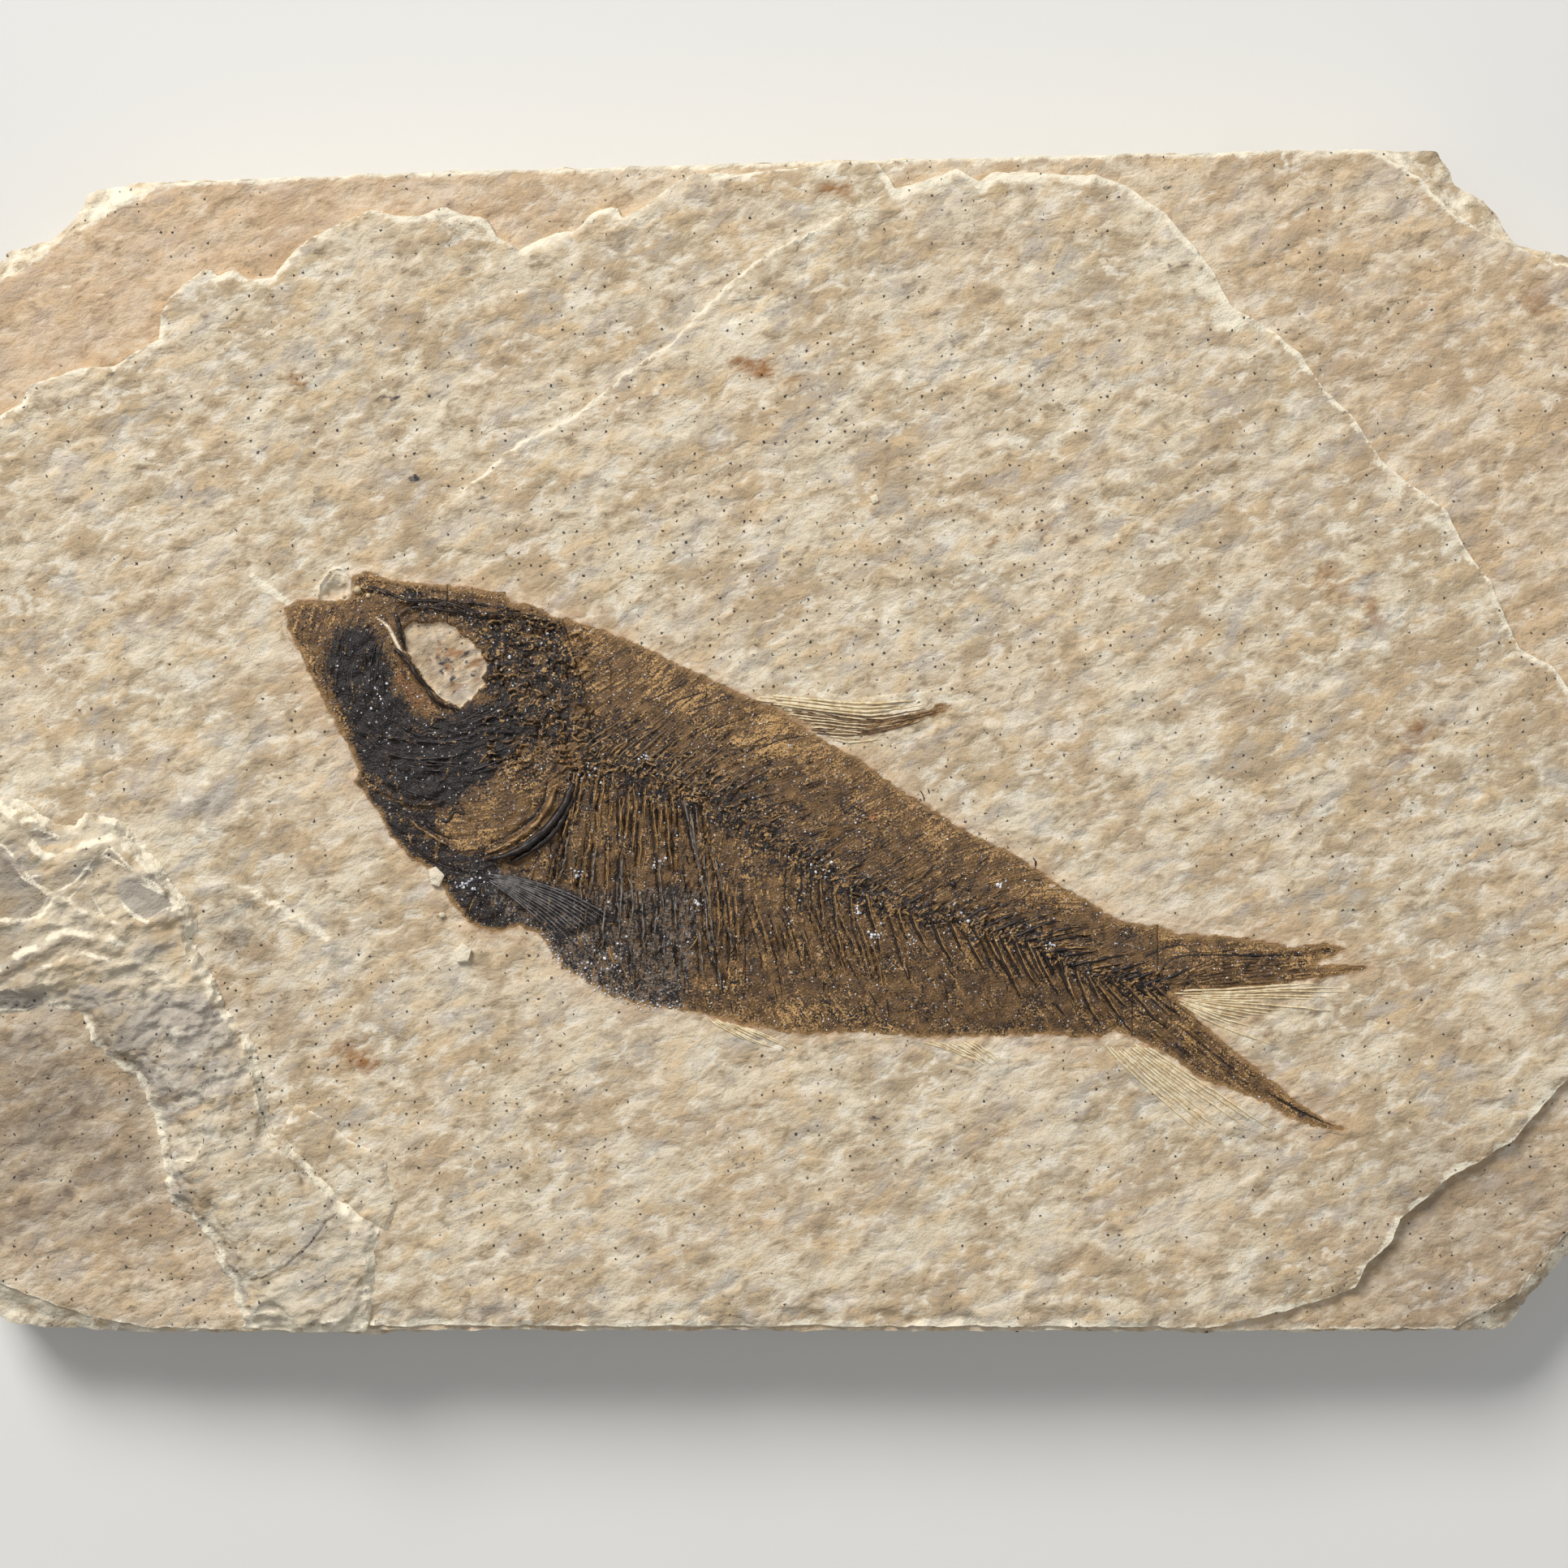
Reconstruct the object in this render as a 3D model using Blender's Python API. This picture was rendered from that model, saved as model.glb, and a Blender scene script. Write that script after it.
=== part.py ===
"""Fossil fish slab: a slab of split limestone with one flattened fish set in its face.

The slab lies on its flat back. +X runs along its length towards the fish's tail, +Y across its
width towards the fish's back, and +Z out of its face. The origin is in the middle of the back.
"""

import math

import bmesh
import bpy
from mathutils import Vector, noise
from mathutils.geometry import delaunay_2d_cdt, intersect_point_line

# Driving dimensions, in metres.
FISH_LENGTH = 0.090
FACE_HEIGHT = 0.0090        # top of the bed that holds the fish, above the back
BACK_BED_TOP = 0.0023
MIDDLE_BED_TOP = 0.0047
LOWER_BED_TOP = 0.0071
UPPER_BED_TOP = 0.0083
FLAKE_TOP = 0.0098
LOWER_LUMP_TOP = 0.0102
UPPER_LUMP_TOP = 0.0106
BED_LAP = 0.0003            # how far a bed reaches down into the one below
EDGE_STEP = 0.0032          # longest straight run on a broken edge
EDGE_CHIP = 0.0005          # deepest bite out of a broken edge
BACK_CHIP = 0.0016          # the same, on the beds at the back

POCKET_DEPTH = 0.0011       # below the face
FISH_GAP = 0.0003           # left all round the fish
FISH_RIM = 0.00012          # height of the fish's edge over the face
FISH_DOME = 0.00030         # further rise of its flank
DOME_REACH = 0.0035         # distance from the edge over which the flank rises
FLANK_STEP = 0.0020         # spacing of the points between the bones
BONE_STEP = 0.0014          # the same, along a bone
CLOSEST_BONE_POINTS = 0.00024
CLOSEST_FLANK_POINTS = 0.00070

# Outlines are drawn on a sheet whose squares are 1/1458 of the fish's length, counted to the
# right and downwards from a corner of the sheet.
FISH_SQUARES = 1458
SQUARE = FISH_LENGTH / FISH_SQUARES
SHEET_MIDDLE = (967, 912.5)  # the middle of the slab

SLAB_EDGE = [
    (-75, 900), (-70, 700), (-74, 500), (-60, 400), (-35, 345), (0, 301), (53, 289), (84, 260),
    (102, 225), (175, 217), (408, 209), (640, 201), (1046, 190), (1300, 185), (1700, 176),
    (1781, 175), (1807, 219), (1853, 250), (1877, 296), (1932, 305), (1975, 318), (2003, 360),
    (2008, 600), (2003, 800), (2009, 1000), (2005, 1200), (1998, 1400), (1980, 1510), (1925, 1575),
    (1891, 1609), (1867, 1647), (1489, 1648), (1000, 1646), (640, 1644), (476, 1650), (289, 1650),
    (47, 1646), (0, 1637), (-40, 1615), (-62, 1560), (-75, 1300), (-69, 1100),
]
UPPER_BED_EDGE = [
    (-66, 900), (-60, 700), (-64, 520), (-38, 380), (0, 338), (41, 315), (90, 278), (143, 248),
    (190, 224), (408, 213), (1046, 194), (1696, 181), (1756, 217), (1770, 234), (1800, 264),
    (1840, 286), (1890, 307), (1950, 330), (1986, 372), (1994, 600), (1988, 800), (1995, 1000),
    (1990, 1200), (1983, 1380), (1958, 1500), (1903, 1563), (1880, 1596), (1835, 1621),
    (1795, 1641), (1489, 1643), (476, 1644), (291, 1643), (182, 1640), (103, 1627), (61, 1612),
    (0, 1589), (-43, 1566), (-64, 1300), (-58, 1100),
]
FISH_BED_EDGE = [
    (-53, 700), (-49, 535), (0, 505), (60, 462), (130, 440), (190, 412), (200, 375), (235, 332),
    (262, 326), (290, 345), (335, 342), (365, 296), (420, 270), (460, 257), (500, 265), (530, 251),
    (600, 280), (640, 302), (690, 288), (740, 268), (775, 246), (845, 218), (900, 210), (1000, 206),
    (1046, 200), (1092, 205), (1100, 230), (1140, 226), (1176, 210), (1203, 221), (1240, 209),
    (1296, 210), (1370, 220), (1413, 241), (1441, 265), (1475, 303), (1503, 351), (1561, 399),
    (1604, 437), (1633, 480), (1666, 509), (1695, 542), (1714, 573), (1747, 600), (1771, 628),
    (1786, 630), (1805, 671), (1838, 714), (1857, 753), (1872, 796), (1910, 815), (1983, 870),
    (1980, 1000), (1985, 1150), (1978, 1290), (1932, 1339), (1900, 1371), (1868, 1399),
    (1826, 1437), (1788, 1455), (1755, 1483), (1723, 1511), (1709, 1539), (1690, 1567),
    (1667, 1586), (1634, 1595), (1587, 1615), (1517, 1626), (1490, 1637), (1000, 1635),
    (640, 1632), (477, 1636), (469, 1545), (434, 1480), (373, 1419), (322, 1345), (308, 1270),
    (262, 1200), (240, 1120), (190, 1060), (116, 1000), (72, 1007), (30, 982), (0, 990), (-48, 975),
    (-56, 850),
]
FLAKE_EDGE = [
    (-61, 1010), (0, 1003), (60, 1022), (110, 1015), (150, 1040), (190, 1075), (246, 1129),
    (263, 1198), (317, 1284), (338, 1387), (420, 1471), (469, 1506), (467, 1555), (448, 1636),
    (294, 1636), (263, 1584), (217, 1526), (192, 1482), (189, 1406), (162, 1331), (121, 1310),
    (84, 1243), (53, 1240), (0, 1252), (-61, 1240),
]
LOWER_LUMP_EDGE = [
    (-57, 1026), (0, 1020), (42, 1034), (69, 1048), (100, 1042), (135, 1048), (160, 1072),
    (183, 1090), (205, 1130), (215, 1180), (170, 1200), (120, 1196), (60, 1205), (0, 1215),
    (-57, 1206),
]
UPPER_LUMP_EDGE = [
    (-53, 1060), (0, 1052), (17, 1066), (37, 1086), (69, 1110), (104, 1140), (60, 1152),
    (0, 1164), (-53, 1166),
]
BED_STACK = [  # name, edge, floor, top, deepest chip
    ("middle_bed", SLAB_EDGE, BACK_BED_TOP - BED_LAP, MIDDLE_BED_TOP, EDGE_CHIP),
    ("lower_bed", SLAB_EDGE, MIDDLE_BED_TOP - BED_LAP, LOWER_BED_TOP, EDGE_CHIP),
    ("upper_bed", UPPER_BED_EDGE, LOWER_BED_TOP - BED_LAP, UPPER_BED_TOP, EDGE_CHIP),
    ("fish_bed", FISH_BED_EDGE, UPPER_BED_TOP - BED_LAP, FACE_HEIGHT, EDGE_CHIP),
    ("flakes", FLAKE_EDGE, UPPER_BED_TOP - BED_LAP, FLAKE_TOP, EDGE_CHIP),
    ("lower_lump", LOWER_LUMP_EDGE, FLAKE_TOP - BED_LAP, LOWER_LUMP_TOP, EDGE_CHIP),
    ("upper_lump", UPPER_LUMP_EDGE, LOWER_LUMP_TOP - BED_LAP, UPPER_LUMP_TOP, EDGE_CHIP),
]

FISH_EDGE = [
    # Snout and back.
    (353, 748), (380, 742), (430, 736), (434, 708), (457, 703), (520, 719), (571, 725), (628, 742),
    (698, 763), (749, 781), (829, 816), (880, 843), (925, 858),
    # Dorsal fin.
    (1000, 864), (1060, 869), (1125, 862), (1166, 862), (1186, 871), (1150, 886), (1105, 901),
    (1062, 914), (1026, 924),
    # Back, behind the dorsal fin.
    (1104, 971), (1203, 1032), (1300, 1089), (1380, 1135), (1432, 1142),
    # Tail fin: upper lobe, the web in the fork, and the lower lobe.
    (1486, 1152), (1560, 1160), (1600, 1170), (1640, 1162), (1656, 1171), (1640, 1184),
    (1690, 1191), (1692, 1214), (1655, 1256), (1607, 1273), (1545, 1299), (1550, 1318),
    (1601, 1358), (1658, 1392), (1616, 1389), (1565, 1366),
    # Anal fin.
    (1560, 1393), (1523, 1386), (1497, 1402), (1455, 1377), (1420, 1347), (1393, 1320), (1352, 1283),
    (1300, 1278), (1240, 1279), (1236, 1320), (1200, 1312), (1165, 1300), (1130, 1279),
    # Belly and pelvic fin.
    (1050, 1273), (1004, 1302), (960, 1294), (915, 1282), (869, 1251), (788, 1238), (716, 1204),
    (678, 1170), (641, 1143), (603, 1146),
    # Throat and jaw.
    (563, 1121), (529, 1073), (479, 1028), (441, 966), (443, 950), (405, 875), (368, 802),
    (355, 777),
]
BACKBONE = [
    (700, 915), (799, 955), (895, 993), (959, 1041), (1023, 1080), (1107, 1118), (1187, 1137),
    (1283, 1169), (1343, 1200), (1386, 1211), (1440, 1222),
]

# Bones, in metres.
VERTEBRA_COUNT = 36
VERTEBRA_HALF_WIDTH = 0.00062
VERTEBRA_RISE = 0.00034
VERTEBRA_WAIST = 0.00016
RIB_COUNT = 19
HAEMAL_COUNT = 11
NEURAL_COUNT = 21
BONE_HALF_WIDTH = 0.00042
BONE_RISE = 0.00022
RAY_HALF_WIDTH = 0.00034
RAY_RISE = 0.00014

# Each run of spines: bone length and lean, in squares and degrees from straight towards the
# belly (ribs) or the back (neural spines), at the first bone and at the last.
RIB_REACH = (175, 150)
RIB_LEAN = (-16, 16)
RIB_SPAN = (0.02, 0.50)
HAEMAL_REACH = (120, 62)
HAEMAL_LEAN = (20, 46)
HAEMAL_SPAN = (0.54, 0.95)
NEURAL_REACH = (95, 60)
NEURAL_LEAN = (38, 70)
NEURAL_SPAN = (0.05, 0.95)

# Head bones and fin rays: centre line in squares, half width and rise in metres.
HEAD_RIDGES = [
    ([(440, 716), (520, 733), (600, 748), (675, 775)], 0.0011, 0.00030),
    ([(366, 775), (392, 850), (432, 935), (470, 985)], 0.0010, 0.00026),
    ([(398, 775), (430, 850), (470, 915), (530, 965)], 0.0009, 0.00022),
    ([(493, 803), (530, 840), (565, 872)], 0.0006, 0.00030),
    ([(590, 890), (640, 860), (668, 815), (672, 775)], 0.0010, 0.00024),
    ([(712, 966), (683, 1017), (644, 1049), (597, 1064)], 0.0008, 0.00034),
    ([(445, 975), (490, 1022), (540, 1068), (590, 1110)], 0.0008, 0.00022),
]
FIN_RAYS = [
    [(608, 1083), (667, 1093), (721, 1115), (757, 1136)],
    [(612, 1092), (660, 1110), (705, 1135), (730, 1155)],
    [(614, 1103), (645, 1122), (675, 1147)],
    [(945, 862), (1010, 874), (1080, 878), (1150, 872)],
    [(960, 877), (1020, 889), (1080, 891), (1140, 882)],
    [(980, 893), (1030, 902), (1075, 901)],
    [(1455, 1178), (1520, 1175), (1580, 1180), (1636, 1172)],
    [(1458, 1196), (1530, 1194), (1600, 1196), (1680, 1198)],
    [(1458, 1214), (1530, 1212), (1600, 1210)],
    [(1470, 1228), (1530, 1238), (1600, 1252)],
    [(1480, 1240), (1530, 1262), (1570, 1276)],
    [(1450, 1262), (1495, 1298), (1540, 1334), (1600, 1374)],
    [(1420, 1255), (1465, 1298), (1515, 1336)],
    [(1386, 1292), (1440, 1342), (1497, 1388)],
    [(1408, 1296), (1460, 1340), (1510, 1368)],
]
EYE_CENTRE = (553, 818)
EYE_RADII = (0.0036, 0.0027)
EYE_TURN = -38.0
EYE_SINK = 0.00030
GILL_COVER_CENTRE = (606, 1000)
GILL_COVER_RADII = (0.0044, 0.0031)
GILL_COVER_TURN = 42.0
GILL_COVER_RISE = 0.00022

STONE_COLOUR = (0.58, 0.48, 0.34)
BONE_COLOUR = (0.12, 0.065, 0.025)
STONE_ROUGHNESS = 0.9
BONE_ROUGHNESS = 0.6


def on_slab(square):
    """The point of the slab's face at a square of the sheet, in metres."""
    across, down = square
    return Vector(((across - SHEET_MIDDLE[0]) * SQUARE, (SHEET_MIDDLE[1] - down) * SQUARE))


def traced(squares):
    return [on_slab(square) for square in squares]


def outward(outline, index):
    """Unit vector out of a clockwise outline at one of its points."""
    before = outline[index] - outline[index - 1]
    after = outline[(index + 1) % len(outline)] - outline[index]
    along = before.normalized() + after.normalized()
    if along.length < 0.2:
        along = before
    return Vector((-along.y, along.x)).normalized()


def swollen(outline, by):
    """The outline moved outwards by a distance."""
    return [point + by * outward(outline, i) for i, point in enumerate(outline)]


def broken_edge(outline, deepest, seed):
    """The outline with its long runs split and its points bitten inwards, as stone breaks."""
    split = []
    for i, start in enumerate(outline):
        end = outline[(i + 1) % len(outline)]
        pieces = max(1, round((end - start).length / EDGE_STEP))
        split += [start.lerp(end, k / pieces) for k in range(pieces)]
    bitten = []
    for i, point in enumerate(split):
        bite = 0.5 + 0.5 * noise.noise(Vector((point.x, point.y, 0)) * 400 + Vector((0, 0, seed)))
        bitten.append(point - min(1.0, max(0.0, bite)) * deepest * outward(split, i))
    return bitten


def prism(name, outline, floor, top):
    """A closed solid with straight walls over an outline."""
    mesh = bmesh.new()
    base = mesh.faces.new([mesh.verts.new((p.x, p.y, floor)) for p in outline])
    grown = bmesh.ops.extrude_face_region(mesh, geom=[base])
    lifted = [item for item in grown["geom"] if isinstance(item, bmesh.types.BMVert)]
    bmesh.ops.translate(mesh, verts=lifted, vec=(0, 0, top - floor))
    bmesh.ops.recalc_face_normals(mesh, faces=mesh.faces)
    return placed(name, mesh)


def placed(name, mesh):
    data = bpy.data.meshes.new(name)
    mesh.to_mesh(data)
    mesh.free()
    obj = bpy.data.objects.new(name, data)
    bpy.context.scene.collection.objects.link(obj)
    return obj


def combine(target, other, operation):
    """Boolean `other` into `target`; `other` stays as a hidden helper."""
    other.hide_render = True
    other.display_type = "WIRE"
    cut = target.modifiers.new(other.name, "BOOLEAN")
    cut.operation = operation
    cut.solver = "EXACT"
    cut.object = other


def material(name, colour, roughness):
    made = bpy.data.materials.new(name)
    made.use_nodes = True
    shader = made.node_tree.nodes["Principled BSDF"]
    shader.inputs["Base Color"].default_value = (*colour, 1)
    shader.inputs["Roughness"].default_value = roughness
    shader.inputs["Metallic"].default_value = 0.0
    return made


def along_line(points, share):
    """The point a share of the way along a line, and the line's direction there."""
    lengths = [(b - a).length for a, b in zip(points, points[1:])]
    left = share * sum(lengths)
    for start, end, length in zip(points, points[1:], lengths):
        if left <= length:
            break
        left -= length
    return start.lerp(end, min(1.0, left / length)), (end - start).normalized()


def spine_run(backbone, count, span, reach, lean, side):
    """Straight bones that leave the backbone one after another, towards one side of the fish."""
    bones = []
    for i in range(count):
        share = i / (count - 1)
        root, _ = along_line(backbone, span[0] + share * (span[1] - span[0]))
        turn = math.radians(lean[0] + share * (lean[1] - lean[0]))
        length = SQUARE * (reach[0] + share * (reach[1] - reach[0]))
        way = Vector((math.sin(turn), side * math.cos(turn)))
        start = root + 1.6 * VERTEBRA_HALF_WIDTH * way
        bones.append([start, start + 0.5 * length * way, start + length * way])
    return bones


class Ridge:
    """A long low bone: a crest along a line, falling to nothing at each side."""

    def __init__(self, line, half_width, rise):
        self.line = line
        self.half_width = half_width
        self.rise = rise

    def height(self, point):
        nearest = min(distance_to_run(point, a, b) for a, b in zip(self.line, self.line[1:]))
        return self.rise * max(0.0, 1 - nearest / self.half_width)

    def points(self):
        """Points on the crest and at the foot of both flanks."""
        length = sum((b - a).length for a, b in zip(self.line, self.line[1:]))
        steps = max(1, round(length / BONE_STEP))
        crest, feet = [], []
        for i in range(steps + 1):
            point, along = along_line(self.line, i / steps)
            across = self.half_width * Vector((-along.y, along.x))
            crest.append(point)
            feet += [point + across, point - across]
        return crest, feet


class Mound:
    """An oval swelling, or a hollow when its rise is negative."""

    def __init__(self, centre, radii, turn, rise):
        self.centre = centre
        self.radii = radii
        self.turn = math.radians(turn)
        self.rise = rise

    def height(self, point):
        away = point - self.centre
        along = away.x * math.cos(self.turn) + away.y * math.sin(self.turn)
        across = away.y * math.cos(self.turn) - away.x * math.sin(self.turn)
        share = (along / self.radii[0]) ** 2 + (across / self.radii[1]) ** 2
        return self.rise * max(0.0, 1 - share ** 2)

    def points(self):
        """Points on the centre and an inner ring, and on a ring round the edge."""
        found = [self.centre]
        for ring, count in ((0.55, 8), (1.0, 16)):
            for i in range(count):
                angle = 2 * math.pi * i / count
                along = ring * self.radii[0] * math.cos(angle)
                across = ring * self.radii[1] * math.sin(angle)
                turned = (
                    along * math.cos(self.turn) - across * math.sin(self.turn),
                    along * math.sin(self.turn) + across * math.cos(self.turn),
                )
                found.append(self.centre + Vector(turned))
        return found[:9], found[9:]


def distance_to_run(point, start, end):
    nearest, share = intersect_point_line(point, start, end)
    if share <= 0:
        return (point - start).length
    if share >= 1:
        return (point - end).length
    return (point - nearest.to_2d()).length


def distance_to_edge(point, outline):
    return min(distance_to_run(point, outline[i - 1], outline[i]) for i in range(len(outline)))


def is_inside(point, outline):
    """Whether a point lies inside an outline, by counting crossings to its right."""
    crossings = 0
    for i, end in enumerate(outline):
        start = outline[i - 1]
        if (start.y > point.y) == (end.y > point.y):
            continue
        at = start.x + (point.y - start.y) / (end.y - start.y) * (end.x - start.x)
        crossings += at > point.x
    return crossings % 2 == 1


def fish_bones():
    """Everything that stands up from, or is sunk in, the fish's flank."""
    backbone = traced(BACKBONE)
    bones = []
    joints = 2 * VERTEBRA_COUNT
    for i in range(VERTEBRA_COUNT):
        start, _ = along_line(backbone, 2 * i / joints)
        end, _ = along_line(backbone, (2 * i + 1.2) / joints)
        bones.append(Ridge([start, end], VERTEBRA_HALF_WIDTH, VERTEBRA_RISE))
    bones.append(Ridge(backbone, VERTEBRA_HALF_WIDTH, VERTEBRA_WAIST))
    runs = (
        spine_run(backbone, RIB_COUNT, RIB_SPAN, RIB_REACH, RIB_LEAN, -1)
        + spine_run(backbone, HAEMAL_COUNT, HAEMAL_SPAN, HAEMAL_REACH, HAEMAL_LEAN, -1)
        + spine_run(backbone, NEURAL_COUNT, NEURAL_SPAN, NEURAL_REACH, NEURAL_LEAN, 1)
    )
    bones += [Ridge(line, BONE_HALF_WIDTH, BONE_RISE) for line in runs]
    bones += [Ridge(traced(line), RAY_HALF_WIDTH, RAY_RISE) for line in FIN_RAYS]
    bones += [Ridge(traced(line), width, rise) for line, width, rise in HEAD_RIDGES]
    bones.append(
        Mound(on_slab(GILL_COVER_CENTRE), GILL_COVER_RADII, GILL_COVER_TURN, GILL_COVER_RISE)
    )
    bones.append(Mound(on_slab(EYE_CENTRE), EYE_RADII, EYE_TURN, -EYE_SINK))
    return bones


def flank_grid(outline):
    """A loose grid of points over the whole fish, every second row set off by half a step."""
    low = Vector((min(p.x for p in outline), min(p.y for p in outline)))
    high = Vector((max(p.x for p in outline), max(p.y for p in outline)))
    found = []
    rows = int((high.y - low.y) / (FLANK_STEP * math.sqrt(0.75)))
    for row in range(1, rows + 1):
        columns = int((high.x - low.x) / FLANK_STEP)
        for column in range(columns + 1):
            x = low.x + (column + 0.5 * (row % 2)) * FLANK_STEP
            found.append(Vector((x, low.y + row * FLANK_STEP * math.sqrt(0.75))))
    return found


def thinned(points, outline, closest, kept=()):
    """The points inside the outline that keep clear of it, of the kept points and of each other."""
    taken = []
    cells = {}
    for point in kept:
        cells.setdefault((int(point.x // closest), int(point.y // closest)), []).append(point)
    for point in points:
        if not is_inside(point, outline) or distance_to_edge(point, outline) < closest:
            continue
        cell = (int(point.x // closest), int(point.y // closest))
        near = [
            other
            for dx in (-1, 0, 1)
            for dy in (-1, 0, 1)
            for other in cells.get((cell[0] + dx, cell[1] + dy), [])
        ]
        if all((other - point).length >= closest for other in near):
            cells.setdefault(cell, []).append(point)
            taken.append(point)
    return taken


def relief_solid(name, outline, floor, surface, features):
    """A solid over an outline whose top follows the features, closed by walls and a flat floor."""
    crests, feet = [], []
    for feature in features:
        high, low = feature.points()
        crests += high
        feet += low
    bone_points = thinned(crests + feet, outline, CLOSEST_BONE_POINTS)
    flank_points = thinned(flank_grid(outline), outline, CLOSEST_FLANK_POINTS, bone_points)
    flat = [point * 1000 for point in outline + bone_points + flank_points]
    edges = [(i, (i + 1) % len(outline)) for i in range(len(outline))]
    corners, _, faces, *_ = delaunay_2d_cdt(flat, edges, [], 1, 1e-5)
    mesh = bmesh.new()
    for corner in corners:
        point = corner / 1000
        mesh.verts.new((point.x, point.y, surface(point)))
    mesh.verts.ensure_lookup_table()
    for face in faces:
        mesh.faces.new([mesh.verts[i] for i in face])
    rim = [edge for edge in mesh.edges if edge.is_boundary]
    dropped = bmesh.ops.extrude_edge_only(mesh, edges=rim)["geom"]
    for item in dropped:
        if isinstance(item, bmesh.types.BMVert):
            item.co.z = floor
    low_rim = [item for item in dropped if isinstance(item, bmesh.types.BMEdge)]
    bmesh.ops.contextual_create(mesh, geom=[edge for edge in low_rim if edge.is_boundary])
    bmesh.ops.recalc_face_normals(mesh, faces=mesh.faces)
    return placed(name, mesh)


def build_fish():
    outline = traced(FISH_EDGE)
    bones = fish_bones()

    def surface(point):
        share = min(1.0, distance_to_edge(point, outline) / DOME_REACH)
        flank = FISH_RIM + FISH_DOME * share * (2 - share)
        raised = max([bone.height(point) for bone in bones if bone.height(point) > 0] or [0])
        sunk = min(bone.height(point) for bone in bones)
        return FACE_HEIGHT + flank + raised + sunk

    floor = FACE_HEIGHT - POCKET_DEPTH + FISH_GAP
    fish = relief_solid("fossil_fish", outline, floor, surface, bones)
    fish.data.materials.append(material("fossil_bone", BONE_COLOUR, BONE_ROUGHNESS))
    return fish


def build_slab():
    back_edge = broken_edge(traced(SLAB_EDGE), BACK_CHIP, 1)
    slab = prism("limestone_slab", back_edge, 0, BACK_BED_TOP)
    for seed, (name, edge, floor, top, deepest) in enumerate(BED_STACK, 2):
        bed = prism(name, broken_edge(traced(edge), deepest, seed), floor, top)
        combine(slab, bed, "UNION")
    pocket_edge = swollen(traced(FISH_EDGE), FISH_GAP)
    pocket = prism("fish_pocket", pocket_edge, FACE_HEIGHT - POCKET_DEPTH, 2 * FACE_HEIGHT)
    combine(slab, pocket, "DIFFERENCE")
    slab.data.materials.append(material("limestone", STONE_COLOUR, STONE_ROUGHNESS))
    return slab


def main():
    for obj in list(bpy.data.objects):
        bpy.data.objects.remove(obj, do_unlink=True)
    build_slab()
    build_fish()


main()
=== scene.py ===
"""The looks of the fossil fish slab.

The slab is built bed by bed, as it split: a back bed, the lower beds with their broken sides, the
upper bed, the bed that holds the fish, and the stack of flakes over it. The fish is one thin sheet
let into the face, with its fin rays, mineral grains and loose chips on top of it.

Lengths are in millimetres until a mesh is made. Outlines are drawn on a sheet whose squares are
1/1458 of the fish's length, counted to the right and downwards from a corner of the sheet.
"""

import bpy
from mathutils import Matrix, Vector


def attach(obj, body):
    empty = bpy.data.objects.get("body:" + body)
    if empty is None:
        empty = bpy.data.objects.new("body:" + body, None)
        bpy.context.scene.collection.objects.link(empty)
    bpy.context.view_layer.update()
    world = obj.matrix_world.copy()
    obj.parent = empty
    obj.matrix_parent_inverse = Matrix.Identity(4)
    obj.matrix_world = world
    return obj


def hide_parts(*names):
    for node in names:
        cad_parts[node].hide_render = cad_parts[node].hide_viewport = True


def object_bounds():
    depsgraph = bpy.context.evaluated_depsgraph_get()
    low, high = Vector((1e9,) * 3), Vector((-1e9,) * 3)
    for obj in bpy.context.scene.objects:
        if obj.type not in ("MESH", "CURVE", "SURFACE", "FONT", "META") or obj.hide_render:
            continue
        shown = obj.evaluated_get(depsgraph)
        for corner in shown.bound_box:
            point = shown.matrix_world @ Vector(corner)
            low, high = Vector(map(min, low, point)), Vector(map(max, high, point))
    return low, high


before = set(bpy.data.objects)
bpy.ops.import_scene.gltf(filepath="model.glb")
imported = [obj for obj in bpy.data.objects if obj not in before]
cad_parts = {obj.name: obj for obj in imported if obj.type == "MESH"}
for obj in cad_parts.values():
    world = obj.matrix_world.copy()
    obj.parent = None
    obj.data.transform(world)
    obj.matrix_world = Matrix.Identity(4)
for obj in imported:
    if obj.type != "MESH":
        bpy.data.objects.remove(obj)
CAD_BOX = [[float(n) for n in corner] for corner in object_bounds()]

import logging
import math
from collections.abc import Callable, Sequence
from dataclasses import dataclass, field
from enum import Enum
from functools import cache
from typing import ClassVar

import bmesh
import bpy
import numpy as np
from mathutils import Euler, Matrix, Vector

LOG = logging.getLogger("fossil_fish_slab")

MM = 0.001
FISH_LENGTH = 90.0
FISH_SQUARES = 1458
SQUARE = FISH_LENGTH / FISH_SQUARES
SHEET_MIDDLE = (967.0, 912.5)

FACE_HEIGHT = 9.0
LOWER_BED_TOP = 7.1
UPPER_BED_TOP = 8.3
HOLE_FLOOR = 0.35
LEDGE_GAP = 0.05
BODY = "root"
MASKS = (
    "tan", "grey", "honey", "fresh", "warm", "rust", "soot_and_painted_shadow", "specks",
    "film", "dark", "amber", "ash", "orange", "across", "along", "painted_shade", "grainy", "calm", "side",
)

Squares = Sequence[tuple[float, float]]
# Square, radii in millimetres, lean in degrees, strength.
Spot = tuple[tuple[float, float], tuple[float, float], float, float]
Field = np.ndarray


def from_sheet(squares: Squares) -> np.ndarray:
    """Turn squares of the sheet into points of the slab.

    Args:
        squares: Pairs of squares, counted to the right and downwards.

    Returns:
        An array of x and y in millimetres.
    """
    drawn = np.asarray(squares, float)
    return np.column_stack(
        ((drawn[:, 0] - SHEET_MIDDLE[0]) * SQUARE, (SHEET_MIDDLE[1] - drawn[:, 1]) * SQUARE)
    )


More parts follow.
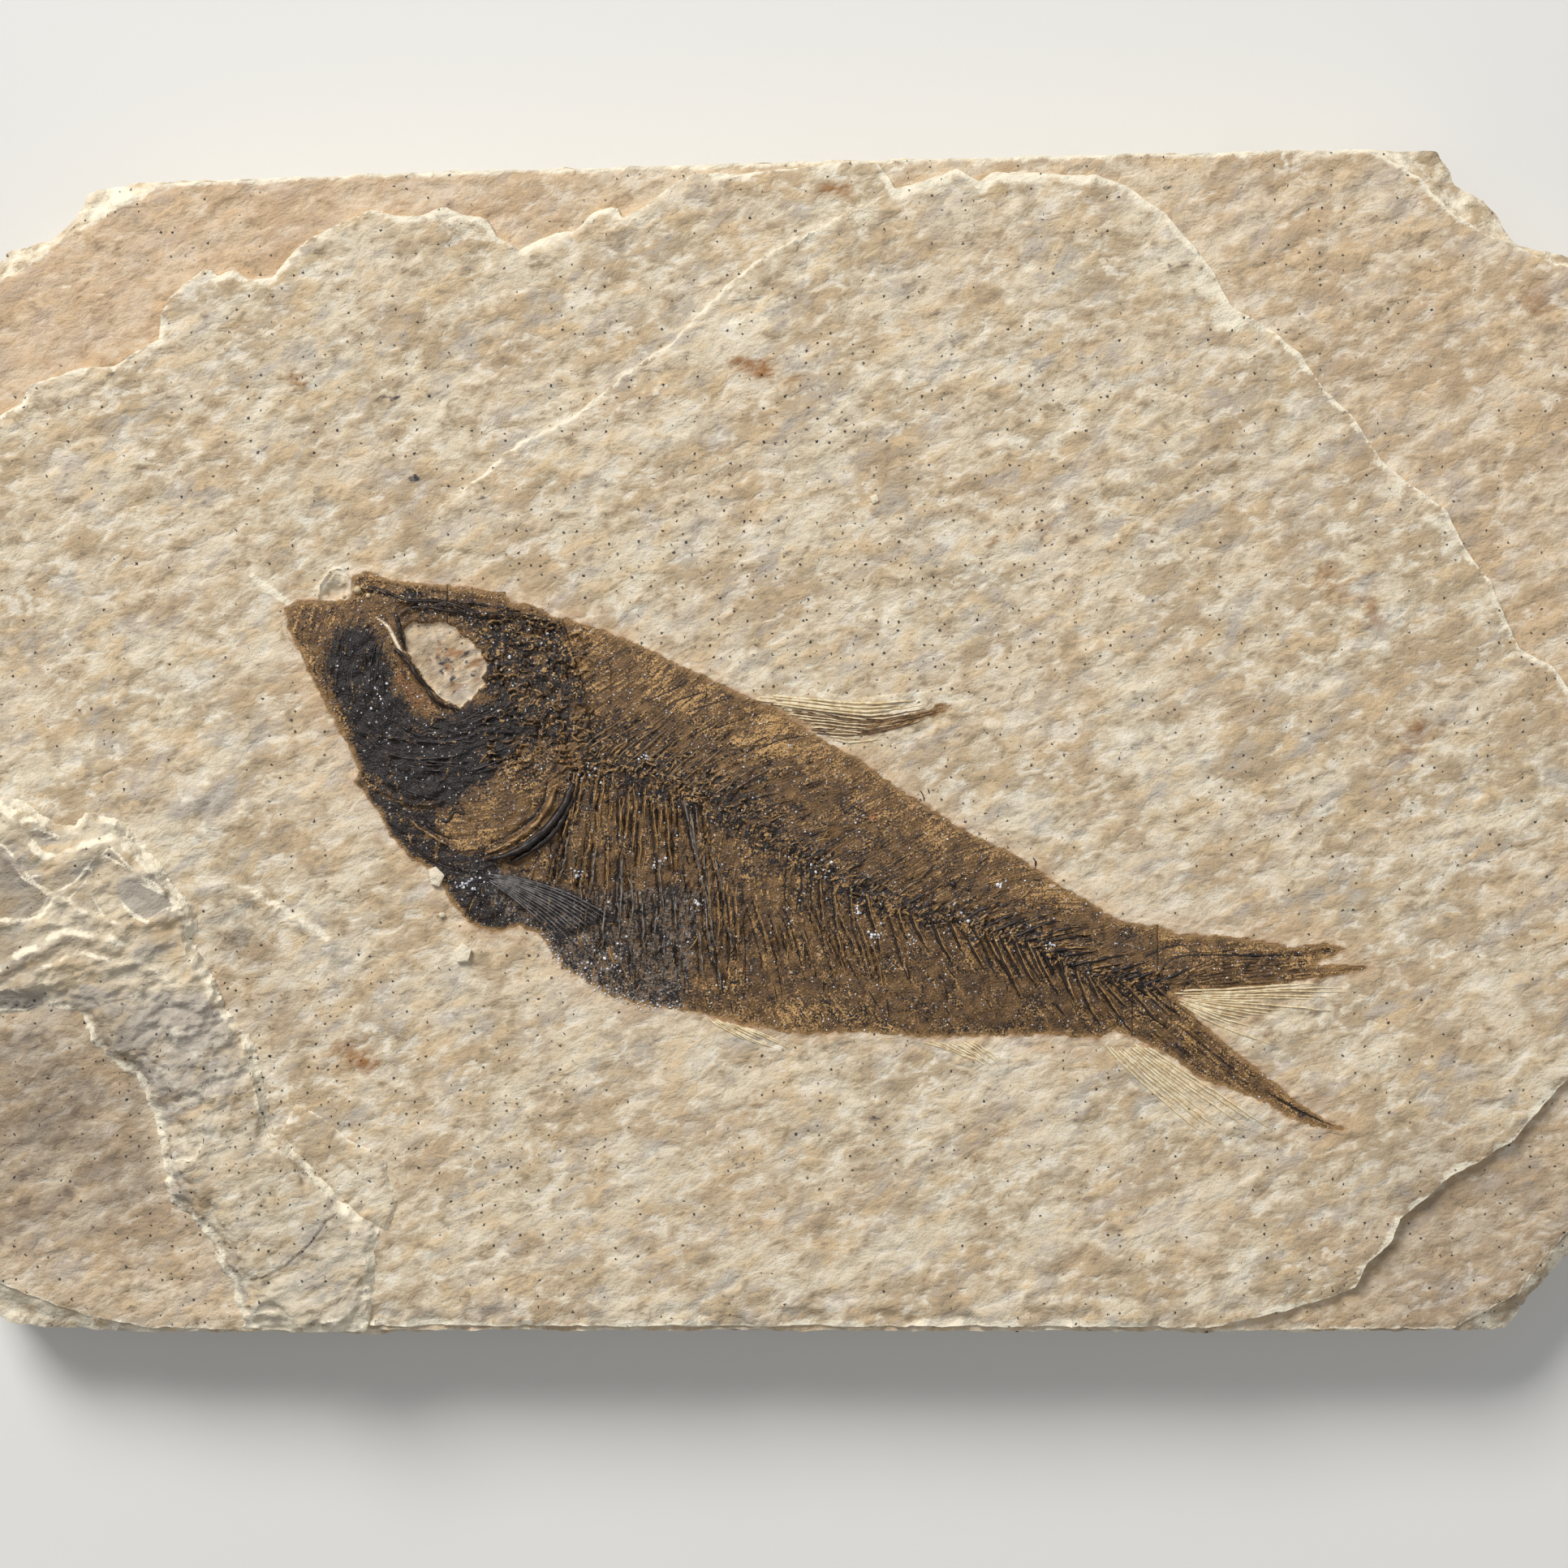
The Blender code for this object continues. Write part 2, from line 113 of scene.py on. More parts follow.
def to_sheet(x: Field, y: Field) -> tuple[Field, Field]:
    """Turn points of the slab into squares of the sheet."""
    return x / SQUARE + SHEET_MIDDLE[0], SHEET_MIDDLE[1] - y / SQUARE


def smooth(share: Field | float) -> Field:
    """Ease a share from 0 to 1, flat at both ends."""
    held = np.clip(share, 0.0, 1.0)
    return held * held * (3 - 2 * held)


def bell(u: Field, v: Field, middle: tuple[float, float], radii: tuple[float, float]) -> Field:
    """Give a smooth bump over the sheet, 1 at its middle; everything is in squares."""
    return np.exp(-(((u - middle[0]) / radii[0]) ** 2) - ((v - middle[1]) / radii[1]) ** 2)


# ---------- Noise, nets of points and strokes ----------


@cache
def random_slopes(seed: int, size: int) -> tuple[Field, Field]:
    """Draw a square of random slopes, across and up."""
    angles = np.random.default_rng(seed).uniform(0, 2 * math.pi, (size, size))
    return np.cos(angles), np.sin(angles)


class Grain:
    """Smooth random hills and hollows over the plane, the same each run."""

    SIZE = 256

    def __init__(self, seed: int) -> None:
        """Choose one grain by its seed."""
        self.slope_x, self.slope_y = random_slopes(seed, self.SIZE)

    def at(self, x: Field, y: Field) -> Field:
        """Read the grain, about -1 to 1, with hills one unit across.

        Args:
            x: Places across.
            y: Places up.

        Returns:
            The height at each place.
        """
        column, row = np.floor(x).astype(int), np.floor(y).astype(int)
        right, up = x - column, y - row
        ease_x = right**3 * (right * (right * 6 - 15) + 10)
        ease_y = up**3 * (up * (up * 6 - 15) + 10)

        def corner(across: int, above: int) -> Field:
            i, j = (row + above) % self.SIZE, (column + across) % self.SIZE
            return self.slope_x[i, j] * (right - across) + self.slope_y[i, j] * (up - above)

        low = corner(0, 0) + ease_x * (corner(1, 0) - corner(0, 0))
        high = corner(0, 1) + ease_x * (corner(1, 1) - corner(0, 1))
        return 1.5 * (low + ease_y * (high - low))

    def layered(self, x: Field, y: Field, size: float, layers: int = 3) -> Field:
        """Add up finer and finer layers of the grain, each at half the size and strength."""
        total = np.zeros(np.shape(x))
        for layer in range(layers):
            scale = size / 2**layer
            total += self.at(x / scale + 19.7 * layer, y / scale + 7.3 * layer) / 2**layer
        return total

    def streaks(
        self, x: Field, y: Field, length: float, width: float, lean: float, layers: int = 2
    ) -> Field:
        """Read the grain drawn out along one direction.

        Args:
            x: Places across, in millimetres.
            y: Places up, in millimetres.
            length: Length of a streak.
            width: Width of a streak.
            lean: Rise of the streaks to the right, in degrees.
            layers: Layers, each at half the size of the one before.

        Returns:
            The height at each place.
        """
        turn = math.radians(lean)
        along = x * math.cos(turn) + y * math.sin(turn)
        across = y * math.cos(turn) - x * math.sin(turn)
        return self.layered(along * width / length, across, width, layers)


@dataclass
class Nearness:
    """How each point of a net lies to an outline: its depth inside, and the closest edge point."""

    depth: Field
    x: Field
    y: Field

    def off_edge(self, net: "Net", gap: float) -> tuple[Field, Field]:
        """Give the places at a gap from the outline, each on its own point's side.

        Args:
            net: The net that was measured.
            gap: The gap.

        Returns:
            The places' x and y.
        """
        away_x, away_y = net.x - self.x, net.y - self.y
        length = np.maximum(np.hypot(away_x, away_y), 1e-6)
        return self.x + gap * away_x / length, self.y + gap * away_y / length


@dataclass
class Net:
    """A square net of points over part of the slab."""

    low: tuple[float, float]
    high: tuple[float, float]
    step: float

    def __post_init__(self) -> None:
        """Lay out the rows and columns."""
        self.xs = np.arange(self.low[0], self.high[0] + self.step, self.step)
        self.ys = np.arange(self.low[1], self.high[1] + self.step, self.step)
        self.x, self.y = np.meshgrid(self.xs, self.ys)

    @classmethod
    def around(cls, outline: np.ndarray, step: float, margin: float = 0.0) -> "Net":
        """Lay a net over an outline and a margin round it."""
        low = outline.min(axis=0) - margin - step
        high = outline.max(axis=0) + margin + step
        return cls((low[0], low[1]), (high[0], high[1]), step)

    def window(self, a: np.ndarray, b: np.ndarray, reach: float) -> tuple[slice, slice]:
        """Find the rows and columns within reach of a straight run.

        Args:
            a: Start of the run.
            b: End of the run.
            reach: Distance to cover on every side.

        Returns:
            The slice of rows and the slice of columns.
        """
        low, high = np.minimum(a, b) - reach, np.maximum(a, b) + reach
        first = np.floor((low - self.low) / self.step).astype(int)
        last = np.ceil((high - self.low) / self.step).astype(int) + 1
        first = np.maximum(first, 0)
        return (
            slice(first[1], max(first[1], min(last[1], len(self.ys)))),
            slice(first[0], max(first[0], min(last[0], len(self.xs)))),
        )

    def inside(self, outline: np.ndarray) -> Field:
        """Mark the points inside an outline, by counting its crossings along each row."""
        following = np.roll(outline, -1, axis=0)
        marked = np.zeros(self.x.shape, bool)
        for row, y in enumerate(self.ys):
            spans = (outline[:, 1] > y) != (following[:, 1] > y)
            a, b = outline[spans], following[spans]
            at = a[:, 0] + (y - a[:, 1]) / (b[:, 1] - a[:, 1]) * (b[:, 0] - a[:, 0])
            marked[row] = np.searchsorted(np.sort(at), self.xs) % 2 == 1
        return marked

    def near(self, outline: np.ndarray, reach: float) -> Nearness:
        """Measure every point against an outline.

        Args:
            outline: The closed outline.
            reach: Distance past which the depth is no longer followed.

        Returns:
            Depths, positive inside and capped at the reach, and the closest points.
        """
        best = np.full(self.x.shape, reach * reach)
        at_x, at_y = self.x.copy(), self.y.copy()
        for a, b in zip(outline, np.roll(outline, -1, axis=0)):
            part = self.window(a, b, reach)
            x, y = self.x[part], self.y[part]
            run = b - a
            share = ((x - a[0]) * run[0] + (y - a[1]) * run[1]) / max(run @ run, 1e-12)
            share = np.clip(share, 0, 1)
            edge_x, edge_y = a[0] + share * run[0], a[1] + share * run[1]
            gap = (x - edge_x) ** 2 + (y - edge_y) ** 2
            closer = gap < best[part]
            best[part] = np.where(closer, gap, best[part])
            at_x[part] = np.where(closer, edge_x, at_x[part])
            at_y[part] = np.where(closer, edge_y, at_y[part])
        depth = np.sqrt(best) * np.where(self.inside(outline), 1, -1)
        return Nearness(depth, at_x, at_y)

    def depth(self, squares: Squares, reach: float) -> Field:
        """Give every point's depth inside an outline of the sheet, capped at the reach."""
        return self.near(from_sheet(squares), reach).depth

    def grain(self, seed: int, size: float, layers: int = 3) -> Field:
        """Read a layered grain at every point."""
        return Grain(seed).layered(self.x, self.y, size, layers)

    def hills(self, seed: int, size: float) -> Field:
        """Read one layer of a grain at every point."""
        return Grain(seed).at(self.x / size, self.y / size)

    def cell(self, point: np.ndarray) -> tuple[int, int]:
        """Find the row and the column of the cell that holds a point."""
        column, row = ((point - self.low) / self.step).astype(int)
        return min(max(row, 0), len(self.ys) - 1), min(max(column, 0), len(self.xs) - 1)

    def read(self, values: Field, points: np.ndarray) -> Field:
        """Read a field at the points of the net that lie nearest to some others."""
        spots = np.rint((points - self.low) / self.step).astype(int)
        column = np.clip(spots[:, 0], 0, len(self.xs) - 1)
        row = np.clip(spots[:, 1], 0, len(self.ys) - 1)
        return values[row, column]

    def beside(self, line: np.ndarray, reach: float) -> tuple[Field, Field]:
        """Measure every point against an open line.

        Args:
            line: Points along the line.
            reach: Distance past which points count as far away on its left.

        Returns:
            Distances, positive on the right of the line, and shares of the way along it.
        """
        best = np.full(self.x.shape, reach)
        over, share = -best, np.zeros(self.x.shape)
        lengths = np.hypot(*np.diff(line, axis=0).T)
        before = np.concatenate(([0.0], np.cumsum(lengths)))
        for a, b, length, passed in zip(line, line[1:], lengths, before):
            part = self.window(a, b, reach)
            x, y = self.x[part] - a[0], self.y[part] - a[1]
            run = (b - a) / length
            along = np.clip(x * run[0] + y * run[1], 0, length)
            gap = np.hypot(x - along * run[0], y - along * run[1])
            closer = gap < best[part]
            best[part] = np.where(closer, gap, best[part])
            signed = np.where(x * run[1] > y * run[0], gap, -gap)
            over[part] = np.where(closer, signed, over[part])
            share[part] = np.where(closer, (passed + along) / before[-1], share[part])
        return over, share

    def zone(self, squares: Squares, soft: float, wander: float = 0.0, seed: int = 3) -> Field:
        """Mark a patch with a soft, wandering border.

        Args:
            squares: Outline of the patch on the sheet.
            soft: Width of the border.
            wander: How far the border strays.
            seed: Seed of the straying.

        Returns:
            A mask from 0 outside to 1 inside.
        """
        reach = 2 * (soft + wander)
        depth = self.depth(squares, reach)
        if wander:
            depth = depth + wander * self.grain(seed, 4 * wander, 4)
        return smooth(0.5 + depth / soft)

    def spot(self, square: tuple[float, float], radii: tuple[float, float], lean: float = 0) -> Field:
        """Mark an oval spot that fades from its middle."""
        middle = from_sheet([square])[0]
        turn = math.radians(lean)
        x, y = self.x - middle[0], self.y - middle[1]
        along = x * math.cos(turn) + y * math.sin(turn)
        across = y * math.cos(turn) - x * math.sin(turn)
        return np.exp(-((along / radii[0]) ** 2) - (across / radii[1]) ** 2)

    def spots(self, spots: Sequence[Spot]) -> Field:
        """Add up spots."""
        return sum(strength * self.spot(at, radii, lean) for at, radii, lean, strength in spots)

    def drawn(
        self, squares: Squares, count: int, half_width: float, strength: float = 1.0, taper: float = 0.6
    ) -> Field:
        """Give a field that is empty but for one stroke.

        Args:
            squares: Squares of the sheet that the stroke runs through.
            count: Number of points along it.
            half_width: Half width of the stroke at its thickest.
            strength: Value on its crest.
            taper: Share of its width that the stroke loses towards each end.

        Returns:
            The field.
        """
        target = np.zeros(self.x.shape)
        self.stroke(target, curve_through(squares, count), half_width, strength, taper)
        return target

    def stroke(
        self, target: Field, line: np.ndarray, half_width: float, strength: float, taper: float = 0.6
    ) -> None:
        """Draw a stroke into a field, where it stands over what is there.

        Args:
            target: The field, which is changed.
            line: Points along the stroke, in millimetres.
            half_width: Half width of the stroke at its thickest.
            strength: Value on its crest.
            taper: Share of its width that the stroke loses towards each end.
        """
        lengths = np.hypot(*np.diff(line, axis=0).T)
        total = max(lengths.sum(), 1e-9)
        before = 0.0
        for a, b, length in zip(line, line[1:], lengths):
            part = self.window(a, b, half_width)
            x, y = self.x[part], self.y[part]
            run = b - a
            share = np.clip(((x - a[0]) * run[0] + (y - a[1]) * run[1]) / max(run @ run, 1e-12), 0, 1)
            gap = np.hypot(x - a[0] - share * run[0], y - a[1] - share * run[1])
            whole = (before + share * length) / total
            width = half_width * (1 - taper * np.abs(2 * whole - 1) ** 2)
            level = strength * smooth(1 - gap / width)
            target[part] = np.maximum(target[part], level)
            before += length


def curve_through(squares: Squares, count: int) -> np.ndarray:
    """Lay a smooth curve through a few squares.

    Args:
        squares: Points of the sheet that the curve passes.
        count: Number of points wanted.

    Returns:
        Points along the curve, in millimetres.
    """
    corners = from_sheet(squares)
    padded = np.vstack((2 * corners[0] - corners[1], corners, 2 * corners[-1] - corners[-2]))
    spots = np.linspace(0, len(corners) - 1.000001, count)
    found = []
    for spot in spots:
        i, t = int(spot), spot - int(spot)
        p0, p1, p2, p3 = padded[i : i + 4]
        square, cube = 2 * p0 - 5 * p1 + 4 * p2 - p3, 3 * p1 - p0 - 3 * p2 + p3
        found.append(0.5 * (2 * p1 + (p2 - p0) * t + square * t**2 + cube * t**3))
    return np.array(found)


def between(first: Squares, last: Squares, share: float) -> Squares:
    """Give the line that lies a share of the way from one line to another."""
    return [(a[0] + share * (b[0] - a[0]), a[1] + share * (b[1] - a[1])) for a, b in zip(first, last)]


def finer(line: np.ndarray, count: int) -> np.ndarray:
    """Give a line with more points along the same run."""
    wanted = np.linspace(0, len(line) - 1, count)
    spots = np.arange(len(line))
    return np.column_stack([np.interp(wanted, spots, line[:, axis]) for axis in (0, 1)])


def broken_edge(squares: Squares, bite: float, seed: int, step: float = 0.22) -> np.ndarray:
    """Turn a drawn outline into a broken edge, bitten inwards at every size.

    Args:
        squares: The outline on the sheet, drawn clockwise.
        bite: Deepest bite.
        seed: Seed of the bites.
        step: Spacing of the points along the edge.

    Returns:
        The outline, in millimetres.
    """
    corners = from_sheet(squares)
    points = []
    for a, b in zip(corners, np.roll(corners, -1, axis=0)):
        count = max(1, int(np.hypot(*(b - a)) / step))
        points += [a + (b - a) * k / count for k in range(count)]
    line = np.array(points)
    ahead = np.roll(line, -2, axis=0) - np.roll(line, 2, axis=0)
    outward = np.column_stack((-ahead[:, 1], ahead[:, 0]))
    outward /= np.maximum(np.hypot(*outward.T), 1e-9)[:, None]
    grain = Grain(seed)
    coarse = 0.5 + 0.5 * grain.at(line[:, 0] / 2.6, line[:, 1] / 2.6)
    fine = 0.5 + 0.5 * grain.layered(line[:, 0], line[:, 1], 0.9, 3)
    return line - np.clip(0.55 * coarse + 0.45 * fine, 0, 1)[:, None] * bite * outward


# ---------- Outlines ----------

SLAB_EDGE = [
    (-75, 900), (-70, 700), (-74, 500), (-60, 400), (-35, 345), (0, 301), (53, 289), (84, 260), (102, 225),
    (175, 217), (408, 209), (640, 201), (1046, 190), (1300, 185), (1700, 176), (1781, 175), (1807, 219),
    (1853, 250), (1877, 296), (1932, 305), (1975, 318), (2003, 360), (2008, 600), (2003, 800), (2009, 1000),
    (2005, 1200), (1998, 1400), (1980, 1510), (1925, 1575), (1891, 1609), (1867, 1647), (1489, 1648),
    (1000, 1646), (640, 1644), (476, 1650), (289, 1650), (47, 1646), (0, 1637), (-40, 1615), (-62, 1560),
    (-75, 1300), (-69, 1100),
]
UPPER_BED_EDGE = [
    (-66, 900), (-60, 700), (-64, 520), (-38, 380), (0, 338), (41, 315), (90, 278), (143, 246), (190, 222),
    (408, 211), (1046, 192), (1696, 179), (1756, 217), (1770, 234), (1800, 264), (1840, 286), (1890, 307),
    (1950, 330), (1986, 372), (1994, 600), (1988, 800), (1995, 1000), (1990, 1200), (1983, 1380),
    (1958, 1500), (1903, 1563), (1880, 1596), (1835, 1621), (1795, 1643), (1489, 1645), (476, 1644),
    (291, 1645), (182, 1642), (103, 1627), (61, 1612), (0, 1589), (-43, 1566), (-64, 1300), (-58, 1100),
]
# On the left this bed runs on under the flakes.
FISH_BED_EDGE = [
    (-53, 700), (-49, 535), (0, 507), (24, 496), (35, 473), (61, 463), (98, 452), (139, 449), (163, 433),
    (194, 418), (196, 394), (204, 367), (229, 345), (255, 325), (269, 337), (286, 328), (306, 343),
    (335, 339), (355, 312), (380, 290), (424, 271), (457, 256), (486, 264), (514, 264), (547, 251),
    (571, 263), (600, 267), (612, 288), (640, 305), (685, 283), (707, 281), (734, 256), (761, 249),
    (767, 267), (796, 249), (814, 234), (850, 212), (877, 209), (908, 213), (939, 208), (1002, 202),
    (1046, 196), (1082, 198), (1095, 213), (1104, 229), (1136, 222), (1180, 205), (1207, 222), (1225, 209),
    (1300, 212), (1350, 212), (1393, 229), (1436, 260), (1475, 303), (1499, 336), (1518, 375), (1561, 399),
    (1604, 435), (1633, 480), (1666, 506), (1704, 566), (1752, 604), (1786, 628), (1805, 671), (1838, 714),
    (1857, 757), (1874, 798), (1915, 820), (1940, 855), (1983, 880), (1980, 1000), (1985, 1150),
    (1978, 1290), (1932, 1334), (1900, 1367), (1868, 1406), (1830, 1430), (1788, 1451), (1756, 1481),
    (1728, 1504), (1718, 1530), (1688, 1558), (1672, 1588), (1629, 1605), (1583, 1618), (1527, 1631),
    (1490, 1639), (1265, 1637), (1000, 1637), (530, 1636), (477, 1638), (400, 1630), (345, 1590),
    (300, 1500), (250, 1400), (205, 1300), (130, 1180), (0, 1140), (-50, 1130), (-56, 850),
]
FLAKE_EDGE = [
    (-61, 985), (-20, 972), (13, 975), (42, 985), (69, 1007), (90, 1007), (103, 992), (130, 996),
    (158, 1013), (192, 1050), (214, 1085), (246, 1122), (246, 1171), (263, 1198), (280, 1237), (317, 1284),
    (327, 1335), (338, 1387), (373, 1415), (420, 1471), (469, 1506), (467, 1555), (460, 1611), (452, 1643),
    (292, 1643), (275, 1583), (252, 1531), (205, 1485), (191, 1429), (187, 1387), (163, 1331), (117, 1307),
    (95, 1255), (60, 1246), (31, 1256), (0, 1256), (-61, 1246),
]
LOWER_LUMP_EDGE = [
    (-70, 1008), (0, 1010), (30, 1022), (62, 1040), (92, 1034), (128, 1030), (160, 1046), (190, 1078),
    (214, 1120), (216, 1165), (186, 1192), (120, 1208), (60, 1226), (0, 1236), (-70, 1232),
]
TOP_FLAKE_EDGE = [
    (330, 1395), (404, 1470), (425, 1490), (404, 1503), (387, 1529), (355, 1557), (327, 1573), (299, 1578),
    (262, 1540), (215, 1490), (196, 1440), (205, 1431), (243, 1427), (252, 1405), (250, 1377), (262, 1300),
    (310, 1300),
]
RUBBLE = [
    (196, 1190), (236, 1180), (262, 1210), (300, 1262), (318, 1330), (300, 1400), (240, 1420), (205, 1360),
    (190, 1300), (168, 1250), (120, 1236), (110, 1222), (150, 1200),
]
SIDE_FLAKE_EDGE = [
    (364, 1357), (397, 1375), (434, 1405), (476, 1424), (480, 1452), (492, 1482), (478, 1520), (440, 1500),
    (380, 1440), (345, 1395),
]
# The face is a little lower above this line than below it.
DIAGONAL_EDGE = [
    (1050, 262), (1024, 279), (984, 297), (948, 317), (912, 342), (872, 382), (828, 427), (774, 462),
    (734, 498), (694, 525), (645, 547), (604, 579), (571, 611), (526, 636), (455, 690), (300, 800),
    (-90, 900), (-90, 100), (1060, 100),
]
DIAGONAL_FLAKES = [
    [(868, 386), (896, 370), (940, 366), (936, 380), (905, 398), (880, 404)],
    [(770, 468), (796, 455), (822, 458), (812, 476), (786, 488)],
    [(984, 297), (1010, 281), (1022, 290), (1002, 310), (978, 322)],
]
PALE_FLAKES = [  # outline, paleness
    ([(516, 250), (547, 250), (572, 265), (598, 271), (623, 300), (589, 296), (560, 288), (530, 271)], 0.62),
    ([(729, 265), (763, 248), (767, 259), (797, 250), (792, 263), (780, 276), (755, 286), (734, 274)], 0.62),
    ([(1060, 243), (1089, 246), (1086, 272), (1062, 276)], 0.40),
    ([(1091, 204), (1106, 212), (1135, 224), (1101, 232)], 0.70),
    ([(1191, 205), (1222, 208), (1205, 226)], 0.60),
    ([(1340, 208), (1368, 210), (1409, 234), (1380, 232), (1350, 218)], 0.60),
    ([(868, 386), (905, 350), (950, 322), (1000, 292), (1030, 280), (1036, 300), (1000, 330), (962, 352),
      (940, 372), (950, 392), (934, 408), (900, 400)], 0.38),
    ([(772, 466), (800, 452), (824, 458), (818, 478), (795, 484)], 0.40),
    ([(700, 520), (735, 498), (760, 480), (752, 498), (728, 512), (712, 524)], 0.30),
    ([(1470, 336), (1500, 345), (1540, 392), (1570, 404), (1530, 412), (1496, 410), (1488, 380)], 0.70),
    ([(1716, 596), (1740, 600), (1786, 634), (1792, 652), (1760, 650), (1726, 622)], 0.40),
]

FISH_WINDOW_EDGE = [
    (353, 748), (380, 742), (392, 736), (396, 712), (410, 700), (434, 700), (457, 703), (520, 719),
    (571, 725), (628, 742), (698, 763), (749, 781), (829, 816), (880, 838), (925, 852), (1000, 860),
    (1060, 866), (1125, 858), (1166, 858), (1188, 870), (1150, 888), (1105, 903), (1062, 918), (1040, 926),
    (1104, 971), (1203, 1032), (1250, 1052), (1300, 1089), (1380, 1135), (1432, 1141), (1486, 1151),
    (1560, 1159), (1600, 1168), (1640, 1162), (1658, 1170), (1644, 1183), (1696, 1190), (1696, 1216),
    (1655, 1256), (1607, 1273), (1550, 1296), (1552, 1318), (1601, 1358), (1660, 1392), (1616, 1390),
    (1585, 1378), (1560, 1392), (1523, 1386), (1497, 1402), (1455, 1377), (1420, 1347), (1393, 1320),
    (1352, 1284), (1300, 1279), (1240, 1281), (1236, 1320), (1200, 1312), (1165, 1300), (1130, 1281),
    (1050, 1275), (1004, 1302), (960, 1294), (915, 1282), (869, 1252), (788, 1240), (716, 1206),
    (678, 1172), (641, 1145), (603, 1149), (563, 1123), (529, 1075), (479, 1030), (441, 968), (443, 950),
    (405, 875), (368, 802), (355, 777),
]
BODY_FILM = [
    (353, 749), (368, 740), (392, 741), (427, 740), (437, 726), (434, 711), (456, 703), (479, 715),
    (523, 719), (571, 725), (622, 730), (628, 742), (657, 746), (686, 762), (698, 763), (749, 779),
    (779, 791), (829, 816), (850, 826), (875, 837), (926, 862), (952, 873), (996, 900), (1023, 918),
    (1054, 933), (1104, 971), (1155, 1003), (1203, 1032), (1251, 1054), (1300, 1089), (1343, 1112),
    (1380, 1137), (1432, 1142), (1452, 1152), (1486, 1152), (1524, 1156), (1558, 1160), (1587, 1167),
    (1615, 1164), (1639, 1163), (1656, 1170), (1636, 1180), (1616, 1189), (1687, 1192), (1644, 1203),
    (1616, 1206), (1544, 1215), (1486, 1221), (1442, 1224), (1472, 1252), (1506, 1284), (1538, 1310),
    (1572, 1335), (1601, 1361), (1630, 1380), (1656, 1392), (1616, 1387), (1587, 1375), (1552, 1355),
    (1518, 1341), (1495, 1335), (1472, 1324), (1443, 1301), (1415, 1287), (1392, 1275), (1372, 1269),
    (1349, 1279), (1300, 1275), (1140, 1277), (1054, 1271), (991, 1274), (927, 1264), (869, 1249),
    (828, 1242), (788, 1238), (748, 1223), (716, 1204), (694, 1191), (678, 1170), (665, 1150), (641, 1141),
    (611, 1148), (587, 1143), (563, 1121), (549, 1096), (529, 1071), (504, 1055), (479, 1026), (466, 997),
    (437, 964), (443, 950), (427, 915), (405, 873), (383, 832), (368, 800), (356, 777),
]
DORSAL_FILM = [
    (950, 868), (985, 876), (1040, 884), (1085, 888), (1130, 877), (1164, 865), (1184, 869), (1151, 884),
    (1108, 896), (1070, 908), (1035, 908), (1010, 902), (985, 896),
]
BACKBONE = [
    (700, 915), (745, 936), (799, 955), (850, 972), (895, 993), (959, 1041), (1023, 1080), (1107, 1118),
    (1187, 1137), (1240, 1152), (1283, 1169), (1343, 1200), (1386, 1211), (1440, 1222),
]
EYE_EDGE = [
    (498, 778), (503, 771), (511, 766), (522, 768), (531, 768), (540, 766), (549, 767), (558, 773),
    (565, 777), (571, 786), (579, 787), (587, 797), (594, 800), (595, 812), (600, 822), (596, 834),
    (597, 843), (589, 853), (580, 862), (575, 866), (565, 871), (552, 866), (541, 861), (534, 854),
    (525, 842), (518, 831), (511, 819), (504, 808), (499, 799), (500, 788),
]
EYE_DIRT = [
    (540, 792), (558, 786), (580, 796), (596, 812), (594, 838), (578, 848), (566, 862), (552, 860),
    (546, 842), (532, 834), (524, 818), (534, 806),
]
BLACK_CHEEK = [
    (402, 790), (420, 776), (440, 778), (459, 768), (476, 782), (484, 803), (484, 830), (492, 862),
    (508, 886), (523, 897), (540, 884), (562, 877), (590, 870), (616, 860), (651, 872), (660, 898),
    (634, 926), (606, 950), (584, 966), (568, 984), (560, 996), (530, 1000), (504, 991), (470, 966),
    (446, 936), (436, 915), (424, 895), (408, 854), (396, 816),
]
DARK_NAPE = [
    (500, 722), (540, 734), (590, 748), (650, 758), (690, 766), (708, 800), (720, 854), (716, 905),
    (690, 925), (651, 925), (630, 900), (604, 876), (600, 829), (594, 796), (580, 778), (552, 758),
    (515, 752), (496, 742),
]
DARK_JAW = [
    (441, 960), (470, 978), (505, 996), (548, 1004), (552, 1018), (536, 1026), (556, 1046), (590, 1056),
    (612, 1062), (618, 1085), (606, 1110), (640, 1130), (660, 1150), (608, 1148), (575, 1130), (548, 1092),
    (530, 1072), (500, 1050), (478, 1025), (462, 992),
]
GREY_BELLY = [
    (596, 1066), (650, 1078), (690, 1090), (722, 1104), (760, 1096), (800, 1092), (840, 1090), (864, 1096),
    (862, 1130), (857, 1165), (851, 1195), (844, 1240), (788, 1240), (716, 1206), (690, 1188), (668, 1156),
    (640, 1142), (612, 1130), (600, 1100),
]
PECTORAL_FIN = [
    (600, 1074), (650, 1080), (704, 1097), (742, 1118), (768, 1136), (740, 1140), (712, 1146), (690, 1166),
    (670, 1144), (640, 1116), (604, 1092),
]
GILL_COVER = [
    (537, 1006), (556, 996), (570, 978), (604, 961), (626, 933), (648, 919), (676, 926), (690, 938),
    (684, 962), (672, 984), (655, 1006), (633, 1026), (604, 1042), (585, 1047), (567, 1044), (548, 1033),
    (534, 1022),
]
GOLDEN_BACK = [
    (698, 770), (750, 786), (829, 820), (900, 856), (950, 880), (1054, 933), (1155, 1003), (1251, 1054),
    (1360, 1126), (1330, 1132), (1240, 1092), (1140, 1040), (1040, 975), (960, 935), (890, 905), (830, 880),
    (770, 870), (722, 868), (712, 820),
]
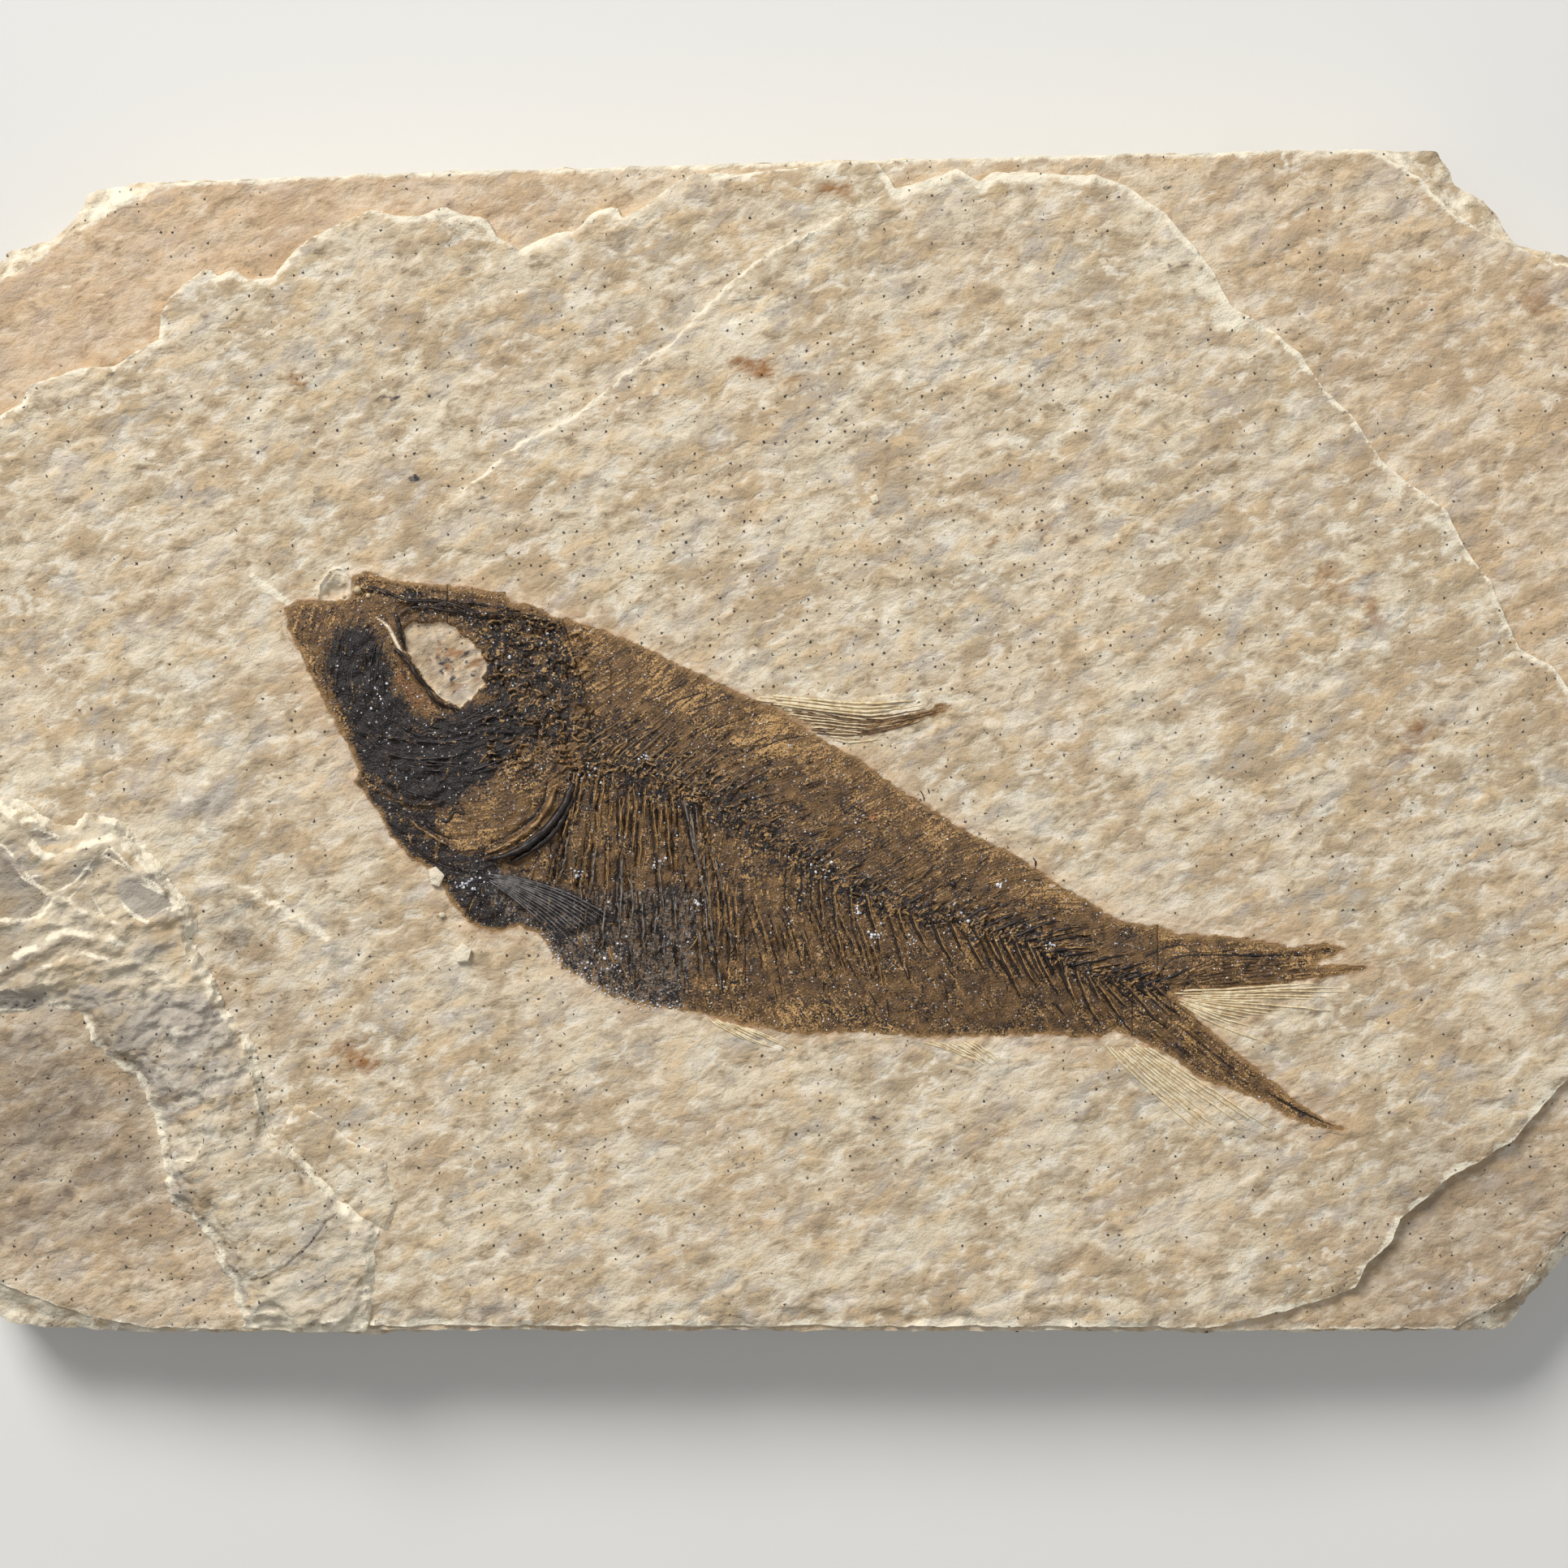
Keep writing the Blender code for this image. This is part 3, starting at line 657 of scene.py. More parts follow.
HEAD_EDGE = [
    (330, 680), (520, 700), (640, 735), (692, 762), (715, 829), (727, 889), (724, 931), (714, 966),
    (696, 1001), (655, 1047), (619, 1062), (597, 1070), (560, 1160), (330, 1160),
]
FIN_WEBS = [
    [(1446, 1222), (1570, 1214), (1690, 1206), (1640, 1250), (1548, 1292), (1500, 1268), (1462, 1242)],
    [(1358, 1280), (1425, 1352), (1497, 1400), (1556, 1390), (1480, 1338), (1420, 1290)],
    [(1132, 1276), (1184, 1302), (1206, 1312), (1238, 1320), (1212, 1290), (1196, 1276)],
    [(868, 1248), (915, 1280), (945, 1292), (1004, 1302), (940, 1272), (905, 1256)],
]
SNOUT = [
    (353, 749), (392, 741), (437, 726), (456, 703), (500, 718), (494, 742), (470, 762), (440, 772),
    (412, 776), (394, 800), (400, 840), (420, 890), (436, 930), (405, 873), (368, 800),
]


# ---------- Shader graphs ----------


def tone(red: float, green: float, blue: float) -> tuple[float, float, float, float]:
    """Turn a display colour, 0 to 255, into a linear one with full alpha."""
    levels = [c / 255 for c in (red, green, blue)]
    linear = [c / 12.92 if c <= 0.04045 else ((c + 0.055) / 1.055) ** 2.4 for c in levels]
    return (linear[0], linear[1], linear[2], 1.0)


class Signal:
    """A number that varies over a surface; sums and products of it add Math nodes."""

    def __init__(self, graph: "Graph", socket: bpy.types.NodeSocket) -> None:
        """Wrap a socket of a graph."""
        self.graph = graph
        self.socket = socket

    def _with(self, operation: str, *values: "Signal | float") -> "Signal":
        """Add a Math node.

        Args:
            operation: The node's operation.
            values: What goes into its sockets.

        Returns:
            The node's result.
        """
        made = self.graph.node("ShaderNodeMath", {"operation": operation}, dict(enumerate(values)))
        return Signal(self.graph, made.outputs[0])

    def __add__(self, other: "Signal | float") -> "Signal":
        """Add."""
        return self._with("ADD", self, other)

    def __sub__(self, other: "Signal | float") -> "Signal":
        """Subtract."""
        return self._with("SUBTRACT", self, other)

    def __mul__(self, other: "Signal | float") -> "Signal":
        """Multiply."""
        return self._with("MULTIPLY", self, other)

    def __rsub__(self, other: float) -> "Signal":
        """Subtract from a number."""
        return self._with("SUBTRACT", other, self)

    def __lt__(self, other: "Signal | float") -> "Signal":
        """Give 1 where it is less, and 0 elsewhere."""
        return self._with("LESS_THAN", self, other)

    def __or__(self, other: "Signal | float") -> "Signal":
        """Take the greater of the two."""
        return self._with("MAXIMUM", self, other)

    __radd__ = __add__


class Graph:
    """The node graph of one material."""

    def __init__(self, name: str) -> None:
        """Start a material with only its shader and output."""
        self.material = bpy.data.materials.new(name)
        self.material.use_nodes = True
        self.tree = self.material.node_tree
        self.shader = self.tree.nodes["Principled BSDF"]

    def node(self, kind: str, settings: dict, values: dict) -> bpy.types.Node:
        """Add a node.

        Args:
            kind: The node's type.
            settings: Its settings, which are set first.
            values: What goes into its sockets, by name or number: a number, a vector or a link.

        Returns:
            The node.
        """
        made = self.tree.nodes.new(kind)
        for name, setting in settings.items():
            setattr(made, name, setting)
        for name, value in values.items():
            self.feed(made.inputs[name], value)
        return made

    def feed(self, socket: bpy.types.NodeSocket, value: object) -> None:
        """Set a socket, or link something to it."""
        if isinstance(value, Signal):
            value = value.socket
        if isinstance(value, bpy.types.NodeSocket):
            self.tree.links.new(value, socket)
        else:
            socket.default_value = value

    def attribute(self, name: str) -> Signal:
        """Read a mask that the mesh carries."""
        made = self.node("ShaderNodeAttribute", {"attribute_name": name}, {})
        return Signal(self, made.outputs["Fac"])

    def place(
        self, lean: float = 0.0, stretch: float = 1.0, widen: float = 1.0
    ) -> bpy.types.NodeSocket:
        """Read the place on the slab, in millimetres, drawn out along one direction.

        Args:
            lean: Rise of that direction to the right, in degrees.
            stretch: How much longer than deep the pattern gets.
            widen: How much wider than deep it gets.

        Returns:
            The vector.
        """
        where = self.node("ShaderNodeTexCoord", {}, {})
        turned = self.node(
            "ShaderNodeMapping",
            {"vector_type": "POINT"},
            {"Vector": where.outputs["Object"], "Rotation": (0, 0, -math.radians(lean))},
        )
        scaled = self.node(
            "ShaderNodeVectorMath",
            {"operation": "MULTIPLY"},
            {0: turned.outputs["Vector"], 1: (1000 / stretch, 1000 / widen, 1000)},
        )
        return scaled.outputs[0]

    def fibre_place(self, width: float, length: float) -> bpy.types.NodeSocket:
        """Read the place counted in fibre widths across and fibre lengths along."""
        made = self.node(
            "ShaderNodeCombineXYZ",
            {},
            {0: self.attribute("across") * (1 / width), 1: self.attribute("along") * (1 / length)},
        )
        return made.outputs[0]

    def noise(
        self, place: bpy.types.NodeSocket, size: float, detail: float = 3, warp: float = 0
    ) -> Signal:
        """Add cloudy noise with clouds of a size in millimetres, about 0 to 1."""
        made = self.node(
            "ShaderNodeTexNoise",
            {"noise_dimensions": "3D"},
            {"Vector": place, "Scale": 1 / size, "Detail": detail, "Distortion": warp},
        )
        return Signal(self, made.outputs["Fac"])

    def dots(
        self, place: bpy.types.NodeSocket, spacing: float, radius: float, share: Signal | float
    ) -> Signal:
        """Scatter small uneven dots.

        Args:
            place: Where the surface is.
            spacing: Size of the cells that hold one dot each, in millimetres.
            radius: Largest radius of a dot, in cells.
            share: Share of the cells that hold a dot.

        Returns:
            A mask of the dots.
        """
        cloud = self.node(
            "ShaderNodeTexNoise",
            {"noise_dimensions": "2D"},
            {"Vector": place, "Scale": 6 / spacing, "Detail": 1.0},
        )
        moved = self.node(
            "ShaderNodeVectorMath",
            {"operation": "MULTIPLY_ADD"},
            {0: cloud.outputs["Color"], 1: (0.3 * spacing,) * 3, 2: place},
        )
        made = self.node(
            "ShaderNodeTexVoronoi",
            {"voronoi_dimensions": "2D", "feature": "F1"},
            {"Vector": moved.outputs[0], "Scale": 1 / spacing, "Randomness": 1.0},
        )
        parts = self.node("ShaderNodeSeparateColor", {}, {0: made.outputs["Color"]})
        chosen = Signal(self, parts.outputs[0]) < share
        size = Signal(self, parts.outputs[1]) * (0.65 * radius) + 0.35 * radius
        gap = Signal(self, made.outputs["Distance"]) - size
        return self.ramp(gap, 0.03, -0.03, soft=False) * chosen

    def ramp(self, value: Signal, low: float, high: float, soft: bool = True) -> Signal:
        """Stretch the part of a signal between two levels to 0 to 1."""
        made = self.node(
            "ShaderNodeMapRange",
            {"interpolation_type": "SMOOTHSTEP" if soft else "LINEAR", "clamp": True},
            {"Value": value, "From Min": low, "From Max": high},
        )
        return Signal(self, made.outputs[0])

    def mix(
        self, share: Signal | float, under: object, over: object, blend: str = "MIX"
    ) -> bpy.types.NodeSocket:
        """Lay one colour over another.

        Args:
            share: How much of the upper colour shows.
            under: The lower colour.
            over: The upper colour.
            blend: The way the two are blended.

        Returns:
            The mixed colour.
        """
        made = self.node(
            "ShaderNodeMix",
            {"data_type": "RGBA", "blend_type": blend, "clamp_factor": True},
            {0: share, 6: under, 7: over},
        )
        return made.outputs[2]

    def bump(self, height: Signal) -> bpy.types.NodeSocket:
        """Turn a height in millimetres into a surface normal."""
        made = self.node("ShaderNodeBump", {}, {"Distance": MM, "Strength": 1.0, "Height": height})
        return made.outputs[0]

    def finish(self, colour: object, roughness: object, normal: object = None) -> bpy.types.Material:
        """Connect the surface and give the material."""
        self.feed(self.shader.inputs["Base Color"], colour)
        self.feed(self.shader.inputs["Roughness"], roughness)
        if normal is not None:
            self.feed(self.shader.inputs["Normal"], normal)
        return self.material


# ---------- Finishes ----------


@dataclass(frozen=True)
class StoneLook:
    """What a limestone graph hands on: its colour, roughness and fine height."""

    colour: object
    roughness: Signal
    height: Signal


@dataclass(frozen=True)
class LimestoneFinish:
    """Matte cream limestone, mottled and streaked, with dark specks and pale fresh breaks, and with painted
    shade and shadow in hollows and under ledges.
    """

    cream: tuple = tone(222, 209, 184)
    tan: tuple = tone(182, 161, 131)
    grey: tuple = tone(184, 175, 162)
    honey: tuple = tone(214, 188, 149)
    chalk: tuple = tone(236, 229, 214)
    peach: tuple = tone(206, 170, 134)
    rust: tuple = tone(150, 104, 62)
    soot_and_painted_shadow: tuple = tone(74, 72, 78)
    fresh: tuple = tone(237, 227, 204)
    speck: tuple = tone(36, 35, 40)
    shade: tuple = tone(136, 124, 106)
    painted_shade: tuple = tone(104, 92, 84)
    lean: float = 20.0

    def look(self, graph: Graph) -> StoneLook:
        """Build the stone's colour, roughness and height in a graph.

        Args:
            graph: The graph to build in.

        Returns:
            The stone's look.
        """
        mask, ramp, mix, noise = graph.attribute, graph.ramp, graph.mix, graph.noise
        flat = graph.place()
        slant = graph.place(self.lean, 1.6)
        mottle = noise(slant, 1.25, 4, 0.5) - 0.5
        drift = noise(graph.place(self.lean + 14, 1.9), 1.0, 3, 0.4) - 0.5
        streaks = noise(slant, 0.44, 2, 0.4) - 0.5
        grit = noise(flat, 0.17, 2)
        broken = (mottle * 1.1 + streaks * 0.6) * (1.0 - mask("calm"))
        colour = mix(ramp(mask("tan") + broken * 2.3, 0.02, 1.10), self.cream, self.tan)
        honey = mask("honey") + drift * 1.9 - streaks * 0.5
        colour = mix(ramp(honey, 0.30, 1.10) * 0.7, colour, self.honey)
        grey = mask("grey") - drift * 1.7 + streaks * 0.8
        colour = mix(ramp(grey, 0.25, 1.10) * 0.9, colour, self.grey)
        colour = mix(ramp(broken, -0.03, -0.28) * 0.6, colour, self.chalk)
        colour = mix(mask("warm") * 0.6, colour, self.peach)
        # Painted shade in the hollows of the mottling and of the fine grit.
        painted_shade_patch = ramp(broken + drift * 0.4, 0.10, 0.32) * 0.5 | ramp(grit, 0.52, 0.75) * 0.22
        colour = mix(painted_shade_patch, colour, self.shade)
        # Painted shade: darkens slopes that face away from the light, troughs and the ground under ledges.
        colour = mix(mask("painted_shade") * (broken * 0.8 + 1.0), colour, self.painted_shade)
        rust = mask("rust") + broken * 0.9
        colour = mix(ramp(rust, 0.22, 1.0), colour, self.rust)
        fresh = mask("fresh") + (grit - 0.5) * 0.7 - broken * 0.5
        colour = mix(ramp(fresh, 0.25, 0.85), colour, self.fresh)
        side = mask("side")
        bedding = noise(graph.place(0, 9.0, 9.0), 0.55, 3, 0.2) - 0.5
        colour = mix(side * (ramp(bedding, -0.02, 0.22) * 0.55 + 0.18), colour, self.tan)
        # The shade tone here gives the darker bands of the bedding on the walls.
        colour = mix(side * ramp(bedding, -0.10, -0.24) * 0.55, colour, self.shade)
        specks = graph.dots(flat, 0.85, 0.125, mask("specks"))
        colour = mix(specks * 0.92, colour, self.speck)
        # Soot stains, and painted shadow lines along the flakes' overhangs.
        soot_and_painted_shadow = mask("soot_and_painted_shadow") + streaks * 2.4
        colour = mix(ramp(soot_and_painted_shadow, 0.45, 1.0), colour, self.soot_and_painted_shadow)
        height = mottle * 0.27 + streaks * 0.09 + grit * 0.05 + side * bedding * 0.5
        return StoneLook(colour, broken * 0.1 + 0.86, height)

    def material(self) -> bpy.types.Material:
        """Build the material."""
        graph = Graph("limestone")
        look = self.look(graph)
        graph.shader.inputs["Specular IOR Level"].default_value = 0.3
        return graph.finish(look.colour, look.roughness, graph.bump(look.height))


@dataclass(frozen=True)
class FossilFinish:
    """Brown to black fossil bone, full of fibres, thinning out to bare stone at its border, with painted
    glints.
    """

    brown: tuple = tone(121, 90, 52)
    umber: tuple = tone(84, 61, 38)
    amber: tuple = tone(194, 153, 98)
    black: tuple = tone(33, 26, 24)
    ash: tuple = tone(126, 121, 116)
    orange: tuple = tone(156, 106, 62)
    thin: tuple = tone(148, 114, 70)
    painted_glint_tone: tuple = tone(196, 190, 186)

    def material(self, stone: LimestoneFinish) -> bpy.types.Material:
        """Build the material.

        Args:
            stone: Finish of the stone that shows where the bone ends.

        Returns:
            The material.
        """
        graph = Graph("fossil_bone")
        mask, ramp, mix, noise = graph.attribute, graph.ramp, graph.mix, graph.noise
        rock = stone.look(graph)
        flat = graph.place()
        cloud = noise(flat, 1.0, 4, 0.6) - 0.5
        grainy = mask("grainy")
        fibre = (noise(graph.fibre_place(0.24, 1.3), 1.0, 3, 0.4) - 0.5) * (grainy * 0.65 + 0.6)
        strand = noise(graph.fibre_place(0.6, 2.6), 1.0, 3, 0.5) - 0.5
        grit = noise(flat, 0.15, 3) - 0.5
        clump = (noise(flat, 0.42, 3, 1.4) - 0.5) * grainy
        colour = mix(ramp(cloud, -0.16, 0.16), self.brown, self.umber)
        amber = mask("amber") + strand * 1.1 + fibre * 2.0 - grit * 2.1 - clump * 2.6
        colour = mix(ramp(amber, 0.38, 0.82), colour, self.amber)
        orange = mask("orange") + cloud * 1.2 + grit * 0.8
        colour = mix(ramp(orange, 0.3, 0.9), colour, self.orange)
        ash = mask("ash") + fibre * 1.6 + grit * 1.6 - clump * 1.4
        colour = mix(ramp(ash, 0.40, 0.90), colour, self.ash)
        dark = mask("dark") + cloud * 0.7 + fibre * 2.1 + grit * 2.2 + clump * 3.2
        colour = mix(ramp(dark, 0.38, 0.74), colour, self.black)
        # Painted glints: small pale dots that stand for highlights on the bone.
        painted_glint_dots = graph.dots(flat, 0.5, 0.16, grainy * 0.2 + mask("ash") * 0.3 + 0.13)
        colour = mix(painted_glint_dots * 0.7, colour, self.painted_glint_tone)
        film = mask("film") + fibre * 0.5 + cloud * 0.35
        colour = mix(ramp(film, 0.48, 0.80), self.thin, colour)
        film = ramp(film, 0.22, 0.52)
        colour = mix(film, rock.colour, colour)
        roughness = rock.roughness * (1 - film) + (grit * 0.4 + 0.50) * film
        height = rock.height * (1 - film) + (fibre * 0.20 + grit * 0.16 + strand * 0.12) * film
        return graph.finish(colour, roughness, graph.bump(height))


@dataclass(frozen=True)
class RayFinish:
    """A fin ray or small bone: one colour broken by fine noise."""

    name: str
    light: tuple
    dark: tuple
    roughness: float

    def material(self) -> bpy.types.Material:
        """Build the material."""
        graph = Graph(self.name)
        noise = graph.noise(graph.place(), 0.5, 4, 0.5)
        grit = graph.noise(graph.place(), 0.12, 2)
        colour = graph.mix(graph.ramp(noise, 0.35, 0.65), self.light, self.dark)
        return graph.finish(colour, self.roughness + grit * 0.1, graph.bump(grit * 0.03))


@dataclass(frozen=True)
class FloorFinish:
    """A plain pale matte floor."""

    colour: tuple = tone(226, 225, 222)

    def material(self) -> bpy.types.Material:
        """Build the material."""
        graph = Graph("floor")
        noise = graph.noise(graph.place(), 120, 2)
        colour = graph.mix(graph.ramp(noise, 0.3, 0.7) * 0.15, self.colour, tone(214, 213, 210))
        return graph.finish(colour, 0.85)


# ---------- Stone ----------


@dataclass(frozen=True)
class SplitFace:
    """The relief that the whole split face shares."""

    swell: float = 0.10
    ripple: float = 0.105
    crumb: float = 0.045
    lean: float = 20.0

    def height(self, x: Field, y: Field) -> Field:
        """Read the relief.

        Args:
            x: Places across.
            y: Places up.

        Returns:
            Heights over the bed's level.
        """
        swell = Grain(5).at(x / 21, y / 21)
        force = 1 + 0.5 * Grain(6).at(x / 9, y / 9)
        ripple = Grain(7).streaks(x, y, 2.3, 1.3, self.lean, 3)
        crumb = Grain(8).layered(x, y, 0.95, 2)
        return self.swell * swell + force * (self.ripple * ripple + self.crumb * crumb)


@dataclass(frozen=True)
class Shingle:
    """A thin broken ledge: the stone rises along a line and falls off gently on its right."""

    line: Squares
    rise: float
    width: float = 0.35
    length: float = 1.6
    pale: float = 0.9

    RAGGED = 0.16

    def lay(self, net: Net) -> tuple[Field, Field]:
        """Give the ledge's height and its mask of fresh stone.

        Args:
            net: The net of points.

        Returns:
            The height to add, and the mask.
        """
        line = curve_through(self.line, 8 * len(self.line))
        over, share = net.beside(line, self.length + self.width + 0.5)
        over = over + self.RAGGED * net.grain(77, 0.9)
        ends = smooth(np.minimum(share, 1 - share) / 0.12)
        front = smooth(1 + over / self.width)
        behind = 1 - smooth(over / self.length)
        shape = ends * np.where(over < 0, front, behind)
        crest = smooth(1.25 - np.abs(over / self.width + 0.45) * 1.9)
        broken = 0.45 + 0.75 * smooth(0.5 + 1.6 * net.grain(78, 1.5))
        return self.rise * shape, self.pale * ends * crest * broken


def freshen(masks: dict[str, Field], fresh: Field) -> None:
    """Raise the mask of fresh stone to another one."""
    masks["fresh"] = np.maximum(masks["fresh"], fresh)


def lower_level(x: Field, y: Field) -> Field:
    """Give the level of the upper bed, which is lower in some places than in others."""
    u, v = to_sheet(x, y)
    level = np.full(np.shape(x), UPPER_BED_TOP)
    right = smooth((u - 1150) / 250)
    level = level + right * (0.22 * smooth((1000 - v) / 200) - 0.22 * smooth((v - 1100) / 150))
    corner = smooth((230 - u) / 80) * smooth((v - 1180) / 60)
    level = level + corner * (0.05 + 0.60 * smooth((1440 - v) / 190) ** 1.5)
    bottom = smooth((v - 1560) / 90) * smooth((330 - u) / 60)
    return level - 0.25 * bottom


class Facing(Enum):
    """Which way a bed's split side looks."""

    UP = 1
    DOWN = -1


@dataclass
class Bed:
    """One bed of the stone: a split top cut to a broken edge, with walls down to its foot."""

    name: str = "bed"
    squares: Squares = field(default_factory=list)
    foot: float = 0.0
    step: float = 0.30
    bite: float = 0.35
    seed: int = 20
    wall_rings: int = 3
    wall_spread: float = 0.10
    wall_rough: float = 0.10
    facing: Facing = Facing.UP
    face: SplitFace = field(default_factory=SplitFace)

    SHINGLES: ClassVar[list[Shingle]] = []
    # What lies on the bed, and how far inside that outline nothing of the bed's top shows.
    COVERS: ClassVar[list[tuple[Squares, float]]] = []
    KEPT_RIM: ClassVar[float] = 0.0
    WALL_MASKS: ClassVar[dict[str, float]] = {
        "fresh": 0.9, "side": 1.0, "specks": 0.0, "soot_and_painted_shadow": 0.0, "painted_shade": 0.0
    }

    def outline(self) -> np.ndarray:
        """Give the broken edge."""
        return broken_edge(self.squares, self.bite, self.seed)

    def surface(self, net: Net, x: Field, y: Field, depth: Field) -> Field:
        """Give the height of the top.

        Args:
            net: The net of points.
            x: Places across, after the edge points were moved onto the edge.
            y: Places up.
            depth: Distance in from the edge.

        Returns:
            Heights over the slab's back.
        """
        raise NotImplementedError

    def masks(self, net: Net, depth: Field) -> dict[str, Field]:
        """Give the masks that the finish reads, by name."""
        rim = smooth(1 - depth / 0.38) * (0.75 + 0.5 * net.hills(31, 1.6))
        return {"fresh": np.clip(rim, 0, 1), **stone_tones(net)}

    def hidden(self, net: Net) -> Field | None:
        """Mark points that other pieces cover, where the bed has no top."""
        if not self.COVERS:
            return None
        covered = [net.depth(squares, limit + 0.5) > limit for squares, limit in self.COVERS]
        rim = net.near(self.outline(), self.KEPT_RIM + 0.5).depth > self.KEPT_RIM
        return np.logical_or.reduce(covered) & rim

    def crisp_steps(self) -> list[np.ndarray]:
        """Give the outlines of thin ledges, along which the net is drawn sharp."""
        return []

    def build(self) -> bpy.types.Object:
        """Build the bed as one closed mesh.

        Returns:
            The mesh object.
        """
        outline = self.outline()
        net = Net.around(outline, self.step)
        rim = net.near(outline, 6.0)
        x, y, cells = fitted(net, rim)
        for ledge in self.crisp_steps():
            x, y = drawn_sharp(net, x, y, net.near(ledge, 1.0), rim.depth)
        z = self.surface(net, x, y, rim.depth)
        masks = self.masks(net, rim.depth)
        for shingle in self.SHINGLES:
            rise, pale = shingle.lay(net)
            z = z + rise
            freshen(masks, pale)
        covered = self.hidden(net)
        if covered is not None:
            cells &= ~whole_cells(covered)
        mesh = net_mesh(net, x, y, z, cells, masks)
        if covered is not None:
            close_holes(mesh, net, covered, self.foot + HOLE_FLOOR)
        self.add_walls(mesh)
        if self.facing is Facing.DOWN:
            bmesh.ops.scale(mesh, vec=(1, 1, -1), verts=mesh.verts)
            bmesh.ops.reverse_faces(mesh, faces=mesh.faces)
        return as_object(self.name, mesh)

    def add_walls(self, mesh: bmesh.types.BMesh) -> None:
        """Drop rough walls from the rim to the foot, and close the bed below.

        Args:
            mesh: The open top, which becomes a closed solid.
        """
        rim = [edge for edge in mesh.edges if edge.is_boundary]
        sides: dict[bmesh.types.BMVert, Vector] = {}
        for edge in rim:
            middle = (edge.verts[0].co + edge.verts[1].co) / 2
            away = middle - edge.link_faces[0].calc_center_median()
            run = edge.verts[1].co - edge.verts[0].co
            side = Vector((-run.y, run.x, 0))
            if side.dot(away) < 0:
                side.negate()
            for vert in edge.verts:
                sides[vert] = sides.get(vert, Vector((0, 0, 0))) + side
        home = {vert: i for i, vert in enumerate(sides)}
        starts = np.array([vert.co for vert in sides]) / MM
        outward = np.array([side.normalized() for side in sides.values()])
        layers = mesh.verts.layers.float
        for ring in range(1, self.wall_rings + 1):
            share = ring / self.wall_rings
            z = starts[:, 2] + share * (self.foot - starts[:, 2])
            push = self.wall_offset(starts[:, 0], starts[:, 1], z, outward, share)
            places = np.column_stack((starts[:, :2] + outward[:, :2] * push[:, None], z)) * MM
            grown = bmesh.ops.extrude_edge_only(mesh, edges=rim)["geom"]
            rim = [e for e in grown if isinstance(e, bmesh.types.BMEdge) and e.is_boundary]
            ring_home = {}
            for vert in (item for item in grown if isinstance(item, bmesh.types.BMVert)):
                above = next(e.other_vert(vert) for e in vert.link_edges if e.other_vert(vert) in home)
                ring_home[vert] = home[above]
                vert.co = places[home[above]]
                for name, value in self.WALL_MASKS.items():
                    vert[layers[name]] = value
            home = ring_home
        bmesh.ops.contextual_create(mesh, geom=rim)
        bmesh.ops.recalc_face_normals(mesh, faces=mesh.faces)

    def wall_offset(self, x: Field, y: Field, z: Field, outward: Field, share: float) -> Field:
        """Give how far the wall stands out, in thin layers along the bedding.

        Args:
            x: Places of the rim above, across.
            y: Places of the rim above, up.
            z: Heights.
            outward: Directions away from the stone.
            share: Share of the way down the wall.

        Returns:
            Offsets from the rim.
        """
        grain = Grain(self.seed + 1)
        along = x * np.abs(outward[:, 1]) + y * np.abs(outward[:, 0])
        layers = grain.at(along / 3.1, z / 0.42 + 40)
        chips = grain.at(along / 0.8 + 11, z / 0.3)
        return self.wall_spread * share + self.wall_rough * (0.65 * layers + 0.35 * chips)


def fitted(net: Net, rim: Nearness) -> tuple[Field, Field, Field]:
    """Move the net's points beside an edge onto it, and choose the cells that it encloses.

    Args:
        net: The net.
        rim: How the net lies to the edge.

    Returns:
        The moved x, the moved y, and a mask of the cells to keep.
    """
    inside = rim.depth > 0
    beside = beside_border(inside)
    x = np.where(beside, rim.x, net.x)
    y = np.where(beside, rim.y, net.y)
    corners = inside.astype(int)
    count = corners[:-1, :-1] + corners[:-1, 1:] + corners[1:, :-1] + corners[1:, 1:]
    cells = count >= 3
    for _ in range(6):
        falling = cells[:-1, :-1] & cells[1:, 1:] & ~cells[:-1, 1:] & ~cells[1:, :-1]
        rising = cells[:-1, 1:] & cells[1:, :-1] & ~cells[:-1, :-1] & ~cells[1:, 1:]
        if not (falling.any() or rising.any()):
            break
        cells[:-1, :-1] &= ~falling
        cells[:-1, 1:] &= ~rising
    return x, y, cells


def beside_border(inside: Field) -> Field:
    """Mark the points that have a neighbour on the other side of a border."""
    beside = np.zeros(inside.shape, bool)
    across = inside[:, 1:] != inside[:, :-1]
    beside[:, 1:] |= across
    beside[:, :-1] |= across
    up = inside[1:] != inside[:-1]
    beside[1:] |= up
    beside[:-1] |= up
    return beside


def drawn_sharp(
    net: Net, x: Field, y: Field, ledge: Nearness, depth: Field
) -> tuple[Field, Field]:
    """Draw the net's points up to both sides of a ledge, so that its wall is steep.

    Args:
        net: The net.
        x: The points' x so far.
        y: The points' y so far.
        ledge: How the net lies to the ledge's outline.
        depth: Distance in from the bed's own edge, whose points are left alone.

    Returns:
        The moved x and y.
    """
    beside = beside_border(ledge.depth > 0) & (depth > 2 * net.step)
    moved_x, moved_y = ledge.off_edge(net, LEDGE_GAP)
    return np.where(beside, moved_x, x), np.where(beside, moved_y, y)


def whole_cells(points: Field) -> Field:
    """Mark the cells whose four corners are all marked."""
    return points[:-1, :-1] & points[:-1, 1:] & points[1:, :-1] & points[1:, 1:]


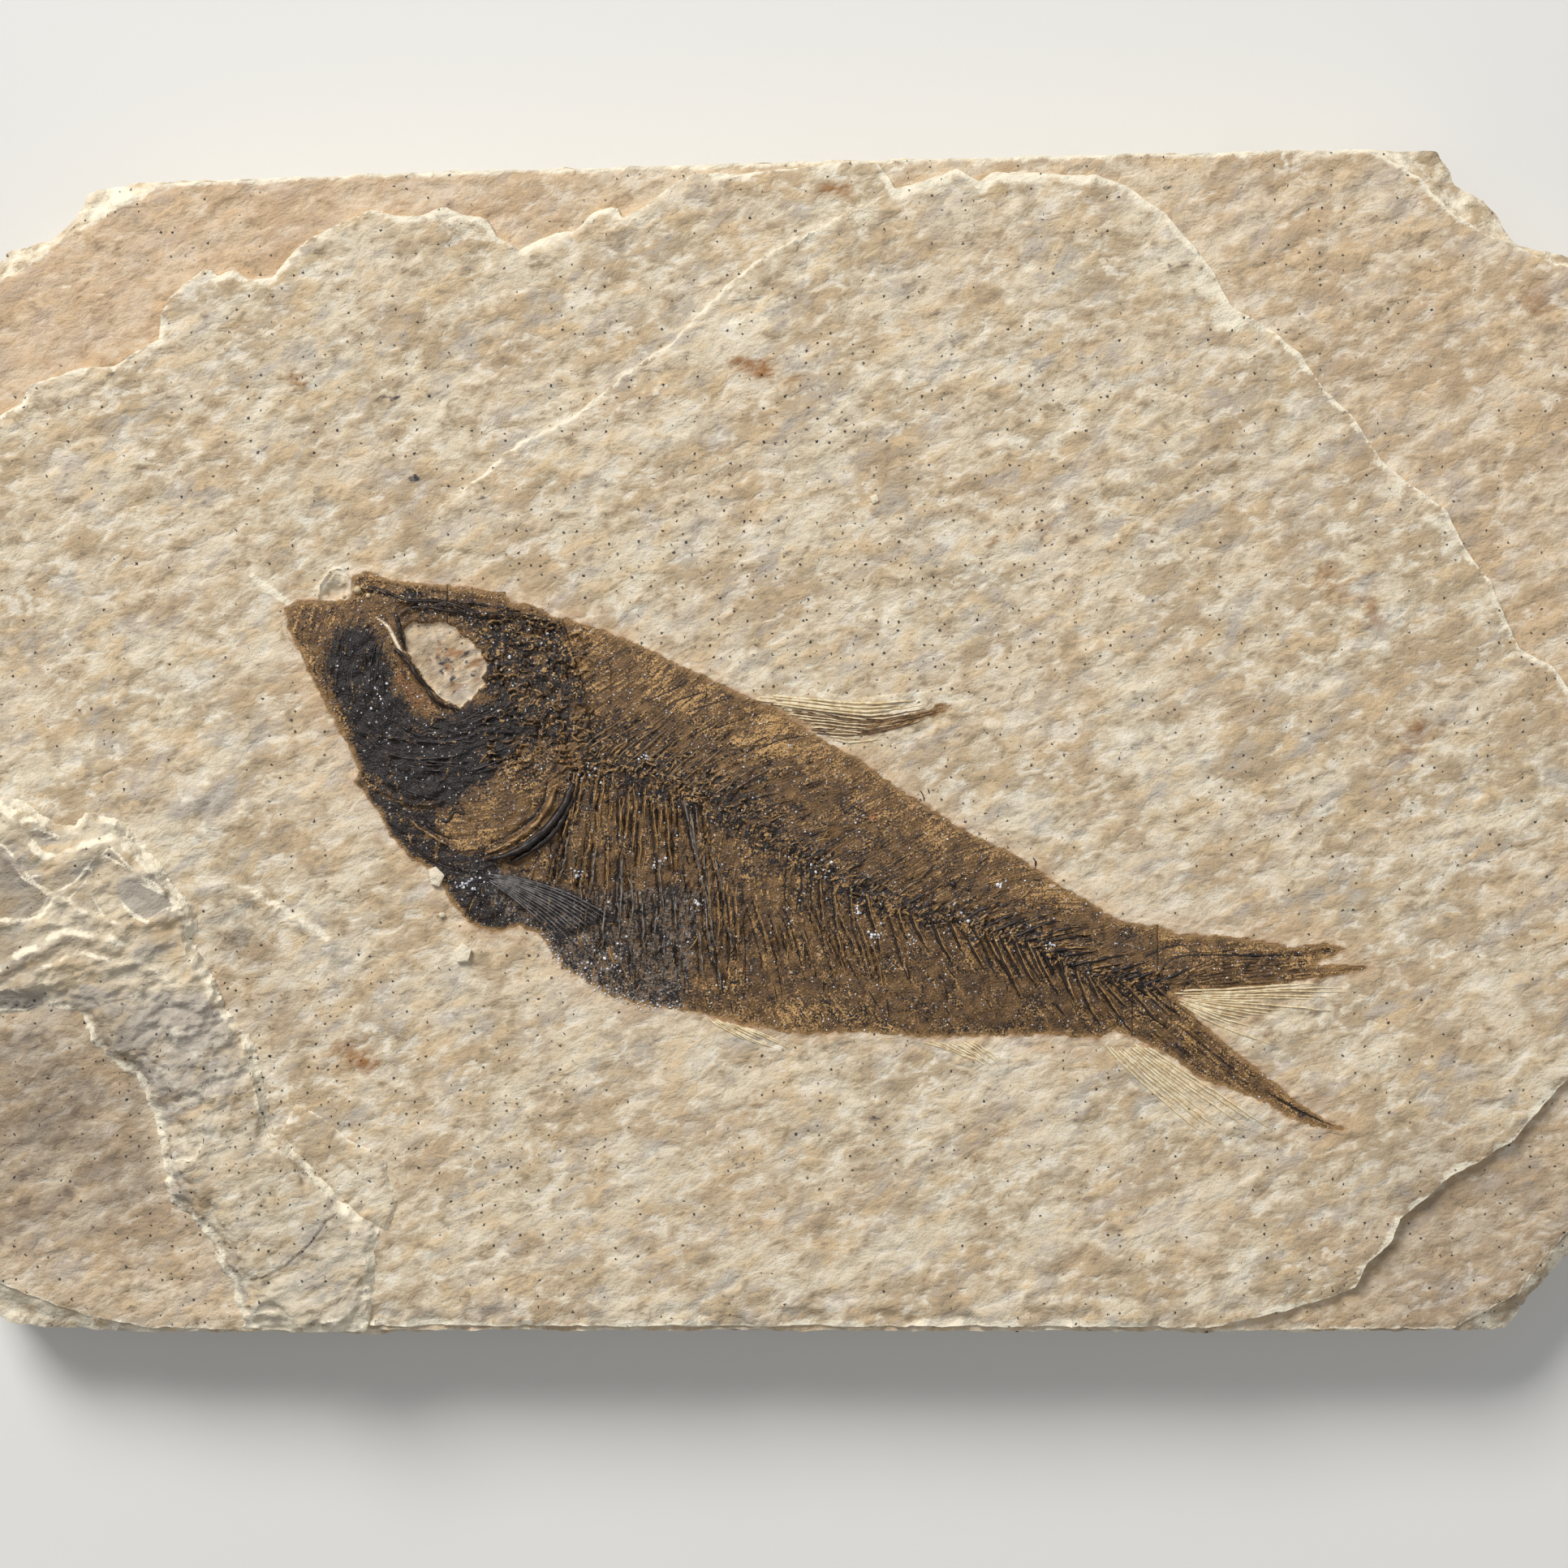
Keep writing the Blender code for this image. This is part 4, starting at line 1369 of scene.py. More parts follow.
def net_mesh(
    net: Net, x: Field, y: Field, z: Field, cells: Field, masks: dict[str, Field]
) -> bmesh.types.BMesh:
    """Turn a net into a mesh.

    Args:
        net: The net.
        x: Points' x, in millimetres.
        y: Points' y.
        z: Points' height.
        cells: Mask of the cells that become faces.
        masks: Values that the points carry, by name.

    Returns:
        The open mesh, in metres.
    """
    rows, columns = net.x.shape
    mesh = bmesh.new()
    bmesh.ops.create_grid(mesh, x_segments=columns - 1, y_segments=rows - 1, size=1.0)
    data = bpy.data.meshes.new("net")
    mesh.to_mesh(data)
    spots = np.empty(3 * len(data.vertices), np.float32)
    data.vertices.foreach_get("co", spots)
    spots = spots.reshape(-1, 3)
    row = np.rint((spots[:, 1] + 1) / 2 * (rows - 1)).astype(int)
    column = np.rint((spots[:, 0] + 1) / 2 * (columns - 1)).astype(int)
    place = np.stack((x, y, z), axis=-1)[row, column] * MM
    data.vertices.foreach_set("co", place.astype(np.float32).ravel())
    for name in MASKS:
        layer = data.attributes.new(name, "FLOAT", "POINT")
        if name in masks:
            layer.data.foreach_set("value", masks[name][row, column].astype(np.float32))
    corners = np.empty(len(data.loops), np.int32)
    data.loops.foreach_get("vertex_index", corners)
    corners = corners.reshape(-1, 4)
    kept = cells[row[corners].min(axis=1), column[corners].min(axis=1)]
    mesh.clear()
    mesh.from_mesh(data)
    bpy.data.meshes.remove(data)
    mesh.faces.ensure_lookup_table()
    doomed = [mesh.faces[i] for i in np.flatnonzero(~kept)]
    bmesh.ops.delete(mesh, geom=doomed, context="FACES")
    return mesh


def dropped(mesh: bmesh.types.BMesh, edges: list, level: float) -> list[bmesh.types.BMEdge]:
    """Extrude edges straight down to a level.

    Args:
        mesh: The mesh, which grows.
        edges: The edges above.
        level: Height of the new edges, in millimetres.

    Returns:
        The new edges below.
    """
    grown = bmesh.ops.extrude_edge_only(mesh, edges=edges)["geom"]
    for item in grown:
        if isinstance(item, bmesh.types.BMVert):
            item.co.z = level * MM
    return [item for item in grown if isinstance(item, bmesh.types.BMEdge) and item.is_boundary]


def close_holes(mesh: bmesh.types.BMesh, net: Net, covered: Field, level: float) -> None:
    """Wall in the holes left where another bed covers the top, and floor them.

    Args:
        mesh: The open top.
        net: The net that it was made of.
        covered: Mask of the covered points.
        level: Height of the floor, in millimetres.
    """
    near_cover = covered.copy()
    near_cover[1:] |= covered[:-1]
    near_cover[:-1] |= covered[1:]
    edges = []
    for edge in (edge for edge in mesh.edges if edge.is_boundary):
        middle = (edge.verts[0].co + edge.verts[1].co) / 2 / MM
        if net.read(near_cover, np.array([middle.xy]))[0]:
            edges.append(edge)
    bmesh.ops.holes_fill(mesh, edges=dropped(mesh, edges, level), sides=0)


def as_object(name: str, mesh: bmesh.types.BMesh, angle: float = 38.0) -> bpy.types.Object:
    """Make an object of a mesh, shaded smooth up to an angle.

    Args:
        name: The piece's name.
        mesh: The mesh, which is freed.
        angle: Sharpest angle that is shaded smooth, in degrees.

    Returns:
        The object.
    """
    data = bpy.data.meshes.new(name)
    mesh.to_mesh(data)
    mesh.free()
    data.shade_smooth()
    data.set_sharp_from_angle(angle=math.radians(angle))
    piece = bpy.data.objects.new(name, data)
    bpy.context.scene.collection.objects.link(piece)
    return piece


# Spots of painted shade: in the troughs and under the overhangs of the lower left, and faint ones on the open
# face.
PAINTED_SHADE_SPOTS = [  # square, radii, lean, strength
    ((292, 1150), (2.2, 3.2), 20, 0.32), ((345, 1235), (4.2, 1.5), -48, 0.20),
    ((60, 1395), (5.0, 2.0), 12, 0.14), ((205, 1345), (1.1, 4.0), 35, 0.22),
    ((232, 1500), (1.3, 3.6), 30, 0.26), ((195, 1098), (2.2, 1.3), -20, 0.14),
    ((28, 1236), (1.8, 0.7), 5, 0.30), ((120, 1250), (3.0, 0.8), -12, 0.22),
    ((22, 1072), (1.6, 1.4), 0, 0.18), ((262, 988), (2.4, 0.9), 25, 0.10),
    ((420, 1512), (0.5, 2.2), 25, 0.20), ((1560, 560), (5.0, 2.0), 25, 0.08),
    ((1640, 470), (6.0, 3.0), -30, 0.07), ((1120, 330), (5.0, 2.2), 25, 0.08),
    ((310, 745), (2.5, 1.2), 10, 0.06), ((1010, 530), (5.0, 1.6), 25, 0.06),
]


def stone_tones(net: Net) -> dict[str, Field]:
    """Give the masks of the stone's own mottling and specks, and of its painted shade, which run on from bed
    to bed.

    Args:
        net: The net of points.

    Returns:
        The masks, by name.
    """
    x, y = net.x, net.y
    u, v = to_sheet(x, y)
    crowd = 0.05 + 0.20 * smooth(0.5 + 1.4 * net.hills(41, 12))
    crowd += 0.60 * bell(u, v, (1040, 760), (360, 210)) + 0.35 * bell(u, v, (380, 1380), (300, 180))
    crowd = crowd * (0.5 + 1.2 * smooth(0.5 + 1.6 * net.grain(46, 3.0, 2)))
    # Painted shade over the lower left, which slopes away from the light, and over the lower-right corner
    # below its ledge.
    painted_shade_patch = smooth((1590 - v) / 110) * smooth((v - 1235) / 60) * smooth((205 + 0.12 * (v - 1400) - u) / 45)
    corner = smooth((v - 1330) / 150) * smooth((u - 1640) / 110)
    painted_shade = (0.42 + 0.30 * Grain(45).streaks(x, y, 6.0, 1.8, 30, 3)) * painted_shade_patch + 0.24 * corner
    painted_shade = painted_shade + net.spots(PAINTED_SHADE_SPOTS)
    return {
        "tan": 0.50 + 0.16 * smooth((u - 1380) / 300) + 0.55 * Grain(42).streaks(x, y, 7.0, 4.0, 28, 4),
        "grey": 0.28 + 0.60 * Grain(43).streaks(x, y, 5.0, 2.6, 35, 4),
        "honey": 0.38 + 0.60 * Grain(44).streaks(x, y, 4.2, 2.4, 15, 3),
        "specks": np.clip(crowd, 0, 0.85),
        "painted_shade": np.clip(painted_shade, 0, 0.6),
    }


class FishBed(Bed):
    """The bed whose face holds the fish."""

    COVERS = [(FISH_WINDOW_EDGE, 0.1), (FLAKE_EDGE, 1.6)]
    KEPT_RIM = 0.9
    LEDGE_DROP = 0.20
    FLAKE_DROP = 0.09
    CRAG_RISE = 0.20
    ROUGH_RISE = 0.34
    SWELL_RISE = 0.35
    CHIP_DEPTH = 0.42
    STAINS = [  # square, radii, lean, strength
        ((930, 452), (1.3, 2.2), 70, 0.75), ((985, 470), (1.2, 1.0), 0, 0.35),
        ((1030, 232), (0.9, 2.2), 80, 0.6), ((1220, 664), (3.4, 1.0), 12, 0.40),
        ((1290, 640), (2.4, 1.2), -35, 0.4), ((1420, 655), (1.3, 1.6), 0, 0.38),
        ((1645, 712), (3.0, 1.4), 8, 0.5), ((1690, 752), (2.6, 1.5), -10, 0.55),
        ((1745, 905), (1.8, 1.6), 20, 0.55), ((1735, 940), (1.0, 1.2), 0, 0.4),
        ((425, 1298), (2.6, 1.2), -25, 0.6), ((460, 1320), (1.3, 1.0), -30, 0.4),
        ((368, 470), (0.8, 1.6), 80, 0.6), ((1560, 560), (3.0, 1.6), 25, 0.25),
        ((1060, 625), (3.0, 1.5), 30, 0.25), ((300, 770), (3.0, 1.6), 10, 0.2),
        ((1320, 470), (4.0, 1.8), 30, 0.22), ((700, 610), (4.0, 2.0), 20, 0.2),
    ]
    PALE = [
        ((1062, 264), (2.0, 1.2), 20, 0.75), ((934, 397), (1.6, 1.2), 30, 0.7),
        ((1266, 328), (0.8, 0.7), 0, 0.8), ((1300, 545), (0.8, 1.7), -20, 0.6),
        ((1482, 342), (0.8, 1.6), -35, 0.8), ((1520, 380), (1.9, 0.9), 20, 0.9),
        ((1530, 440), (1.1, 0.8), 0, 0.6), ((1306, 622), (0.8, 0.7), 0, 0.7),
        ((1722, 604), (0.8, 1.2), -30, 0.8), ((1774, 646), (1.6, 0.7), -35, 0.7),
        ((320, 410), (1.3, 1.2), 0, 0.45), ((620, 292), (2.6, 0.9), -18, 0.6),
        ((770, 262), (1.6, 0.8), 10, 0.6), ((545, 262), (1.6, 0.8), -20, 0.5),
        ((905, 700), (2.2, 1.5), 15, 0.4), ((1010, 392), (1.4, 0.8), 0, 0.4),
        ((1840, 960), (1.2, 1.2), 0, 0.4), ((1150, 760), (1.5, 1.1), 0, 0.35),
    ]
    SOOT = [
        ((512, 590), (0.35, 0.8), 100, 0.9), ((478, 491), (1.0, 0.35), 10, 0.8),
        ((592, 612), (0.7, 0.45), 40, 0.7), ((1440, 322), (0.8, 0.9), 0, 0.6),
        ((1475, 310), (0.7, 0.5), -60, 0.6), ((1512, 400), (0.6, 0.6), 0, 0.35),
        ((365, 466), (0.5, 1.2), 95, 0.5), ((1090, 1382), (1.2, 0.9), 0, 0.35),
        ((905, 1430), (0.8, 1.0), 0, 0.25), ((1330, 1475), (1.2, 0.8), 0, 0.25),
    ]
    GREY = [
        ((262, 985), (3.2, 1.8), 20, 0.6), ((232, 915), (4.0, 2.2), 15, 0.5),
        ((1400, 1500), (4.0, 1.5), 20, 0.3),
    ]
    SHINGLES = [
        Shingle([(-40, 928), (0, 936), (14, 954), (20, 972)], 0.14, 0.3, 1.0),
        Shingle([(4, 972), (20, 977), (42, 990), (70, 1006), (92, 1008)], 0.14, 0.25, 0.6),
        Shingle([(196, 1024), (214, 1000), (244, 985), (262, 958), (300, 964)], 0.12, 0.5, 2.2, 0.5),
        Shingle([(228, 1040), (262, 1018), (296, 1006), (320, 1012)], 0.14, 0.5, 1.4, 0.5),
        Shingle([(250, 1100), (276, 1088), (300, 1094), (330, 1112), (372, 1136), (420, 1168)],
                0.20, 0.45, 1.2, 0.9),
        Shingle([(300, 1100), (340, 1126), (384, 1148), (432, 1190)], 0.10, 0.3, 0.8, 0.7),
        Shingle([(520, 256), (556, 258), (586, 274), (612, 290), (640, 303), (662, 296)], 0.10, 0.5, 0.8),
        Shingle([(686, 286), (716, 274), (738, 262), (764, 268), (790, 256)], 0.10, 0.5, 0.8),
        Shingle([(1094, 222), (1130, 214), (1170, 212), (1204, 226)], 0.08, 0.4, 0.8, 0.8),
        Shingle([(1500, 360), (1520, 384), (1556, 402)], 0.06, 0.5, 0.7, 0.8),
        Shingle([(1740, 606), (1782, 632), (1792, 652)], 0.06, 0.4, 0.7, 0.7),
        Shingle([(868, 388), (884, 392), (905, 400), (922, 400), (934, 384), (950, 376)],
                0.05, 0.16, 0.5, 0.8),
        Shingle([(772, 470), (795, 484), (815, 485), (823, 470), (827, 458)], 0.05, 0.14, 0.4, 0.7),
        Shingle([(518, 252), (552, 272), (590, 294), (622, 302)], 0.05, 0.14, 0.5, 0.7),
        Shingle([(732, 262), (752, 284), (780, 278), (796, 254)], 0.05, 0.14, 0.5, 0.7),
    ]
    SCORES = [  # line, half width, depth, paleness
        ([(306, 706), (330, 725), (358, 745)], 0.44, -0.10, 1.6),
        ([(345, 700), (340, 740), (328, 790)], 0.20, 0.04, 0.0),
        ([(330, 800), (290, 830), (235, 866)], 0.22, 0.05, 0.0),
        ([(250, 1010), (268, 1003), (285, 985), (310, 984), (314, 1000)], 0.24, 0.14, 0.0),
        ([(214, 1020), (222, 1005), (236, 996)], 0.22, 0.10, 0.0),
        ([(262, 1120), (290, 1108), (318, 1130), (306, 1160), (300, 1196), (285, 1212)], 0.3, 0.16, 0.0),
        ([(325, 1165), (352, 1196), (392, 1245), (450, 1308)], 0.9, 0.16, 0.0),
        ([(1265, 1056), (1272, 1066), (1280, 1060)], 0.2, 0.06, 0.0),
        ([(1470, 300), (1500, 345), (1520, 378)], 0.3, -0.05, 0.5),
    ]

    def crisp_steps(self) -> list[np.ndarray]:
        """Give the diagonal ledge and its flakes."""
        line = broken_edge(DIAGONAL_EDGE, 0.55, 51)
        return [line] + [broken_edge(flake, 0.1, 52) for flake in DIAGONAL_FLAKES]

    def surface(self, net: Net, x: Field, y: Field, depth: Field) -> Field:
        """Give the face's height, with the diagonal ledge, scores and a worn rim."""
        u, v = to_sheet(x, y)
        z = FACE_HEIGHT + self.face.height(x, y)
        line, *flakes = self.crisp_steps()
        strength = smooth((u - 470) / 190)
        z = z - self.LEDGE_DROP * strength * net.inside(line)
        for flake in flakes:
            z = z - self.FLAKE_DROP * net.inside(flake)
        for squares, half_width, deep, _ in self.SCORES:
            z = z - deep * net.drawn(squares, 14, half_width)
        crag = bell(u, v, (262, 990), (60, 45)) * (0.4 + Grain(61).layered(x, y, 1.6, 3))
        rough = net.spot((288, 1140), (2.6, 3.4), 20) * Grain(66).layered(x, y, 1.7, 4)
        z = z + self.CRAG_RISE * crag + self.ROUGH_RISE * rough
        z = z + self.SWELL_RISE * bell(u, v, (150, 965), (130, 60))
        worn = smooth(1 - depth / 0.6) * (0.14 + 0.16 * Grain(62).layered(x, y, 1.1, 2))
        chipped = smooth((v - 1560) / 60) * smooth(1.4 - depth / 1.3)
        chips = smooth(2.2 * Grain(65).layered(x, y, 3.2, 3) + 0.2)
        return z - worn - self.CHIP_DEPTH * chipped * chips

    def masks(self, net: Net, depth: Field) -> dict[str, Field]:
        """Give the masks, with stains, soot and the pale diagonal ledge."""
        masks = super().masks(net, depth)
        u, v = to_sheet(net.x, net.y)
        line = net.near(self.crisp_steps()[0], 1.2).depth
        wide = 0.23 + 0.30 * net.grain(63, 1.3)
        along = smooth((u - 440) / 160) * smooth((1060 - u) / 30)
        along = along * (0.8 + 0.2 * smooth(0.5 + 1.5 * net.grain(67, 2.2)))
        freshen(masks, along * smooth(1.2 - np.abs(line + 0.1) / np.maximum(wide, 0.12)))
        for number, (flake, pale) in enumerate(PALE_FLAKES):
            uneven = 0.8 + 0.5 * net.grain(63, 1.2)
            freshen(masks, pale * uneven * net.zone(flake, 0.5, 0.3, 120 + number))
        # The rim is pale fresh stone; along the top edge it is widened to stand for a painted highlight where
        # the ledge faces the light.
        top = smooth((u - 1080) / 30) * smooth((1430 - u) / 30) * smooth((300 - v) / 30)
        pale_rim_and_highlight_width = 0.12 + 0.40 * top + 0.55 * smooth(0.45 + 1.6 * net.grain(63, 2.4))
        freshen(masks, 0.95 * smooth(1.3 - depth / pale_rim_and_highlight_width))
        for at, radii, lean, strength in self.PALE:
            freshen(masks, strength * net.spot(at, radii, lean))
        masks["grey"] = masks["grey"] + net.spots(self.GREY)
        for squares, half_width, _, pale in self.SCORES:
            if pale:
                net.stroke(masks["fresh"], curve_through(squares, 14), half_width, pale)
        masks["rust"], masks["soot_and_painted_shadow"] = net.spots(self.STAINS), net.spots(self.SOOT)
        halo = net.depth(BODY_FILM, 2.4)
        masks["warm"] = 0.5 * smooth(1 + halo / 2.2) + 0.2 * smooth(0.5 + net.hills(63, 8))
        return masks


class UpperBed(Bed):
    """The bed under the fish's, which shows at the corners and along the top."""

    COVERS = [(FISH_BED_EDGE, 1.2), (FLAKE_EDGE, 1.6)]
    KEPT_RIM = 1.0
    SHINGLES = [
        Shingle([(1084, 197), (1094, 206), (1106, 211), (1121, 203), (1135, 194), (1176, 195), (1210, 203),
                 (1230, 195), (1254, 197), (1276, 206)], 0.09, 0.35, 0.7),
        Shingle([(1317, 206), (1329, 199), (1351, 195), (1368, 204), (1380, 216)], 0.09, 0.35, 0.7),
        Shingle([(1508, 182), (1530, 196), (1548, 186), (1572, 184), (1590, 206), (1616, 190),
                 (1700, 186)], 0.10, 0.45, 0.8),
        Shingle([(110, 236), (140, 250), (176, 244), (214, 262), (250, 256)], 0.07, 0.3, 0.8, 0.5),
        Shingle([(1745, 196), (1778, 222), (1804, 254), (1836, 280)], 0.10, 0.5, 1.0, 0.6),
        Shingle([(20, 378), (70, 352), (110, 366), (150, 346)], 0.07, 0.3, 0.9, 0.5),
    ]

    def surface(self, net: Net, x: Field, y: Field, depth: Field) -> Field:
        """Give the top's height."""
        worn = smooth(1 - depth / 0.7) * (0.10 + 0.12 * Grain(64).layered(x, y, 1.6, 3))
        return lower_level(x, y) + 1.15 * self.face.height(x, y) - worn

    def masks(self, net: Net, depth: Field) -> dict[str, Field]:
        """Give the masks: warmer stone, a pale top edge partly painted as a highlight, and stains at the far
        right.
        """
        masks = super().masks(net, depth)
        u, v = to_sheet(net.x, net.y)
        masks["warm"] = 0.35 + 0.45 * smooth((900 - u) / 500) * smooth((700 - v) / 200)
        # Pale along the top edge: fresh stone, and a painted highlight where the edge faces the light.
        freshen(masks, smooth(1.3 - depth / 0.42) * smooth((300 - v) / 30))
        masks["rust"] = 0.5 * net.spot((1900, 370), (3.0, 1.5), 20)
        masks["soot_and_painted_shadow"] = 0.9 * net.spot((1440, 229), (0.55, 0.4), 20)
        return masks


class FlakeStack(Bed):
    """The flakes left standing at the lower left, stepped up to a lump."""

    TOP = 9.70
    FAR_RISE = 0.12
    TOP_FLAKE_RISE = 0.14
    LUMP_RISE = 0.34
    CRAG_RISE = 0.09
    RUBBLE_RISE = 0.26
    GREY = [
        ((195, 1098), (2.4, 1.5), -20, 0.7), ((60, 1030), (1.4, 0.6), -20, 0.6),
        ((30, 1075), (2.5, 1.6), 0, 0.5), ((220, 1250), (3.0, 2.5), -40, 0.5),
    ]
    RAISED = [
        Shingle([(-75, 1000), (0, 1003), (37, 1016), (60, 1014), (93, 1008), (116, 1000), (140, 1008),
                 (166, 1022), (195, 1044), (219, 1084), (247, 1116)], 0.26, 0.75, 1.1, 1.0),
        Shingle([(-75, 985), (0, 995), (28, 1023), (47, 1051), (74, 1061), (98, 1051), (135, 1037),
                 (150, 1040), (172, 1063), (200, 1088), (223, 1114), (244, 1123)], 0.40, 0.7, 2.4, 1.0),
        Shingle([(-30, 1015), (0, 1037), (23, 1060), (42, 1086), (65, 1100), (80, 1100)], 0.22, 0.3, 1.4),
        Shingle([(-75, 1140), (0, 1135), (28, 1136), (56, 1130), (77, 1106), (107, 1125), (149, 1139),
                 (168, 1160)], 0.30, 0.4, 1.3, 0.8),
        Shingle([(60, 1102), (88, 1093), (112, 1072), (118, 1092), (124, 1112)], 0.14, 0.2, 0.8, 0.7),
        Shingle([(150, 1114), (177, 1134), (200, 1133), (223, 1121), (244, 1123)], 0.22, 0.35, 1.1),
        Shingle([(-75, 1215), (0, 1200), (28, 1181), (60, 1167), (88, 1153), (135, 1160), (168, 1176)],
                0.30, 0.75, 0.9, 1.0),
        Shingle([(40, 1204), (80, 1184), (112, 1178), (150, 1190)], 0.16, 0.4, 0.7),
        Shingle([(130, 1196), (170, 1186), (204, 1206), (226, 1226)], 0.14, 0.4, 0.9, 0.6),
        Shingle([(198, 1444), (206, 1432), (243, 1427), (253, 1405), (250, 1372)], 0.12, 0.22, 0.9, 0.8),
        Shingle([(176, 1300), (200, 1288), (232, 1302), (262, 1296)], 0.12, 0.3, 1.0, 0.4),
        Shingle([(195, 1352), (226, 1338), (262, 1350), (300, 1336)], 0.12, 0.3, 1.2, 0.4),
        Shingle([(282, 1630), (330, 1618), (392, 1630), (462, 1612)], 0.10, 0.3, 0.8, 0.7),
    ]

    FALLING_SIDE = [
        (-90, 1150), (60, 1190), (150, 1220), (225, 1330), (275, 1450), (370, 1670), (-90, 1670),
    ]
    # Smooth faces between the ledges: the grey ones get a grey tone, the others painted shade.
    PLATES = [  # mask, strength, outline
        ("painted_shade", 0.34, [(-75, 1046), (0, 1044), (19, 1060), (35, 1081), (57, 1095), (66, 1103), (57, 1121),
                        (38, 1130), (0, 1134), (-75, 1136)]),
        ("painted_shade", 0.16, [(38, 1080), (61, 1076), (92, 1058), (122, 1056), (106, 1079), (94, 1089), (73, 1100),
                        (52, 1090)]),
        ("painted_shade", 0.20, [(110, 1084), (120, 1106), (134, 1128), (108, 1120), (88, 1107), (98, 1097)]),
        ("grey", 0.95, [(152, 1082), (168, 1082), (203, 1100), (222, 1116), (206, 1120), (190, 1131),
                        (170, 1130), (153, 1112), (148, 1096)]),
        ("painted_shade", 0.34, [(130, 1052), (140, 1043), (153, 1053), (172, 1074), (191, 1085), (215, 1106),
                        (226, 1113), (214, 1110), (184, 1086), (154, 1066)]),
        ("painted_shade", 0.26, [(37, 1023), (51, 1020), (75, 1029), (75, 1033), (57, 1035), (38, 1028)]),
        ("grey", 0.90, [(-60, 1225), (0, 1222), (19, 1217), (48, 1229), (53, 1237), (32, 1246), (0, 1244),
                        (-60, 1240)]),
        ("grey", 0.90, [(99, 1212), (115, 1209), (128, 1225), (124, 1242), (105, 1236)]),
        ("painted_shade", 0.10, [(-75, 1150), (0, 1148), (60, 1140), (110, 1142), (150, 1152), (110, 1152), (66, 1168),
                        (0, 1190), (-75, 1196)]),
        ("grey", 0.55, [(130, 1222), (250, 1220), (300, 1290), (312, 1346), (200, 1352), (150, 1290)]),
    ]

    def plates(self, net: Net) -> list[tuple[str, Field]]:
        """Give the smooth faces between the ledges, each with the mask that it adds to."""
        return [
            (name, strength * net.zone(squares, 0.22, 0.08, 79)) for name, strength, squares in self.PLATES
        ]

    def crisp_steps(self) -> list[np.ndarray]:
        """Give the thin top flake."""
        return [broken_edge(TOP_FLAKE_EDGE, 0.15, 71)]

    def surface(self, net: Net, x: Field, y: Field, depth: Field) -> Field:
        """Give the height: broad broken slopes up to the flakes' tops."""
        u, v = to_sheet(x, y)
        grain = Grain(72)
        ground = smooth(0.5 + net.depth(self.FALLING_SIDE, 2.0) / 2.0)
        foot = FACE_HEIGHT - 0.12 + ground * (lower_level(x, y) - FACE_HEIGHT - 0.1)
        width = 1.15 + 1.5 * ground + 0.7 * grain.layered(x, y, 4.0, 2)
        strayed = depth + 0.42 * grain.layered(x, y, 1.7, 4) * smooth(depth / 0.3)
        climb = strayed / np.maximum(width, 0.6)
        treads = (np.floor(climb * 3) + smooth((climb * 3) % 1.0 * 2.2)) / 3
        climb = np.clip(0.55 * climb + 0.45 * treads, 0, 1)
        top = self.TOP + self.FAR_RISE * smooth((1350 - v) / 200)
        top = top + self.TOP_FLAKE_RISE * net.inside(self.crisp_steps()[0])
        lump = net.near(broken_edge(LOWER_LUMP_EDGE, 0.3, 73), 1.5).depth
        top = top + self.LUMP_RISE * smooth(0.2 + lump / 0.9)
        for shingle in self.RAISED:
            top = top + shingle.lay(net)[0]
        crags = smooth(1 - depth / 2.4) * grain.streaks(x, y, 1.6, 0.7, 10, 3)
        rough = 1.2 + 0.9 * smooth((1330 - v) / 90)
        rubble = net.zone(RUBBLE, 1.6, 0.8, 76)
        crags = self.CRAG_RISE * crags + self.RUBBLE_RISE * rubble * Grain(75).layered(x, y, 1.5, 4)
        plain = np.maximum.reduce([net.zone(squares, 0.4) for _, _, squares in self.PLATES[:9]])
        rough = rough * (1 - 0.75 * plain)
        return foot + climb * (top - foot) + rough * self.face.height(x, y) + crags * (1 - 0.8 * plain)

    def masks(self, net: Net, depth: Field) -> dict[str, Field]:
        """Give the masks: pale slopes all round, grey faces on the lump, painted shade on other faces, and
        painted shadow under the overhangs.
        """
        masks = super().masks(net, depth)
        uneven = 0.55 + 0.5 * net.grain(74, 1.4)
        ground = smooth(0.5 + net.depth(self.FALLING_SIDE, 2.0) / 2.0)
        slope = smooth(1.25 - depth / 1.3) * (0.22 + 0.85 * uneven)
        plates = self.plates(net)
        for _, plate in plates:
            slope = slope * (1 - np.minimum(2.5 * plate, 0.9))
        for shingle in self.RAISED:
            slope = np.maximum(slope, 0.85 * shingle.lay(net)[1])
        thin = net.near(self.crisp_steps()[0], 1.0).depth
        masks["fresh"] = np.clip(slope, 0, 1)
